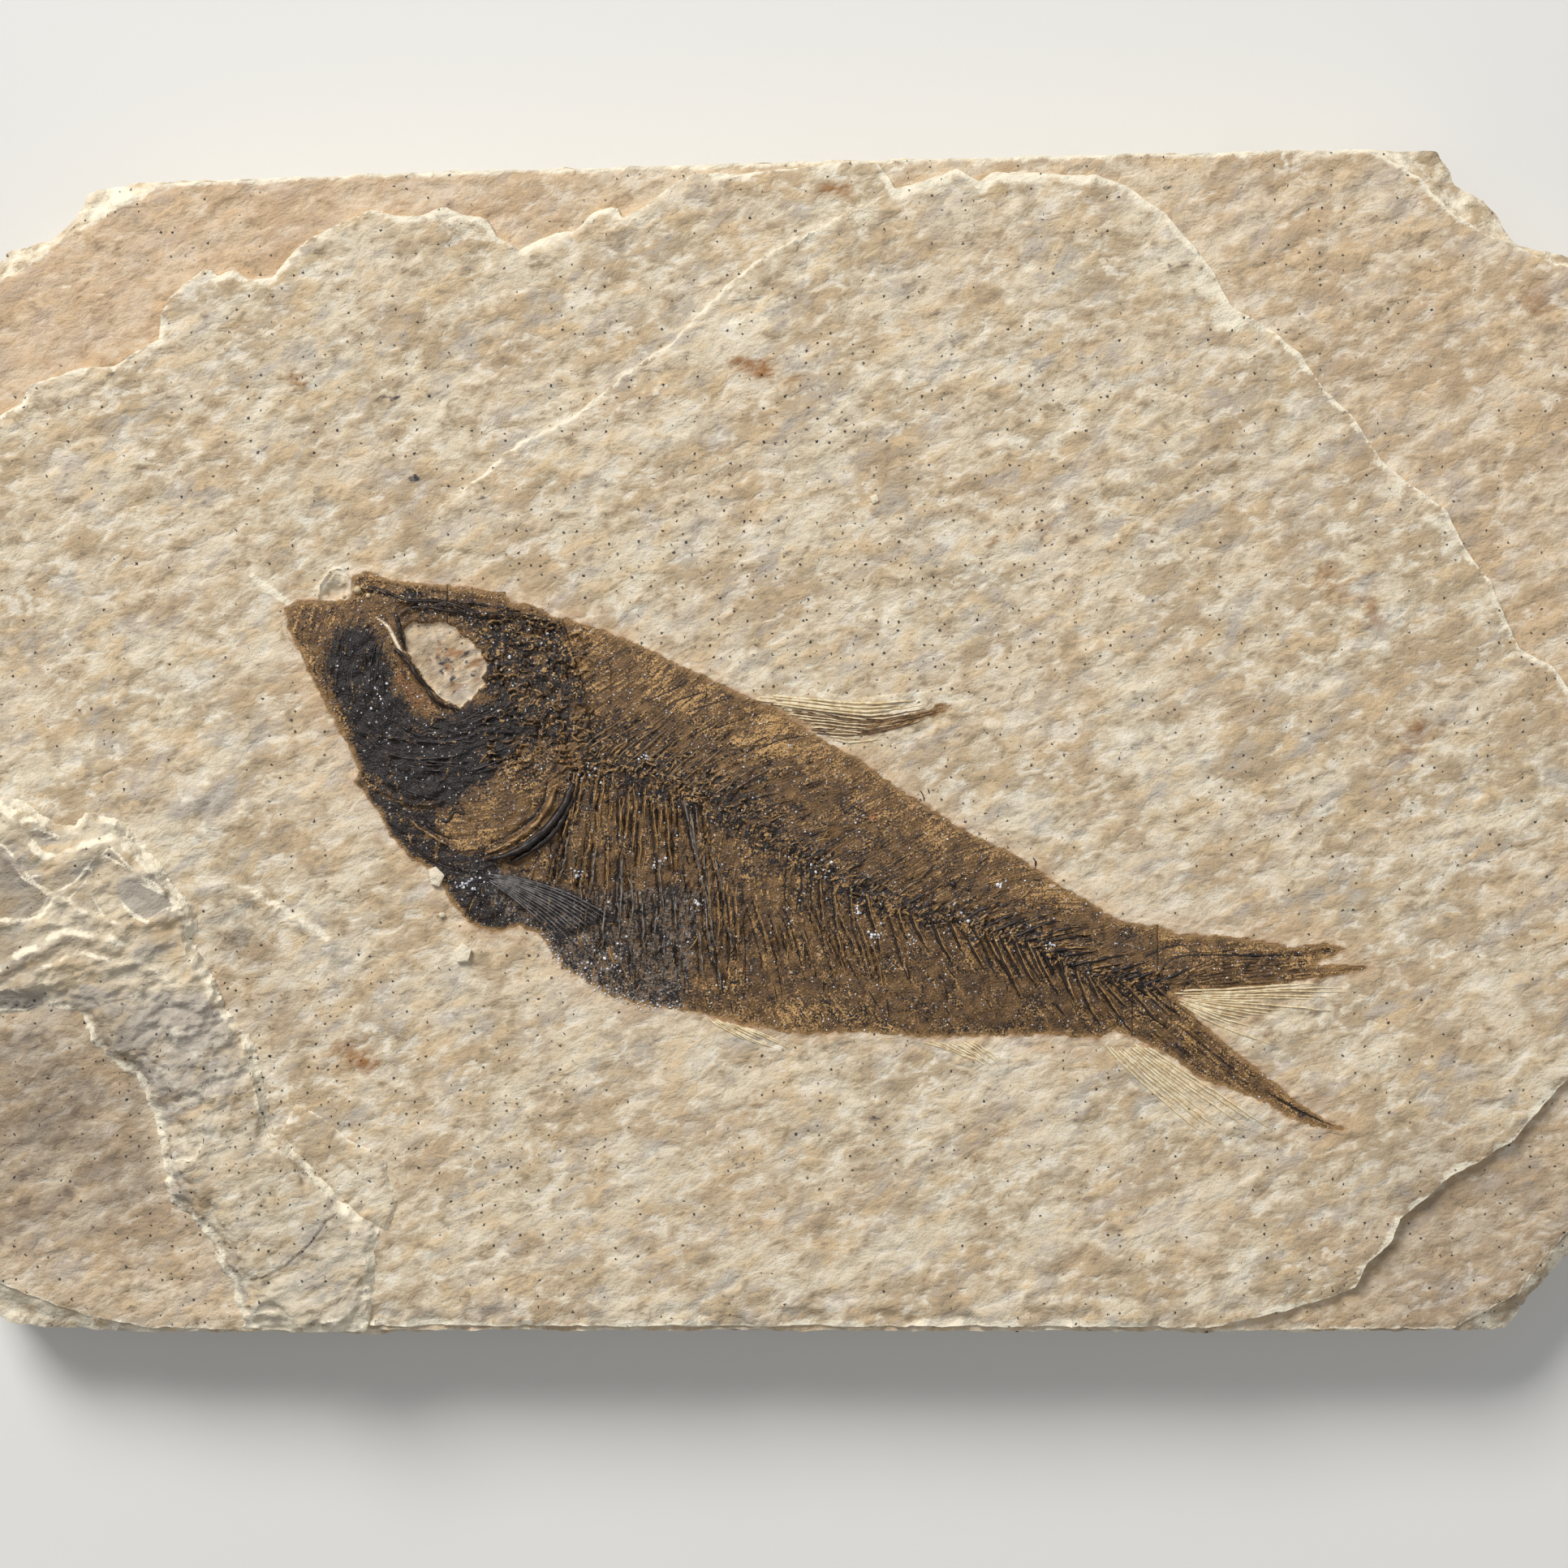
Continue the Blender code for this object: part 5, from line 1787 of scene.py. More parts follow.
        # Painted shadow under the overhang at the far left, and a painted shadow line round the thin top
        # flake.
        masks["soot_and_painted_shadow"] = 0.5 * net.spot((28, 1240), (2.2, 0.7), 5) + 0.6 * smooth(1 - np.abs(thin) / 0.14)
        masks["grey"] = masks["grey"] + net.spots(self.GREY) + 0.3 * ground * smooth(1.4 - depth / 1.6)
        smooth_patch = net.depth(TOP_FLAKE_EDGE, 3.0) < 0
        masks["tan"] = masks["tan"] - 0.4 * smooth_patch * smooth((net.y * -1 - 31) / 2)
        for name, plate in plates:
            masks[name] = masks[name] + plate
        for _, _, squares in self.PLATES[:7]:
            border = np.abs(net.near(broken_edge(squares, 0.12, 78), 0.6).depth)
            line = smooth(1.5 - border / 0.10) * (0.6 + 0.7 * net.grain(74, 2.0, 2))
            freshen(masks, np.clip(line, 0, 0.9))
        jagged = smooth((1300 - to_sheet(net.x, net.y)[1]) / 70)
        # Painted shade over the whole stack, a little lighter on its jagged upper part.
        masks["painted_shade"] = masks["painted_shade"] + 0.12 - 0.02 * jagged
        masks["calm"] = 0.55 * jagged
        masks["specks"] = masks["specks"] * (1 - 0.75 * jagged)
        return masks


class SideFlake(Bed):
    """A thin flake at the foot of the stack, on the fish's side."""

    SUNK = 0.02
    THICKNESS = 0.30

    def surface(self, net: Net, x: Field, y: Field, depth: Field) -> Field:
        """Give the height, thinning out at the rim."""
        thin = self.THICKNESS * smooth(depth / 0.35)
        return FACE_HEIGHT + self.face.height(x, y) - self.SUNK + thin


class LowerBeds(Bed):
    """The beds that make the slab's sides; their top shows only at the broken corners."""

    COVERS = [(UPPER_BED_EDGE, 1.2)]
    CHIP_RISE = 0.22
    RIM_DROP = 0.25
    SHOULDER_RISE = 0.75

    def surface(self, net: Net, x: Field, y: Field, depth: Field) -> Field:
        """Give the height: a broken shoulder that rises to the upper bed."""
        upper = net.depth(UPPER_BED_EDGE, 4.0)
        rise = smooth(1 + (upper - 0.3) / 1.6)
        chips = self.CHIP_RISE * Grain(81).layered(x, y, 1.8, 3)
        shoulder = self.RIM_DROP * smooth(1 - depth / 0.5)
        top = LOWER_BED_TOP + self.SHOULDER_RISE * rise + chips - shoulder
        return np.minimum(top, UPPER_BED_TOP - 0.12) + 0.8 * self.face.height(x, y)

    def masks(self, net: Net, depth: Field) -> dict[str, Field]:
        """Give the masks: freshly broken all over."""
        masks = super().masks(net, depth)
        masks["fresh"] = 0.45 + 0.5 * net.grain(82, 2.0)
        return masks


class BackBed(Bed):
    """The bed at the back, split flat, with two shallow ledges."""

    FLATTENED = 0.16
    DROPS = (0.45, 0.35)
    LEDGES = [
        [
            (-80, 1100), (120, 1150), (300, 1290), (420, 1400), (560, 1480), (700, 1660), (-80, 1660),
        ],
        [(1500, 150), (1560, 300), (1720, 420), (1830, 600), (2020, 700), (2020, 150)],
    ]

    def crisp_steps(self) -> list[np.ndarray]:
        """Give the ledges."""
        return [broken_edge(squares, 0.9, 91) for squares in self.LEDGES]

    def surface(self, net: Net, x: Field, y: Field, depth: Field) -> Field:
        """Give the height, measured down from the slab's back."""
        relief = np.minimum(self.face.height(x, y) - self.FLATTENED, 0.0)
        for ledge, drop in zip(self.crisp_steps(), self.DROPS):
            relief = relief - drop * net.inside(ledge)
        worn = smooth(1 - depth / 0.9) * (0.25 + 0.2 * Grain(92).layered(x, y, 1.8, 3))
        return relief - worn

    def masks(self, net: Net, depth: Field) -> dict[str, Field]:
        """Give the masks: a slightly warmer, duller bed."""
        masks = super().masks(net, depth)
        masks["warm"] = 0.45 + 0.3 * net.hills(93, 14)
        for ledge in self.crisp_steps():
            edge = net.near(ledge, 1.0).depth
            freshen(masks, 0.8 * smooth(1 - np.abs(edge) / 0.35))
        return masks


class LimestoneSlab:
    """The whole stone, bed by bed."""

    def __init__(self, finish: LimestoneFinish) -> None:
        """Choose the beds' sizes.

        Args:
            finish: The stone's finish.
        """
        self.material = finish.material()
        self.beds = [
            BackBed("back_bed", SLAB_EDGE, foot=-2.5, step=0.46, bite=1.3, seed=21, wall_rings=6,
                    wall_spread=0.0, wall_rough=0.35, facing=Facing.DOWN),
            LowerBeds("lower_beds", SLAB_EDGE, foot=2.1, step=0.30, bite=0.5, seed=22,
                      wall_rings=14, wall_spread=0.0, wall_rough=0.32),
            UpperBed("upper_bed", UPPER_BED_EDGE, foot=6.7, step=0.29, bite=0.4, seed=23,
                     wall_rings=4, wall_spread=0.1, wall_rough=0.12),
            FishBed("fish_bed", FISH_BED_EDGE, foot=7.7, step=0.30, bite=0.3, seed=24,
                    wall_spread=0.26),
            FlakeStack("flake_stack", FLAKE_EDGE, foot=7.7, step=0.135, bite=0.25, seed=25),
            SideFlake("side_flake", SIDE_FLAKE_EDGE, foot=8.5, step=0.16, bite=0.2, seed=26,
                      wall_rings=1),
        ]

    def build(self) -> None:
        """Build and dress every bed."""
        for bed in self.beds:
            settle(bed.build(), self.material, "limestone_slab")


def settle(piece: bpy.types.Object, finish: bpy.types.Material, node: str) -> None:
    """Dress a piece and hand it to the frame.

    Args:
        piece: The piece, in place.
        finish: Its material.
        node: The CAD node that it stands for.
    """
    piece.data.materials.append(finish)
    box = np.array(CAD_BOX)
    count = len(piece.data.vertices)
    places = np.empty(count * 3, np.float32)
    piece.data.vertices.foreach_get("co", places)
    places = np.clip(places.reshape(-1, 3), box[0] + 1e-6, box[1] - 1e-6)
    piece.data.vertices.foreach_set("co", places.astype(np.float32).ravel())
    piece.data.update()
    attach(piece, BODY)
    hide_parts(node)
    piece.data.calc_loop_triangles()
    LOG.info("%s: %d triangles", piece.name, len(piece.data.loop_triangles))


# ---------- Fish ----------


class Rod(Enum):
    """The kinds of raised rods, each built as one piece."""

    DARK = "dark_bones"
    GOLDEN = "golden_bones"
    BROWN = "brown_bones"
    GREY = "grey_bones"
    CHEEK = "cheek_bones"


@dataclass
class Parts:
    """The parts of the body that have their own tones, as masks over the fish's net."""

    eye: Field
    cheek: Field
    jaw: Field
    belly: Field
    cover: Field
    upper_cover: Field
    nape: Field
    paddle: Field
    snout: Field
    tail: Field
    band: Field
    uneven: Field
    blotch: Field


@dataclass
class Fish:
    """The fish: a thin sheet let into the face, with every bone as relief and colour."""

    step: float = 0.137
    margin: float = 0.7
    face: SplitFace = field(default_factory=SplitFace)

    HEAD_TURN = 8.0
    SUNK = 0.7
    RIM_DROP = 0.06
    RIM_RISE = 0.10
    FILM_RISE = 0.05
    BODY_SWELL = 0.14
    BONE_RISE = 1.3
    EYE_DEPTH = 0.22
    GILL_SWELL = 0.16
    CHEEK_SWELL = 0.10
    PIT_DEPTH = 0.40
    BUBBLE_RISE = 0.24

    FIBRES = 4200
    VERTEBRAE = 36
    BACKBONE_CRUMBS = 760
    RIBS = 21
    HEAD_FIBRES = 300
    HEAD_SCALES = 170

    EYE = (552, 816)
    PALE_STRIP = [(464, 761), (478, 772), (489, 793), (500, 812)]
    EYE_BARS = [
        [(486, 800), (504, 817), (515, 835), (530, 854), (562, 873)],
        [(488, 757), (493, 772), (495, 787), (501, 802)],
    ]
    EYE_SOCKET = [
        (486, 808), (496, 812), (514, 838), (536, 866), (544, 882), (524, 886), (502, 864), (488, 838),
    ]
    PIT = [(400, 732), (404, 721), (418, 717), (427, 726), (424, 736), (408, 739)]
    BUBBLE = [(393, 737), (397, 717), (411, 703), (423, 702), (431, 714), (433, 728)]
    INNER_BUBBLE = [(408, 713), (415, 706), (424, 710), (423, 719), (412, 721), (408, 713)]
    ORANGE = [  # square, radii, lean, strength
        ((1075, 1006), (0.3, 0.45), 20, 1.2), ((807, 1099), (0.3, 0.5), 0, 0.8),
        ((582, 793), (0.5, 0.5), 0, 0.5), ((545, 1078), (1.4, 0.8), -30, 0.4),
        ((588, 1125), (0.8, 0.8), 0, 0.45),
    ]
    AMBER = [((951, 918), (1.5, 1.2), 0, 0.45), ((960, 1250), (6, 1.4), 8, 0.3)]
    TAIL_LOBES = [  # first ray, last ray
        ([(1440, 1206), (1500, 1180), (1570, 1176), (1642, 1168)],
         [(1446, 1222), (1510, 1215), (1590, 1207), (1688, 1194)]),
        ([(1432, 1224), (1480, 1262), (1545, 1316), (1625, 1376)],
         [(1378, 1226), (1420, 1280), (1490, 1332), (1600, 1380)]),
    ]
    TAIL_EDGES = [
        [(1428, 1196), (1455, 1178), (1540, 1177), (1640, 1177)],
        [(1450, 1262), (1480, 1286), (1540, 1334)], [(1560, 1345), (1600, 1368), (1640, 1386)],
    ]
    HOOKS = [
        [(1132, 972), (1137, 979), (1139, 987)], [(1143, 971), (1146, 980)],
        [(1272, 1056), (1276, 1062), (1275, 1070)],
    ]
    HEAD_BONES = [  # line, half width, rise, dark, pale
        ([(440, 724), (470, 730), (500, 742), (545, 744), (590, 757), (650, 760), (690, 769)],
         0.34, 0.20, 0.95, 0),
        ([(496, 720), (522, 731), (552, 739), (600, 746), (640, 752)], 0.28, 0.14, 0.8, 0),
        ([(452, 712), (500, 720), (560, 728), (622, 738)], 0.45, 0.10, 0, 0.5),
        ([(493, 758), (504, 752), (522, 750), (545, 752), (570, 758), (590, 772)], 0.2, 0.16, 0.9, 0),
        ([(366, 770), (378, 810), (404, 866), (430, 920)], 0.5, 0.12, 0.25, 0.25),
        ([(486, 800), (504, 817), (515, 835), (530, 854), (544, 867), (562, 873)],
         0.26, 0.30, 1.0, 0),
        ([(486, 757), (493, 772), (495, 787), (501, 802)], 0.24, 0.18, 0.95, 0),
        ([(478, 950), (504, 959), (526, 972), (541, 965), (559, 946), (590, 930)], 0.14, 0.08, 0, 0.45),
        ([(470, 962), (500, 974), (524, 980), (548, 970)], 0.75, 0.14, 0.7, 0),
        ([(441, 960), (459, 987), (478, 1009), (500, 1026)], 0.42, 0.24, 1.0, 0),
        ([(445, 950), (467, 968), (493, 985), (522, 992), (552, 986)], 0.38, 0.20, 0.9, 0),
        ([(450, 954), (470, 974), (496, 990)], 0.15, 0.10, 0, 0.6),
        ([(506, 1011), (522, 1024), (552, 1041)], 0.16, 0.14, 0, 1.0),
        ([(707, 965), (697, 992), (676, 1018), (650, 1040), (626, 1053), (600, 1059)],
         0.60, 0.30, 1.0, 0),
        ([(706, 984), (686, 1020), (656, 1048), (626, 1064)], 0.40, 0.16, 0.85, 0),
        ([(702, 978), (688, 1005), (664, 1034), (636, 1052)], 0.13, 0.12, 0, 0.7),
        ([(686, 970), (671, 1003), (648, 1027), (622, 1043), (600, 1050)], 0.30, 0.14, 0, 1.0),
        ([(590, 1060), (620, 1066), (650, 1072)], 0.3, 0.10, 0.6, 0),
        ([(455, 905), (500, 912), (555, 915), (596, 900), (624, 886)], 0.14, 0.10, 0, 0.75),
        ([(462, 924), (510, 934), (556, 932), (602, 912)], 0.14, 0.10, 0, 0.6),
        ([(500, 893), (530, 906), (566, 905), (600, 888)], 0.14, 0.10, 0, 0.8),
        ([(573, 893), (600, 884), (622, 868), (634, 852)], 0.14, 0.08, 0, 0.6),
        ([(692, 768), (708, 800), (717, 840), (724, 884), (722, 925)], 0.26, 0.12, 0.9, 0),
    ]
    FLANK = [  # first fibre, last fibre, count
        ([(905, 1085), (922, 1130), (936, 1180), (942, 1230)],
         [(962, 1096), (982, 1140), (997, 1186), (1006, 1234)], 9),
        ([(985, 1096), (1003, 1140), (1020, 1184), (1032, 1222)],
         [(1050, 1118), (1068, 1156), (1080, 1196), (1088, 1236)], 10),
        ([(868, 1046), (872, 1110), (868, 1170), (860, 1230)],
         [(902, 1060), (914, 1120), (918, 1180), (914, 1236)], 6),
    ]
    HEAD_SLITS = [  # line, half width, depth, dark
        ([(675, 962), (667, 992), (645, 1017), (622, 1031), (604, 1039)], 0.19, 0.12, 1.0),
        ([(537, 1006), (552, 1012), (560, 1000), (572, 1003), (566, 990)], 0.30, 0.08, 0.95),
        ([(520, 1006), (534, 1022), (560, 1036)], 0.26, 0.08, 0.9),
        ([(500, 1036), (536, 1062), (580, 1078)], 0.22, 0.08, 0.8),
        ([(562, 873), (586, 882), (616, 870), (640, 845)], 0.18, 0.08, 0.9),
        ([(716, 925), (722, 945), (714, 966)], 0.22, 0.06, 0.7),
        ([(789, 793), (760, 816), (724, 843)], 0.13, 0.05, 0.9),
        ([(850, 838), (820, 854), (790, 866)], 0.13, 0.05, 0.8),
        ([(898, 838), (915, 838)], 0.12, 0.02, 0.9),
        ([(834, 863), (856, 856), (875, 851)], 0.12, 0.04, 0.8),
        ([(847, 877), (884, 865), (921, 851)], 0.12, 0.05, 0.9),
        ([(875, 899), (930, 881), (980, 866)], 0.12, 0.05, 0.9),
        ([(857, 904), (873, 896), (889, 886)], 0.11, 0.04, 0.8),
        ([(742, 817), (760, 806), (783, 794)], 0.10, 0.04, 0.7),
        ([(930, 925), (962, 912), (1004, 905)], 0.11, 0.04, 0.7),
    ]

    def __post_init__(self) -> None:
        """Lay the net and find how it lies to the backbone."""
        self.outline = from_sheet(FISH_WINDOW_EDGE)
        self.net = Net.around(self.outline, self.step, self.margin)
        self.random = np.random.default_rng(12)
        shape = self.net.x.shape
        self.rise, self.groove = np.zeros(shape), np.zeros(shape)
        self.dark, self.pale = np.zeros(shape), np.zeros(shape)
        self.rods: dict[Rod, list[tuple[np.ndarray, float]]] = {kind: [] for kind in Rod}
        self.body = self.net.depth(BODY_FILM, 1.5)
        self.golden = self.net.zone(GOLDEN_BACK, 1.4, 0.6, 110)
        self.spine = curve_through(BACKBONE, 160)
        self.length = np.hypot(*np.diff(self.spine, axis=0).T).sum()
        self.down, self.over = self.beside_backbone()

    def some(self, low: float, high: float) -> float:
        """Draw a number between two limits."""
        return self.random.uniform(low, high)

    def beside_backbone(self) -> tuple[Field, Field]:
        """Measure each point's distance down the backbone, and its height over it."""
        first, last = self.spine[0] - self.spine[5], self.spine[-1] - self.spine[-6]
        line = np.vstack(
            (self.spine[0] + 12 * first, self.spine, self.spine[-1] + 10 * last)
        )
        runs = np.diff(line, axis=0)
        lengths = np.hypot(*runs.T)
        before = np.concatenate(([0.0], np.cumsum(lengths)[:-1])) - lengths[0]
        best = np.full(self.net.x.shape, np.inf)
        down, over = np.zeros(best.shape), np.zeros(best.shape)
        for start, run, length, passed in zip(line, runs / lengths[:, None], lengths, before):
            x, y = self.net.x - start[0], self.net.y - start[1]
            along = np.clip(x * run[0] + y * run[1], 0, length)
            gap = np.hypot(x - along * run[0], y - along * run[1])
            closer = gap < best
            best = np.where(closer, gap, best)
            down = np.where(closer, passed + along, down)
            over = np.where(closer, np.where(y * run[0] > x * run[1], gap, -gap), over)
        return down, over

    def fibre_angle(self, down: Field, above: Field) -> Field:
        """Give the angle between the fibres and the backbone.

        Args:
            down: Distances down the backbone.
            above: Whether the fibres run above it.

        Returns:
            Angles in degrees.
        """
        share = np.clip(down / self.length, 0, 1)
        upper = 58 - 24 * smooth((share - 0.35) / 0.5)
        return np.where(above, upper, 78 - 50 * share)

    def fibres(self) -> tuple[Field, Field]:
        """Give each point's place across and along the fibres, for the finish."""
        net = self.net
        turn = np.radians(self.fibre_angle(self.down, self.over > 0))
        across = self.down - np.abs(self.over) / np.tan(turn)
        along = self.over.copy()
        u, v = to_sheet(net.x, net.y)
        lobes = ((u > 1425) & (v < 1224), 4.0), ((u > 1395) & (v >= 1212), -41.0)
        for lobe, lean in lobes:
            angle = math.radians(lean)
            across = np.where(lobe, net.y * math.cos(angle) - net.x * math.sin(angle), across)
            along = np.where(lobe, net.x * math.cos(angle) + net.y * math.sin(angle), along)
        head = net.inside(from_sheet(HEAD_EDGE))
        eye = from_sheet([self.EYE])[0]
        x, y = net.x - eye[0], net.y - eye[1]
        across = np.where(head, 0.8 * np.hypot(x, y), across)
        along = np.where(head, self.HEAD_TURN * np.arctan2(x, -y), along)
        return across, along

    def bone(
        self, line: np.ndarray, half_width: float, rise: float, dark: float = 0.0, pale: float = 0.0
    ) -> None:
        """Lay one bone: a ridge with its own colour.

        Args:
            line: Points along it, in millimetres.
            half_width: Half its width.
            rise: Its height.
            dark: How black it is.
            pale: How light it is.
        """
        self.net.stroke(self.rise, line, half_width, rise)
        if dark:
            self.net.stroke(self.dark, line, 1.15 * half_width, dark)
        if pale:
            self.net.stroke(self.pale, line, 1.05 * half_width, pale)

    def rod(self, kind: Rod, line: np.ndarray, radius: float, least: float = 0.32) -> None:
        """Note one raised rod, to be built on the finished sheet.

        Args:
            kind: Which piece of rods it goes with.
            line: Points along it, in millimetres.
            radius: Its radius at its thick end.
            least: Depth inside the body that it keeps; the rest of it is cut off.
        """
        outside = np.flatnonzero(self.net.read(self.body, line) < least)
        line = line[: outside[0]] if len(outside) else line
        if len(line) > 2:
            self.rods[kind].append((line, radius))

    def rod_piece(self, kind: Rod) -> bpy.types.Object:
        """Build all the rods of one kind as one mesh, half sunk in the sheet.

        Args:
            kind: The kind, which names the piece.

        Returns:
            The mesh object.
        """
        rods = []
        for line, radius in self.rods[kind]:
            steps = np.hypot(*np.diff(line, axis=0).T)
            share = np.concatenate(([0.0], np.cumsum(steps))) / steps.sum()
            width = radius * np.clip(np.minimum(0.35 + 5 * share, 0.30 + 1.9 * (1 - share)), 0, 1)
            width = width * self.random.uniform(0.75, 1.15, len(line))
            heights = self.height_at(line[:, 0], line[:, 1]) + 0.15 * width
            rods.append((np.column_stack((line, heights)), width))
        return rod_mesh(kind.value, rods, 0)

    def slit(self, line: np.ndarray, half_width: float, depth: float, dark: float = 0.8) -> None:
        """Cut one dark groove."""
        self.net.stroke(self.groove, line, half_width, depth)
        self.net.stroke(self.dark, line, 1.15 * half_width, dark)

    def arched(self, start: np.ndarray, angle: float, length: float, bend: float) -> np.ndarray:
        """Give a gently bent line.

        Args:
            start: Its first point.
            angle: Its direction at the start, in degrees.
            length: Its length.
            bend: How much it turns on its way, in degrees.

        Returns:
            Seven points along it.
        """
        points = [start]
        for k in range(6):
            turn = math.radians(angle + bend * (k + 0.5) / 6)
            points.append(points[-1] + length / 6 * np.array((math.cos(turn), math.sin(turn))))
        return np.array(points)

    def spine_point(self, share: float) -> tuple[np.ndarray, float]:
        """Give a point of the backbone and its direction there, in degrees."""
        i = min(int(share * (len(self.spine) - 1)), len(self.spine) - 4)
        run = self.spine[i + 3] - self.spine[i]
        return self.spine[i], math.degrees(math.atan2(run[1], run[0]))

    def lay_backbone(self) -> None:
        """Lay the vertebrae, each waisted, with dark gaps between them."""
        count = self.VERTEBRAE
        for i in range(count):
            (a, lean), (b, _) = self.spine_point(i / count), self.spine_point((i + 0.6) / count)
            strength = 0.4 + 0.6 * smooth((i - 8) / 12)
            half = 0.52 - 0.007 * i
            self.bone(np.array([a, b]), half * 0.8, 0.09 * strength, pale=0.55)
            joint = self.spine_point(min(1, (i + 0.8) / count))[0]
            wobble = self.random.normal(0, 14)
            line = self.arched(joint, lean + 90 + wobble, half * 1.3, 20)
            self.slit(line, 0.17, 0.08, 0.95)
            line = self.arched(joint, lean - 90 + wobble, half * 1.3, -20)
            self.slit(line, 0.17, 0.08, 0.95)
        for _ in range(self.BACKBONE_CRUMBS):
            share = self.random.random() ** 1.2
            root, lean = self.spine_point(share)
            spread = 2.3 - 1.6 * share
            point = root + self.random.normal(0, spread * 0.55, 2)
            line = self.arched(point, self.some(-40, 70), self.some(0.3, 1.0), 30)
            if self.random.random() < 0.6:
                self.slit(line, 0.16, self.some(0.04, 0.10), self.some(0.6, 1))
                self.rod(Rod.DARK, line[:5], self.some(0.05, 0.12))
            else:
                self.bone(line, 0.16, self.some(0.06, 0.12), pale=self.some(0.5, 1))
                self.rod(Rod.GOLDEN, line[:5], self.some(0.04, 0.10))

    def lay_ribs(self) -> None:
        """Lay the ribs behind the head, thin and close together."""
        for i in range(self.RIBS):
            share = i / (self.RIBS - 1)
            root = from_sheet([(704 + 158 * share, 944 + 40 * share)])[0]
            root = root + self.random.normal(0, 0.12, 2)
            length = 9.0 + 6.6 * smooth(share / 0.5) * self.some(0.7, 1.0)
            angle = -101 + 19 * share + self.random.normal(0, 1.8)
            line = self.crooked(finer(self.arched(root, angle, length, 9 * share - 3), 40), 0.045)
            first = self.random.integers(0, 4)
            while first < 34:
                last = first + self.random.integers(7, 19)
                piece = line[first:last] + self.random.normal(0, 0.05, 2)
                upper = first < (16 if share < 0.35 else 12)
                first = last + self.random.integers(0, 5)
                self.slit(piece, 0.20, 0.13, self.some(0.7, 1.0))
                self.rod(Rod.DARK, piece, self.some(0.05, 0.10))
                light = piece[self.random.integers(0, 3) :] + (self.some(0.20, 0.32), 0)
                self.bone(light, 0.16, 0.15, pale=self.some(0.4, 1.0) if upper else 0.25)
                if self.random.random() < 0.75:
                    kind = Rod.GOLDEN if upper and share < 0.8 else Rod.GREY
                    self.rod(kind, light, self.some(0.05, 0.085))

    def lay_flank(self) -> None:
        """Lay sheaves of long bent fibres across the middle of the flank."""
        for first, last, count in self.FLANK:
            for i in range(count):
                share = (i + self.some(-0.3, 0.3)) / (count - 1)
                line = self.crooked(curve_through(between(first, last, share), 20), 0.03)
                line = line[self.random.integers(0, 8) : self.random.integers(12, 20)]
                self.slit(line, 0.15, 0.08, self.some(0.5, 1.0))
                self.rod(Rod.DARK, line, self.some(0.04, 0.08))
                light = line[self.random.integers(0, 3) :] + (0.22, 0.05)
                self.bone(light, 0.15, 0.10, pale=self.some(0.4, 1.0))
                if self.random.random() < 0.7:
                    self.rod(Rod.GOLDEN, light, self.some(0.04, 0.075))

    def lay_spines(self, above: bool, count: int, first: float, last: float, reach: float) -> None:
        """Lay a row of dark spines beside the backbone.

        Args:
            above: Whether they rise over it.
            count: Number of spines.
            first: Share of the backbone where they begin.
            last: Share where they end.
            reach: Length of the longest.
        """
        side = 1 if above else -1
        for i in range(count):
            share = first + (last - first) * i / (count - 1)
            root, lean = self.spine_point(share)
            turn = float(self.fibre_angle(np.float64(share * self.length), np.bool_(above)))
            angle = lean + side * turn + self.random.normal(0, 2.2)
            length = reach * (1 - 0.45 * share) * self.some(0.6, 1.05)
            bold = smooth((share - 0.35) / 0.3)
            line = self.arched(root + self.random.normal(0, 0.12, 2), angle + 6 * side, length, -14 * side)
            line = self.crooked(finer(line, 14), 0.035)
            cut = max(8, int(14 * self.some(0.6, 1.0)))
            bare = np.flatnonzero(self.net.read(self.golden, line) > 0.55)
            if len(bare) and self.random.random() < 0.8:
                cut = min(cut, max(3, bare[0]))
            self.slit(line[:cut], 0.15 + 0.05 * bold, 0.05 + 0.07 * bold, 0.55 + 0.45 * bold)
            self.rod(Rod.DARK, line[:cut], 0.065 + 0.10 * bold * self.some(0.5, 1.2))
            if self.random.random() < 0.75:
                self.rod(Rod.GOLDEN, line[: cut - 1] + (0.22, 0.08 * side), 0.05 + 0.03 * bold)
            if self.random.random() < 0.6:
                start = self.random.integers(2, 6)
                self.rod(Rod.BROWN, line[start:cut] + (0.42, 0.12 * side), 0.05)
            self.bone(line[:cut] + (0.30, 0.10 * side), 0.16, 0.06 + 0.05 * bold, pale=0.35 + 0.4 * bold)

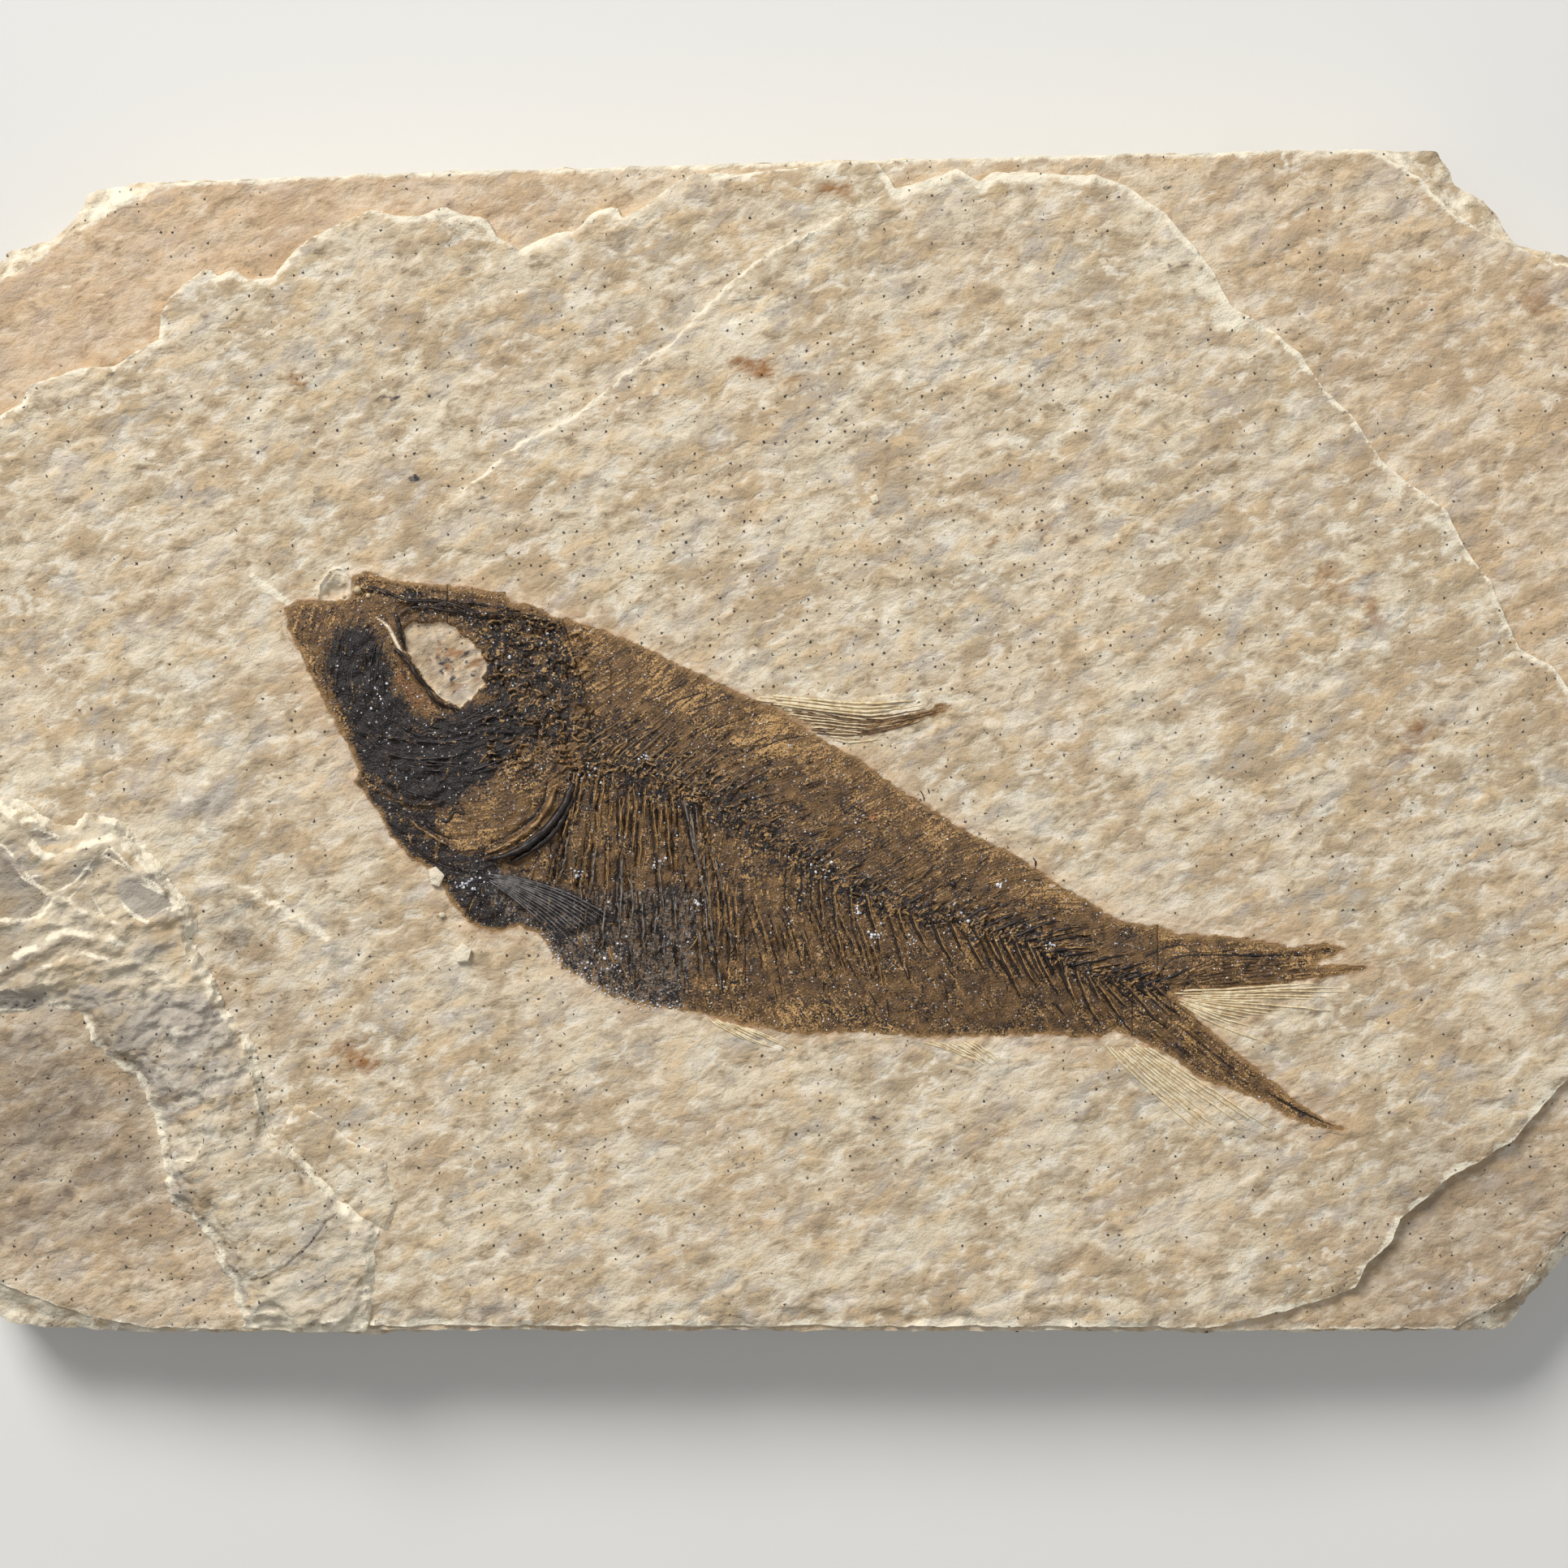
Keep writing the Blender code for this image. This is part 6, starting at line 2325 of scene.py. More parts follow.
    def lay_fibres(self) -> None:
        """Scatter short fibres, light and dark, along the run of the flesh and bones."""
        low, high = from_sheet(BODY_FILM).min(axis=0), from_sheet(BODY_FILM).max(axis=0)
        head = self.net.inside(from_sheet(HEAD_EDGE))
        in_body = (self.body > 0.7) & ~head
        for _ in range(self.FIBRES):
            point = self.random.uniform(low, high)
            cell = self.net.cell(point)
            if self.random.random() < 0.75 * self.golden[cell]:
                continue
            above = self.over[cell] > 0
            turn = float(self.fibre_angle(self.down[cell], above))
            lean = self.spine_point(float(np.clip(self.down[cell] / self.length, 0, 1)))[1]
            angle = lean + (turn if above else -turn) + self.random.normal(0, 12)
            line = self.arched(point, angle, self.some(0.5, 2.0), self.random.normal(0, 14))
            if self.random.random() < 0.5 and in_body[cell]:
                kind = Rod.DARK if self.random.random() < 0.55 else Rod.GOLDEN
                self.rod(kind, line[:: self.random.integers(1, 3)], self.some(0.03, 0.065))
            if self.random.random() < 0.6:
                self.slit(line[::2], 0.14, self.some(0.01, 0.06), self.some(0.2, 0.8))
            else:
                self.bone(line[::2], 0.14, self.some(0.02, 0.06),
                          pale=self.some(0.3, 0.9))

    def lay_head(self) -> None:
        """Lay the skull roof, jaws, cheek, gill cover and shoulder bone."""
        eye = from_sheet([self.EYE])[0]
        cheek = self.net.inside(from_sheet(BLACK_CHEEK)) | self.net.inside(from_sheet(DARK_JAW))
        for _ in range(self.HEAD_FIBRES):
            angle = self.random.uniform(math.radians(150), math.radians(395))
            reach = self.some(4.6, 13.0)
            point = eye + reach * np.array((math.cos(angle), 0.92 * math.sin(angle)))
            lean = math.degrees(angle) + 88 + self.random.normal(0, 7)
            line = self.arched(point, lean, self.some(0.8, 3.6), 14)
            if self.random.random() < 0.45:
                self.bone(line, 0.14, self.some(0.05, 0.12), pale=self.some(0.2, 0.7))
            else:
                self.slit(line, 0.15, 0.06, self.some(0.5, 1.0))
            if self.random.random() < 0.5 and cheek[self.net.cell(line[3])]:
                self.rod(Rod.CHEEK, line, self.some(0.035, 0.07))
        for _ in range(self.HEAD_SCALES):
            square = self.random.uniform((600, 766), (726, 950))
            radius = self.some(3, 11)
            start = self.some(0, 360)
            turns = np.radians(start + np.arange(0, 240, 40))
            ring = from_sheet(square + radius * np.column_stack((np.cos(turns), 0.7 * np.sin(turns))))
            self.bone(ring, 0.15, 0.15, pale=self.some(0.2, 0.9))
            self.slit(ring + (0.2, -0.22), 0.17, 0.09, self.some(0.6, 1.0))
            if self.random.random() < 0.45:
                kind = Rod.GOLDEN if self.random.random() < 0.5 else Rod.BROWN
                self.rod(kind, self.crooked(ring[:5]), self.some(0.05, 0.11))
        for squares, half_width, rise, dark, pale in self.HEAD_BONES:
            line = curve_through(squares, 24)
            self.bone(line, half_width, rise, dark, pale)
            if dark >= 0.8:
                self.rod(Rod.DARK, self.crooked(line), 0.60 * half_width)
                self.rod(Rod.DARK, self.crooked(line + (0.1, 0.12)), 0.35 * half_width)
            elif pale >= 0.9:
                self.rod(Rod.GOLDEN, self.crooked(line), 0.55 * half_width)
            elif pale >= 0.6:
                self.rod(Rod.CHEEK, self.crooked(line[2:20]), 0.5 * half_width)
        for squares, half_width, depth, dark in self.HEAD_SLITS:
            line = curve_through(squares, 20)
            self.slit(line, half_width, depth, dark)
            self.rod(Rod.DARK, line, 0.5 * half_width)

    def crooked(self, line: np.ndarray, stray: float = 0.028) -> np.ndarray:
        """Give the line with small irregular bends."""
        bends = np.cumsum(self.random.normal(0, stray, line.shape), axis=0)
        return line + bends - np.linspace(0, 1, len(line))[:, None] * bends[-1]

    def lay_tail_rays(self) -> None:
        """Lay the rays in both lobes of the tail fin, its black edges and the hooks of the back."""
        for first, last in self.TAIL_LOBES:
            for i in range(9):
                line = curve_through(between(first, last, i / 8), 18)
                line = line[self.random.integers(0, 5) : self.random.integers(11, 18)]
                self.slit(line, 0.14, 0.06, self.some(0.3, 0.9))
                self.rod(Rod.BROWN, line, 0.05, 0.1)
                self.bone(line + (0, -0.22), 0.15, 0.06, pale=self.some(0.1, 0.5))
        for squares in self.TAIL_EDGES:
            self.slit(curve_through(squares, 16), 0.26, 0.06, 0.9)
            self.rod(Rod.DARK, curve_through(squares, 16), 0.09, 0.1)
        for hook in self.HOOKS:
            self.rod(Rod.DARK, curve_through(hook, 7), 0.09, -9.0)

    def build(self) -> bpy.types.Object:
        """Build the fish as one closed sheet.

        Returns:
            The mesh object.
        """
        self.lay_fibres()
        self.lay_spines(True, 52, 0.02, 0.97, 8.0)
        self.lay_spines(False, 34, 0.40, 0.98, 10.5)
        self.lay_ribs()
        self.lay_flank()
        self.lay_tail_rays()
        self.lay_backbone()
        self.lay_head()
        net = self.net
        window = net.near(self.outline, 3.0)
        depth = window.depth + self.margin
        x, y, cells = fitted(net, Nearness(depth, *window.off_edge(net, self.margin)))
        masks = self.masks()
        z = self.surface(x, y, depth, masks)
        self.height = z
        mesh = net_mesh(net, x, y, z, cells, masks)
        self.add_underside(mesh)
        return as_object("fish_bones", mesh, 60.0)

    def surface(self, x: Field, y: Field, depth: Field, masks: dict[str, Field]) -> Field:
        """Give the sheet's height: flush with the stone at its rim, with the bones standing up.

        Args:
            x: Places across.
            y: Places up.
            depth: Distance in from the sheet's rim.
            masks: The masks of the finish.

        Returns:
            Heights over the slab's back.
        """
        net = self.net
        film = masks["film"]
        z = FACE_HEIGHT + self.face.height(x, y) * (1 - 0.5 * film) - self.RIM_DROP
        z = z + self.RIM_RISE * smooth(depth / 0.5)
        inner = net.depth(BODY_FILM, 3.0)
        z = z + self.FILM_RISE * film + self.BODY_SWELL * smooth(inner / 2.6)
        uneven = 0.55 + 0.9 * smooth(0.5 + 1.1 * Grain(114).layered(x, y, 1.6, 3))
        z = z + self.BONE_RISE * film * uneven * (self.rise - self.groove)
        z = z - self.EYE_DEPTH * net.zone(EYE_EDGE, 0.35, 0.16, 101)
        z = z + self.GILL_SWELL * net.zone(GILL_COVER, 2.4) + self.CHEEK_SWELL * net.zone(BLACK_CHEEK, 2.0)
        clump = Grain(102).layered(x, y, 0.9, 3)
        z = z + 0.07 * clump * film * (1 + 1.2 * masks["dark"])
        ring = net.drawn(self.BUBBLE, 24, 0.20, 1.0, 0.0)
        ring = np.maximum(ring, net.drawn(self.INNER_BUBBLE, 20, 0.17, 0.7, 0.0))
        return z - self.PIT_DEPTH * net.zone(self.PIT, 0.4) + self.BUBBLE_RISE * ring

    def parts(self) -> Parts:
        """Mark the parts of the body that have their own tones."""
        net = self.net
        u, v = to_sheet(net.x, net.y)
        share = np.clip(self.down / self.length, 0, 1)
        band = smooth(1.25 - np.abs(self.over) / (3.1 - 2.4 * share)) * (self.down > 0)
        return Parts(
            eye=net.zone(EYE_EDGE, 0.20, 0.16, 101),
            cheek=net.zone(BLACK_CHEEK, 1.7, 0.9, 105),
            jaw=net.zone(DARK_JAW, 0.7, 0.3, 107),
            belly=net.zone(GREY_BELLY, 0.6, 0.2, 108),
            cover=net.zone(GILL_COVER, 0.7, 0.3, 109),
            upper_cover=smooth((1004 - v) / 50),
            nape=net.zone(DARK_NAPE, 0.9, 0.5, 106),
            paddle=net.zone(PECTORAL_FIN, 0.4, 0.1, 119),
            snout=net.zone(SNOUT, 1.1, 0.5, 111),
            tail=smooth((u - 1400) / 60),
            band=band * (1 - net.inside(from_sheet(HEAD_EDGE))),
            uneven=0.55 + 0.45 * smooth(0.5 + 1.3 * net.grain(115, 1.9)),
            blotch=net.grain(116, 2.2, 4),
        )

    def bone_tones(self, part: Parts, depth: Field) -> dict[str, Field]:
        """Give the masks of the bone's own tones and fibres.

        Args:
            part: The parts of the body.
            depth: Depth inside the body's film.

        Returns:
            The masks, by name.
        """
        net, golden, cover = self.net, self.golden, part.cover
        regions = np.maximum.reduce([
            1.15 * part.cheek, 0.82 * part.nape, 0.95 * part.jaw, 0.56 * part.belly, 0.70 * part.band,
            0.95 * part.paddle, np.clip(0.26 + 0.30 * part.blotch, 0, 0.6) * (1 - 0.55 * part.tail),
        ])
        regions = regions * (1 - 0.75 * golden * (1 - part.band)) * (1 - 0.4 * part.snout)
        regions = regions * (1 - cover) + (0.05 + 0.38 * part.upper_cover) * cover
        lines = part.uneven * (1 - 0.45 * golden) * (1 - 0.5 * cover * (1 - part.upper_cover))
        dark = np.maximum(regions, self.dark * lines) * (1 - 0.85 * self.pale * part.uneven)
        amber = 0.17 + 0.25 * (part.blotch + golden) + 0.16 * cover + 0.15 * part.snout + 0.18 * part.tail
        amber = np.maximum(amber, 0.95 * self.pale * lines) + net.spots(self.AMBER)
        amber = amber + 0.07 * smooth(1.2 - depth / 1.2) * (depth > 0)
        amber = amber * (1 - 0.8 * part.cheek * (1 - self.pale)) * (1 - 0.7 * part.belly * (1 - self.pale))
        ash = 0.66 * part.belly * (1 - 0.6 * part.paddle) + 0.30 * part.jaw + 0.20 * part.cheek
        ash = ash + 0.7 * net.drawn(LooseGrains.CRUST, 60, 0.42) + 0.7 * net.spot((584, 1085), (1.8, 1.6))
        grainy = (0.30 + 0.75 * part.band + 0.45 * part.nape + 0.15 * part.belly) * (1 - 0.6 * part.cheek)
        grainy = grainy * (1 - 0.6 * golden) * (1 - 0.8 * part.tail) * (1 - 0.5 * cover)
        orange = 0.55 * net.zone(self.EYE_SOCKET, 0.5, 0.25, 112) + 0.30 * part.snout
        across, along = self.fibres()
        return {
            "dark": np.clip(dark, 0, 1.2),
            "amber": np.clip(amber, 0, 1.2),
            "ash": np.clip(ash, 0, 1),
            "grainy": np.clip(grainy, 0, 1),
            "orange": np.clip(orange + net.spots(self.ORANGE), 0, 1.1) * (1 - 0.6 * self.dark),
            "across": across,
            "along": along,
        }

    def masks(self) -> dict[str, Field]:
        """Give the masks that the finishes read."""
        net = self.net
        part = self.parts()
        eye = part.eye
        depth = net.depth(BODY_FILM, 2.0)
        fray = 0.14 * net.grain(103, 0.7)
        edge = depth + fray
        body = np.clip(0.5 + np.where(edge > 0, edge / 1.5, edge / 0.42), 0, 1)
        tip = smooth((to_sheet(net.x, net.y)[0] - 1040) / 110)
        dorsal = net.depth(DORSAL_FILM, 1.0) + 1.4 * fray
        fin = (0.40 + 0.16 * tip) * smooth(0.5 + dorsal / 0.5)
        strip = net.drawn(self.PALE_STRIP, 16, 0.32, 1.0, 0.5)
        bar = np.maximum(net.drawn(self.EYE_BARS[0], 20, 0.30), net.drawn(self.EYE_BARS[1], 12, 0.24))
        dirt = net.zone(EYE_DIRT, 1.0, 0.5, 113) * eye
        flecks = smooth(0.45 + 1.7 * net.grain(104, 0.9))
        rust = 0.50 * smooth(1 + depth / 0.55) * (1 - eye) + eye * (0.20 + 0.46 * dirt) * flecks
        fin_stain_and_painted_shade = np.maximum.reduce([net.zone(squares, 0.5, 0.2, 118) for squares in FIN_WEBS])
        fresh = 0.30 * eye * (1 - dirt) + 0.9 * strip + 0.5 * net.spot((414, 720), (0.9, 0.7))
        crumbs = smooth(0.35 + 1.8 * net.grain(117, 0.8))
        soot_and_painted_shadow = 0.62 * dirt * crumbs + 0.45 * net.drawn(self.BUBBLE, 24, 0.24, 1.0, 0.0)
        return {
            **stone_tones(net),
            **self.bone_tones(part, depth),
            "film": np.maximum(body, fin) * (1 - np.maximum(eye, strip) * (1 - bar)),
            "fresh": np.clip(fresh, 0, 1),
            "warm": 0.55 * smooth(1 + depth / 1.2) * (1 - eye) + 0.35 * eye,
            # Brown over the fins: partly their own stain, partly painted shade between the rays.
            "rust": rust + 0.25 * (fin > 0.05) + 0.24 * fin_stain_and_painted_shade,
            "soot_and_painted_shadow": np.clip(soot_and_painted_shadow, 0, 1),
            "calm": 0.3 * eye,
            # Mottled painted shade in the sunken eye.
            "painted_shade": 0.34 * eye * smooth(0.35 + 1.9 * net.grain(119, 0.7)),
        }

    def add_underside(self, mesh: bmesh.types.BMesh) -> None:
        """Turn the sheet's rim down into the stone and close it below."""
        rim = [edge for edge in mesh.edges if edge.is_boundary]
        low = dropped(mesh, rim, FACE_HEIGHT - self.SUNK)
        bmesh.ops.contextual_create(mesh, geom=low)
        bmesh.ops.recalc_face_normals(mesh, faces=mesh.faces)

    def height_at(self, x: Field, y: Field) -> Field:
        """Give the height of the sheet at places on it."""
        return self.net.read(self.height, np.column_stack((x, y)))


@dataclass(frozen=True)
class RayFan:
    """A fan of fin rays between its first ray and its last."""

    name: str
    first: Squares
    last: Squares
    count: int
    radius: float
    finish: RayFinish
    lift: float = 0.0
    shortest: float = 0.8
    wander: float = 0.06
    seed: int = 1

    def build(self, height_at: Callable[[Field, Field], Field]) -> bpy.types.Object:
        """Build the fan as one mesh of thin bent rods, half sunk in the face.

        Args:
            height_at: Gives the height of the surface at places on it.

        Returns:
            The mesh object.
        """
        random = np.random.default_rng(self.seed)
        rods = []
        for i in range(self.count):
            line = curve_through(between(self.first, self.last, i / max(1, self.count - 1)), 26)
            line = line[random.integers(0, 4) : max(9, int(26 * random.uniform(self.shortest, 1.0)))]
            drift = np.cumsum(random.normal(0, self.wander / 3, line.shape), axis=0)
            line = line + drift - np.linspace(0, 1, len(line))[:, None] * drift[-1] * 0.5
            heights = height_at(line[:, 0], line[:, 1]) + self.lift
            width = np.minimum(1.0, 0.25 + 3.0 * np.linspace(1, 0, len(line)))
            width = width * random.uniform(0.85, 1.1, len(line)) * self.radius
            rods.append((np.column_stack((line, heights)), width))
        return rod_mesh(self.name, rods, 1)


def rod_mesh(name: str, rods: list[tuple[np.ndarray, Field]], roundness: int) -> bpy.types.Object:
    """Build bent rods of uneven thickness as one mesh.

    Args:
        name: The piece's name.
        rods: Points along each rod and its radius at each, in millimetres.
        roundness: How finely the rods are rounded.

    Returns:
        The mesh object.
    """
    curve = bpy.data.curves.new(name, "CURVE")
    curve.dimensions = "3D"
    curve.bevel_depth = MM
    curve.bevel_resolution = roundness
    curve.use_fill_caps = True
    for places, width in rods:
        spline = curve.splines.new("POLY")
        spline.points.add(len(width) - 1)
        weighted = np.column_stack((places * MM, np.ones(len(width))))
        spline.points.foreach_set("co", weighted.ravel())
        spline.points.foreach_set("radius", width)
    guide = bpy.data.objects.new(name + "_guide", curve)
    bpy.context.scene.collection.objects.link(guide)
    bpy.context.view_layer.update()
    graph = bpy.context.evaluated_depsgraph_get()
    data = bpy.data.meshes.new_from_object(guide.evaluated_get(graph))
    bpy.data.objects.remove(guide, do_unlink=True)
    data.name = name
    data.shade_smooth()
    piece = bpy.data.objects.new(name, data)
    bpy.context.scene.collection.objects.link(piece)
    return piece


PALE_RAY = RayFinish("pale_ray", tone(240, 226, 192), tone(208, 184, 140), 0.75)
BROWN_RAY = RayFinish("brown_ray", tone(128, 94, 58), tone(78, 56, 36), 0.55)
GREY_RAY = RayFinish("grey_ray", tone(122, 117, 114), tone(72, 68, 68), 0.5)
ROD_TONES = {  # light, dark, roughness
    Rod.DARK: (tone(52, 39, 32), tone(28, 22, 20), 0.42),
    Rod.GOLDEN: (tone(178, 142, 94), tone(116, 86, 52), 0.5),
    Rod.BROWN: (tone(116, 88, 58), tone(56, 42, 32), 0.5),
    Rod.GREY: (tone(142, 136, 128), tone(84, 76, 70), 0.5),
    Rod.CHEEK: (tone(86, 78, 76), tone(30, 26, 28), 0.4),
}


class Fins:
    """Every fan of fin rays, on the stone or on the fish."""

    FANS = [
        RayFan("dorsal_rays_top", [(926, 856), (985, 860), (1060, 868), (1112, 865), (1140, 861)],
               [(936, 866), (990, 872), (1056, 880), (1092, 880), (1106, 878)],
               4, 0.085, PALE_RAY, lift=0.05, shortest=0.75, seed=208),
        RayFan("dorsal_rays_pale", [(928, 858), (985, 863), (1060, 872), (1120, 868), (1150, 862)],
               [(1030, 912), (1045, 914), (1062, 914), (1078, 912), (1092, 910)],
               11, 0.062, PALE_RAY, lift=0.02, shortest=0.5, seed=201),
        RayFan("dorsal_rays_brown", [(950, 868), (1005, 876), (1070, 884), (1130, 876), (1176, 867)],
               [(1000, 902), (1040, 906), (1075, 904), (1110, 896), (1150, 882)],
               9, 0.06, BROWN_RAY, lift=0.02, shortest=0.7, seed=202),
        RayFan("tail_web_rays", [(1446, 1222), (1520, 1219), (1590, 1214), (1650, 1212), (1706, 1211)],
               [(1454, 1236), (1484, 1254), (1522, 1270), (1562, 1284), (1604, 1298)],
               15, 0.07, PALE_RAY, lift=0.03, shortest=0.5, seed=203),
        RayFan("anal_rays", [(1354, 1280), (1384, 1312), (1420, 1346), (1458, 1378), (1500, 1408)],
               [(1402, 1283), (1442, 1309), (1484, 1337), (1526, 1365), (1570, 1394)],
               11, 0.085, PALE_RAY, lift=0.04, shortest=0.55, seed=204),
        RayFan("front_anal_rays", [(1132, 1282), (1158, 1292), (1184, 1302), (1206, 1312)],
               [(1196, 1282), (1212, 1292), (1228, 1306), (1238, 1320)],
               10, 0.06, PALE_RAY, lift=0.03, shortest=0.5, seed=205),
        RayFan("pelvic_rays", [(868, 1252), (890, 1266), (915, 1280), (945, 1292)],
               [(905, 1262), (940, 1274), (975, 1290), (1004, 1302)],
               9, 0.07, PALE_RAY, lift=0.04, shortest=0.5, seed=206),
        RayFan("pectoral_rays", [(602, 1077), (648, 1084), (700, 1101), (740, 1122), (762, 1136)],
               [(604, 1086), (630, 1104), (660, 1129), (682, 1152), (690, 1164)],
               13, 0.07, GREY_RAY, lift=0.06, wander=0.02, seed=207),
    ]

    def __init__(self, fish: Fish) -> None:
        """Remember the fish that the rays belong to."""
        self.fish = fish

    def build(self) -> None:
        """Build and dress every fan; fans of one finish share its material."""
        finishes: dict[str, bpy.types.Material] = {}
        for fan in self.FANS:
            piece = fan.build(self.fish.height_at)
            if fan.finish.name not in finishes:
                finishes[fan.finish.name] = fan.finish.material()
            settle(piece, finishes[fan.finish.name], "fossil_fish")


class LooseGrains:
    """Bright mineral grains on the fish, and the few chips and beads stuck to the face."""

    CLUSTERS = [  # square, grains, spread in squares
        ((797, 933), 8, 7), ((860, 1115), 14, 9), ((1080, 1150), 16, 10), ((1060, 1124), 10, 9),
        ((1123, 1159), 9, 8), ((1292, 1166), 9, 6), ((1233, 1091), 8, 6), ((812, 1060), 9, 9),
        ((710, 1076), 7, 7), ((580, 1090), 22, 20), ((1010, 1070), 10, 16), ((720, 950), 12, 18),
        ((1180, 1120), 12, 25), ((640, 800), 10, 30), ((470, 860), 14, 30), ((740, 1180), 26, 30),
    ]
    CRUST = [(667, 1152), (700, 1192), (750, 1221), (800, 1238), (840, 1240)]
    CHIPS = [  # outline, height
        ([(528, 1072), (537, 1068), (548, 1079), (541, 1093), (531, 1090)], 0.34),
        ([(560, 1172), (570, 1162), (581, 1170), (577, 1185), (563, 1186)], 0.36),
        ([(932, 1013), (944, 1012), (942, 1020), (935, 1022)], 0.16),
        ([(1071, 613), (1079, 609), (1083, 618), (1075, 622)], 0.16),
        ([(540, 1126), (547, 1124), (549, 1130), (543, 1132)], 0.12),
    ]
    BEADS = [  # square, radius, height of its middle
        ((441, 727), 0.33, 0.06), ((454, 734), 0.20, 0.04), ((424, 735), 0.16, 0.0),
    ]
    DARK_BEADS = [((1174, 1089), 0.24, 0.0), ((511, 588), 0.10, 0.0), ((332, 1301), 0.14, 0.0)]
    SCATTERED = 1300

    def __init__(self, fish: Fish, stone: bpy.types.Material) -> None:
        """Remember the fish that they lie on, and the stone that the chips are of."""
        self.fish = fish
        self.stone = stone
        self.random = np.random.default_rng(41)

    def build(self) -> None:
        """Build and dress the grains, chips and beads."""
        crystal = RayFinish("crystal", tone(238, 238, 240), tone(186, 192, 204), 0.3).material()
        amber = RayFinish("bead", tone(206, 188, 150), tone(170, 146, 106), 0.4).material()
        jet = RayFinish("jet", tone(50, 44, 42), tone(24, 22, 22), 0.3).material()
        settle(self.grains(), crystal, "fossil_fish")
        settle(self.beads("beads", self.BEADS), amber, "limestone_slab")
        settle(self.beads("dark_beads", self.DARK_BEADS), jet, "fossil_fish")
        settle(self.chips(), self.stone, "limestone_slab")

    def places(self) -> np.ndarray:
        """Choose where the grains lie: x, y and size."""
        net = self.fish.net
        film = net.inside(from_sheet(BODY_FILM))
        rows, columns = np.nonzero(film)
        chosen = self.random.integers(0, len(rows), self.SCATTERED)
        found = [np.column_stack((net.xs[columns[chosen]], net.ys[rows[chosen]]))]
        sizes = [self.random.uniform(0.025, 0.070, self.SCATTERED)]
        for square, count, spread in self.CLUSTERS:
            squares = np.array(square) + self.random.normal(0, spread * 0.5, (count, 2))
            found.append(from_sheet(squares))
            sizes.append(self.random.uniform(0.045, 0.12, count))
        crust = curve_through(self.CRUST, 90)
        found.append(crust + self.random.normal(0, 0.22, crust.shape))
        sizes.append(self.random.uniform(0.03, 0.085, len(crust)))
        return np.column_stack((np.vstack(found), np.concatenate(sizes)))

    def grains(self) -> bpy.types.Object:
        """Build the grains as one mesh of small bright stones."""
        mesh = bmesh.new()
        places = self.places()
        heights = self.fish.height_at(places[:, 0], places[:, 1])
        for (x, y, size), z in zip(places, heights):
            turn = Euler(self.random.uniform(0, math.pi, 3)).to_matrix().to_4x4()
            stretch = Matrix.Diagonal((*self.random.uniform(0.6, 1.5, 3), 1))
            matrix = Matrix.Translation(Vector((x, y, z + 0.3 * size)) * MM) @ turn @ stretch
            bmesh.ops.create_icosphere(mesh, subdivisions=1, radius=size * MM, matrix=matrix)
        return as_object("mineral_grains", mesh, 10.0)

    def beads(self, name: str, beads: Sequence) -> bpy.types.Object:
        """Build a few round beads as one mesh.

        Args:
            name: The piece's name.
            beads: Square, radius and height of each.

        Returns:
            The mesh object.
        """
        mesh = bmesh.new()
        for square, radius, lift in beads:
            x, y = from_sheet([square])[0]
            z = float(self.fish.height_at(np.array([x]), np.array([y]))[0])
            z = min(max(z, FACE_HEIGHT - 0.1), FACE_HEIGHT + 0.3)
            matrix = Matrix.Translation(Vector((x, y, z + lift)) * MM)
            bmesh.ops.create_icosphere(mesh, subdivisions=3, radius=radius * MM, matrix=matrix)
        return as_object(name, mesh, 60.0)

    def chips(self) -> bpy.types.Object:
        """Build the loose stone chips as one mesh of small bevelled slabs."""
        mesh = bmesh.new()
        for squares, height in self.CHIPS:
            corners = from_sheet(squares)
            verts = [mesh.verts.new(Vector((x, y, FACE_HEIGHT - 0.1)) * MM) for x, y in corners]
            grown = bmesh.ops.extrude_face_region(mesh, geom=[mesh.faces.new(verts)])["geom"]
            top = [item for item in grown if isinstance(item, bmesh.types.BMVert)]
            rise = Vector((0.04, 0.05, height + 0.16)) * MM
            bmesh.ops.translate(mesh, vec=rise, verts=top)
            ring = {edge for vert in top for edge in vert.link_edges}
            bmesh.ops.bevel(mesh, geom=list(ring), offset=0.07 * MM, offset_type="OFFSET", segments=2,
                            profile=0.5, affect="EDGES", material=-1)
        bmesh.ops.recalc_face_normals(mesh, faces=mesh.faces)
        layer = mesh.verts.layers.float.new("fresh")
        for vert in mesh.verts:
            vert[layer] = 0.5
        return as_object("stone_chips", mesh, 40.0)


# ---------- Studio ----------


@dataclass(frozen=True)
class Lamp:
    """A square soft light that faces the slab; place and side are in millimetres, power in watts."""

    name: str
    place: tuple[float, float, float]
    side: float
    power: float
    colour: tuple[float, float, float]

    def hang(self) -> None:
        """Hang the light."""
        lamp = bpy.data.lights.new(self.name, "AREA")
        lamp.shape = "SQUARE"
        lamp.size = self.side * MM
        lamp.energy = self.power
        lamp.color = self.colour
        hung = bpy.data.objects.new(self.name, lamp)
        bpy.context.scene.collection.objects.link(hung)
        hung.location = Vector(self.place) * MM
        hung.rotation_euler = (-hung.location).to_track_quat("-Z", "Y").to_euler()


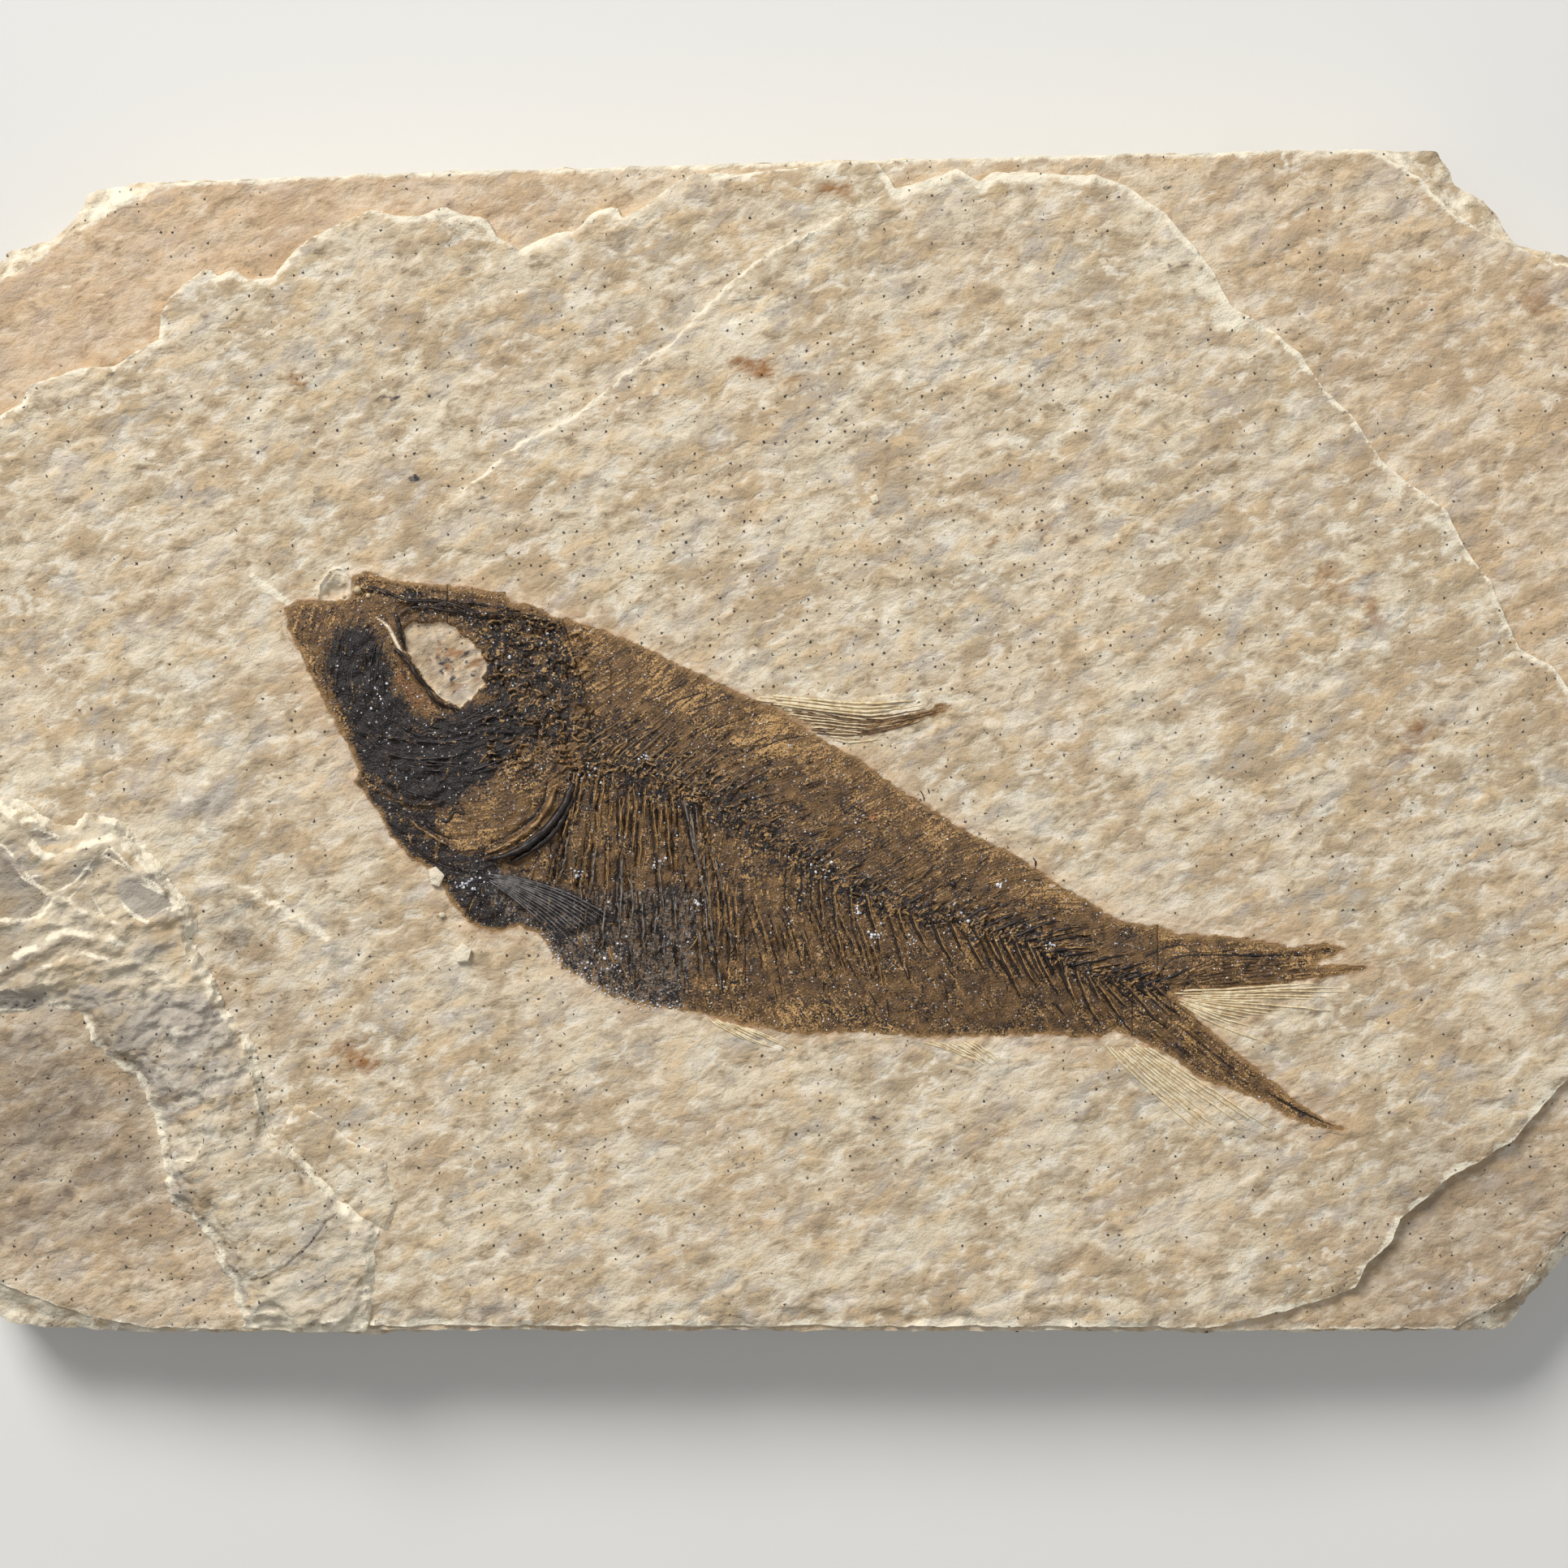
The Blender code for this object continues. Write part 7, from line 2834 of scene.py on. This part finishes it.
@dataclass(frozen=True)
class Studio:
    """A pale floor, soft lights and a camera that looks straight down on the slab."""

    frame_squares: float = 1932
    lens: float = 70.0
    sensor: float = 36.0
    floor_size: float = 4000.0
    haze: float = 0.27
    lamps: tuple[Lamp, ...] = (
        Lamp("key", (-430, 700, 640), 460, 11.9, (1.0, 0.985, 0.96)),
        Lamp("fill", (300, -160, 420), 500, 0.45, (0.97, 0.985, 1.0)),
    )

    def build(self) -> None:
        """Build the floor, the lights, the world and the camera."""
        self.floor()
        self.world()
        for lamp in self.lamps:
            lamp.hang()
        self.camera()

    def floor(self) -> None:
        """Lay the floor."""
        mesh = bmesh.new()
        bmesh.ops.create_grid(mesh, x_segments=2, y_segments=2, size=self.floor_size / 2 * MM)
        floor = as_object("floor", mesh)
        floor.data.materials.append(FloorFinish().material())

    def world(self) -> None:
        """Light everything a little from all sides."""
        world = bpy.data.worlds.new("studio")
        world.use_nodes = True
        background = world.node_tree.nodes["Background"]
        background.inputs["Color"].default_value = (0.95, 0.97, 1.0, 1)
        background.inputs["Strength"].default_value = self.haze
        bpy.context.scene.world = world
        bpy.context.scene.view_settings.view_transform = "Standard"

    def camera(self) -> None:
        """Set the camera over the middle of the sheet's frame."""
        middle = from_sheet([(self.frame_squares / 2, self.frame_squares / 2)])[0]
        width = self.frame_squares * SQUARE
        height = FACE_HEIGHT + width * self.lens / self.sensor
        data = bpy.data.cameras.new("camera")
        data.lens = self.lens
        data.sensor_width = self.sensor
        data.clip_start = 0.01
        camera = bpy.data.objects.new("camera", data)
        bpy.context.scene.collection.objects.link(camera)
        camera.location = Vector((middle[0], middle[1], height)) * MM
        bpy.context.scene.camera = camera


def main() -> None:
    """Build the slab, the fish and the studio, and note the sizes."""
    logging.basicConfig(level=logging.INFO, format="%(name)s %(message)s")
    stone = LimestoneFinish()
    slab = LimestoneSlab(stone)
    slab.build()
    fish = Fish()
    settle(fish.build(), FossilFinish().material(stone), "fossil_fish")
    for kind in Rod:
        finish = RayFinish(kind.value, *ROD_TONES[kind]).material()
        settle(fish.rod_piece(kind), finish, "fossil_fish")
    Fins(fish).build()
    LooseGrains(fish, slab.material).build()
    Studio().build()


if __name__ == "__main__":
    main()
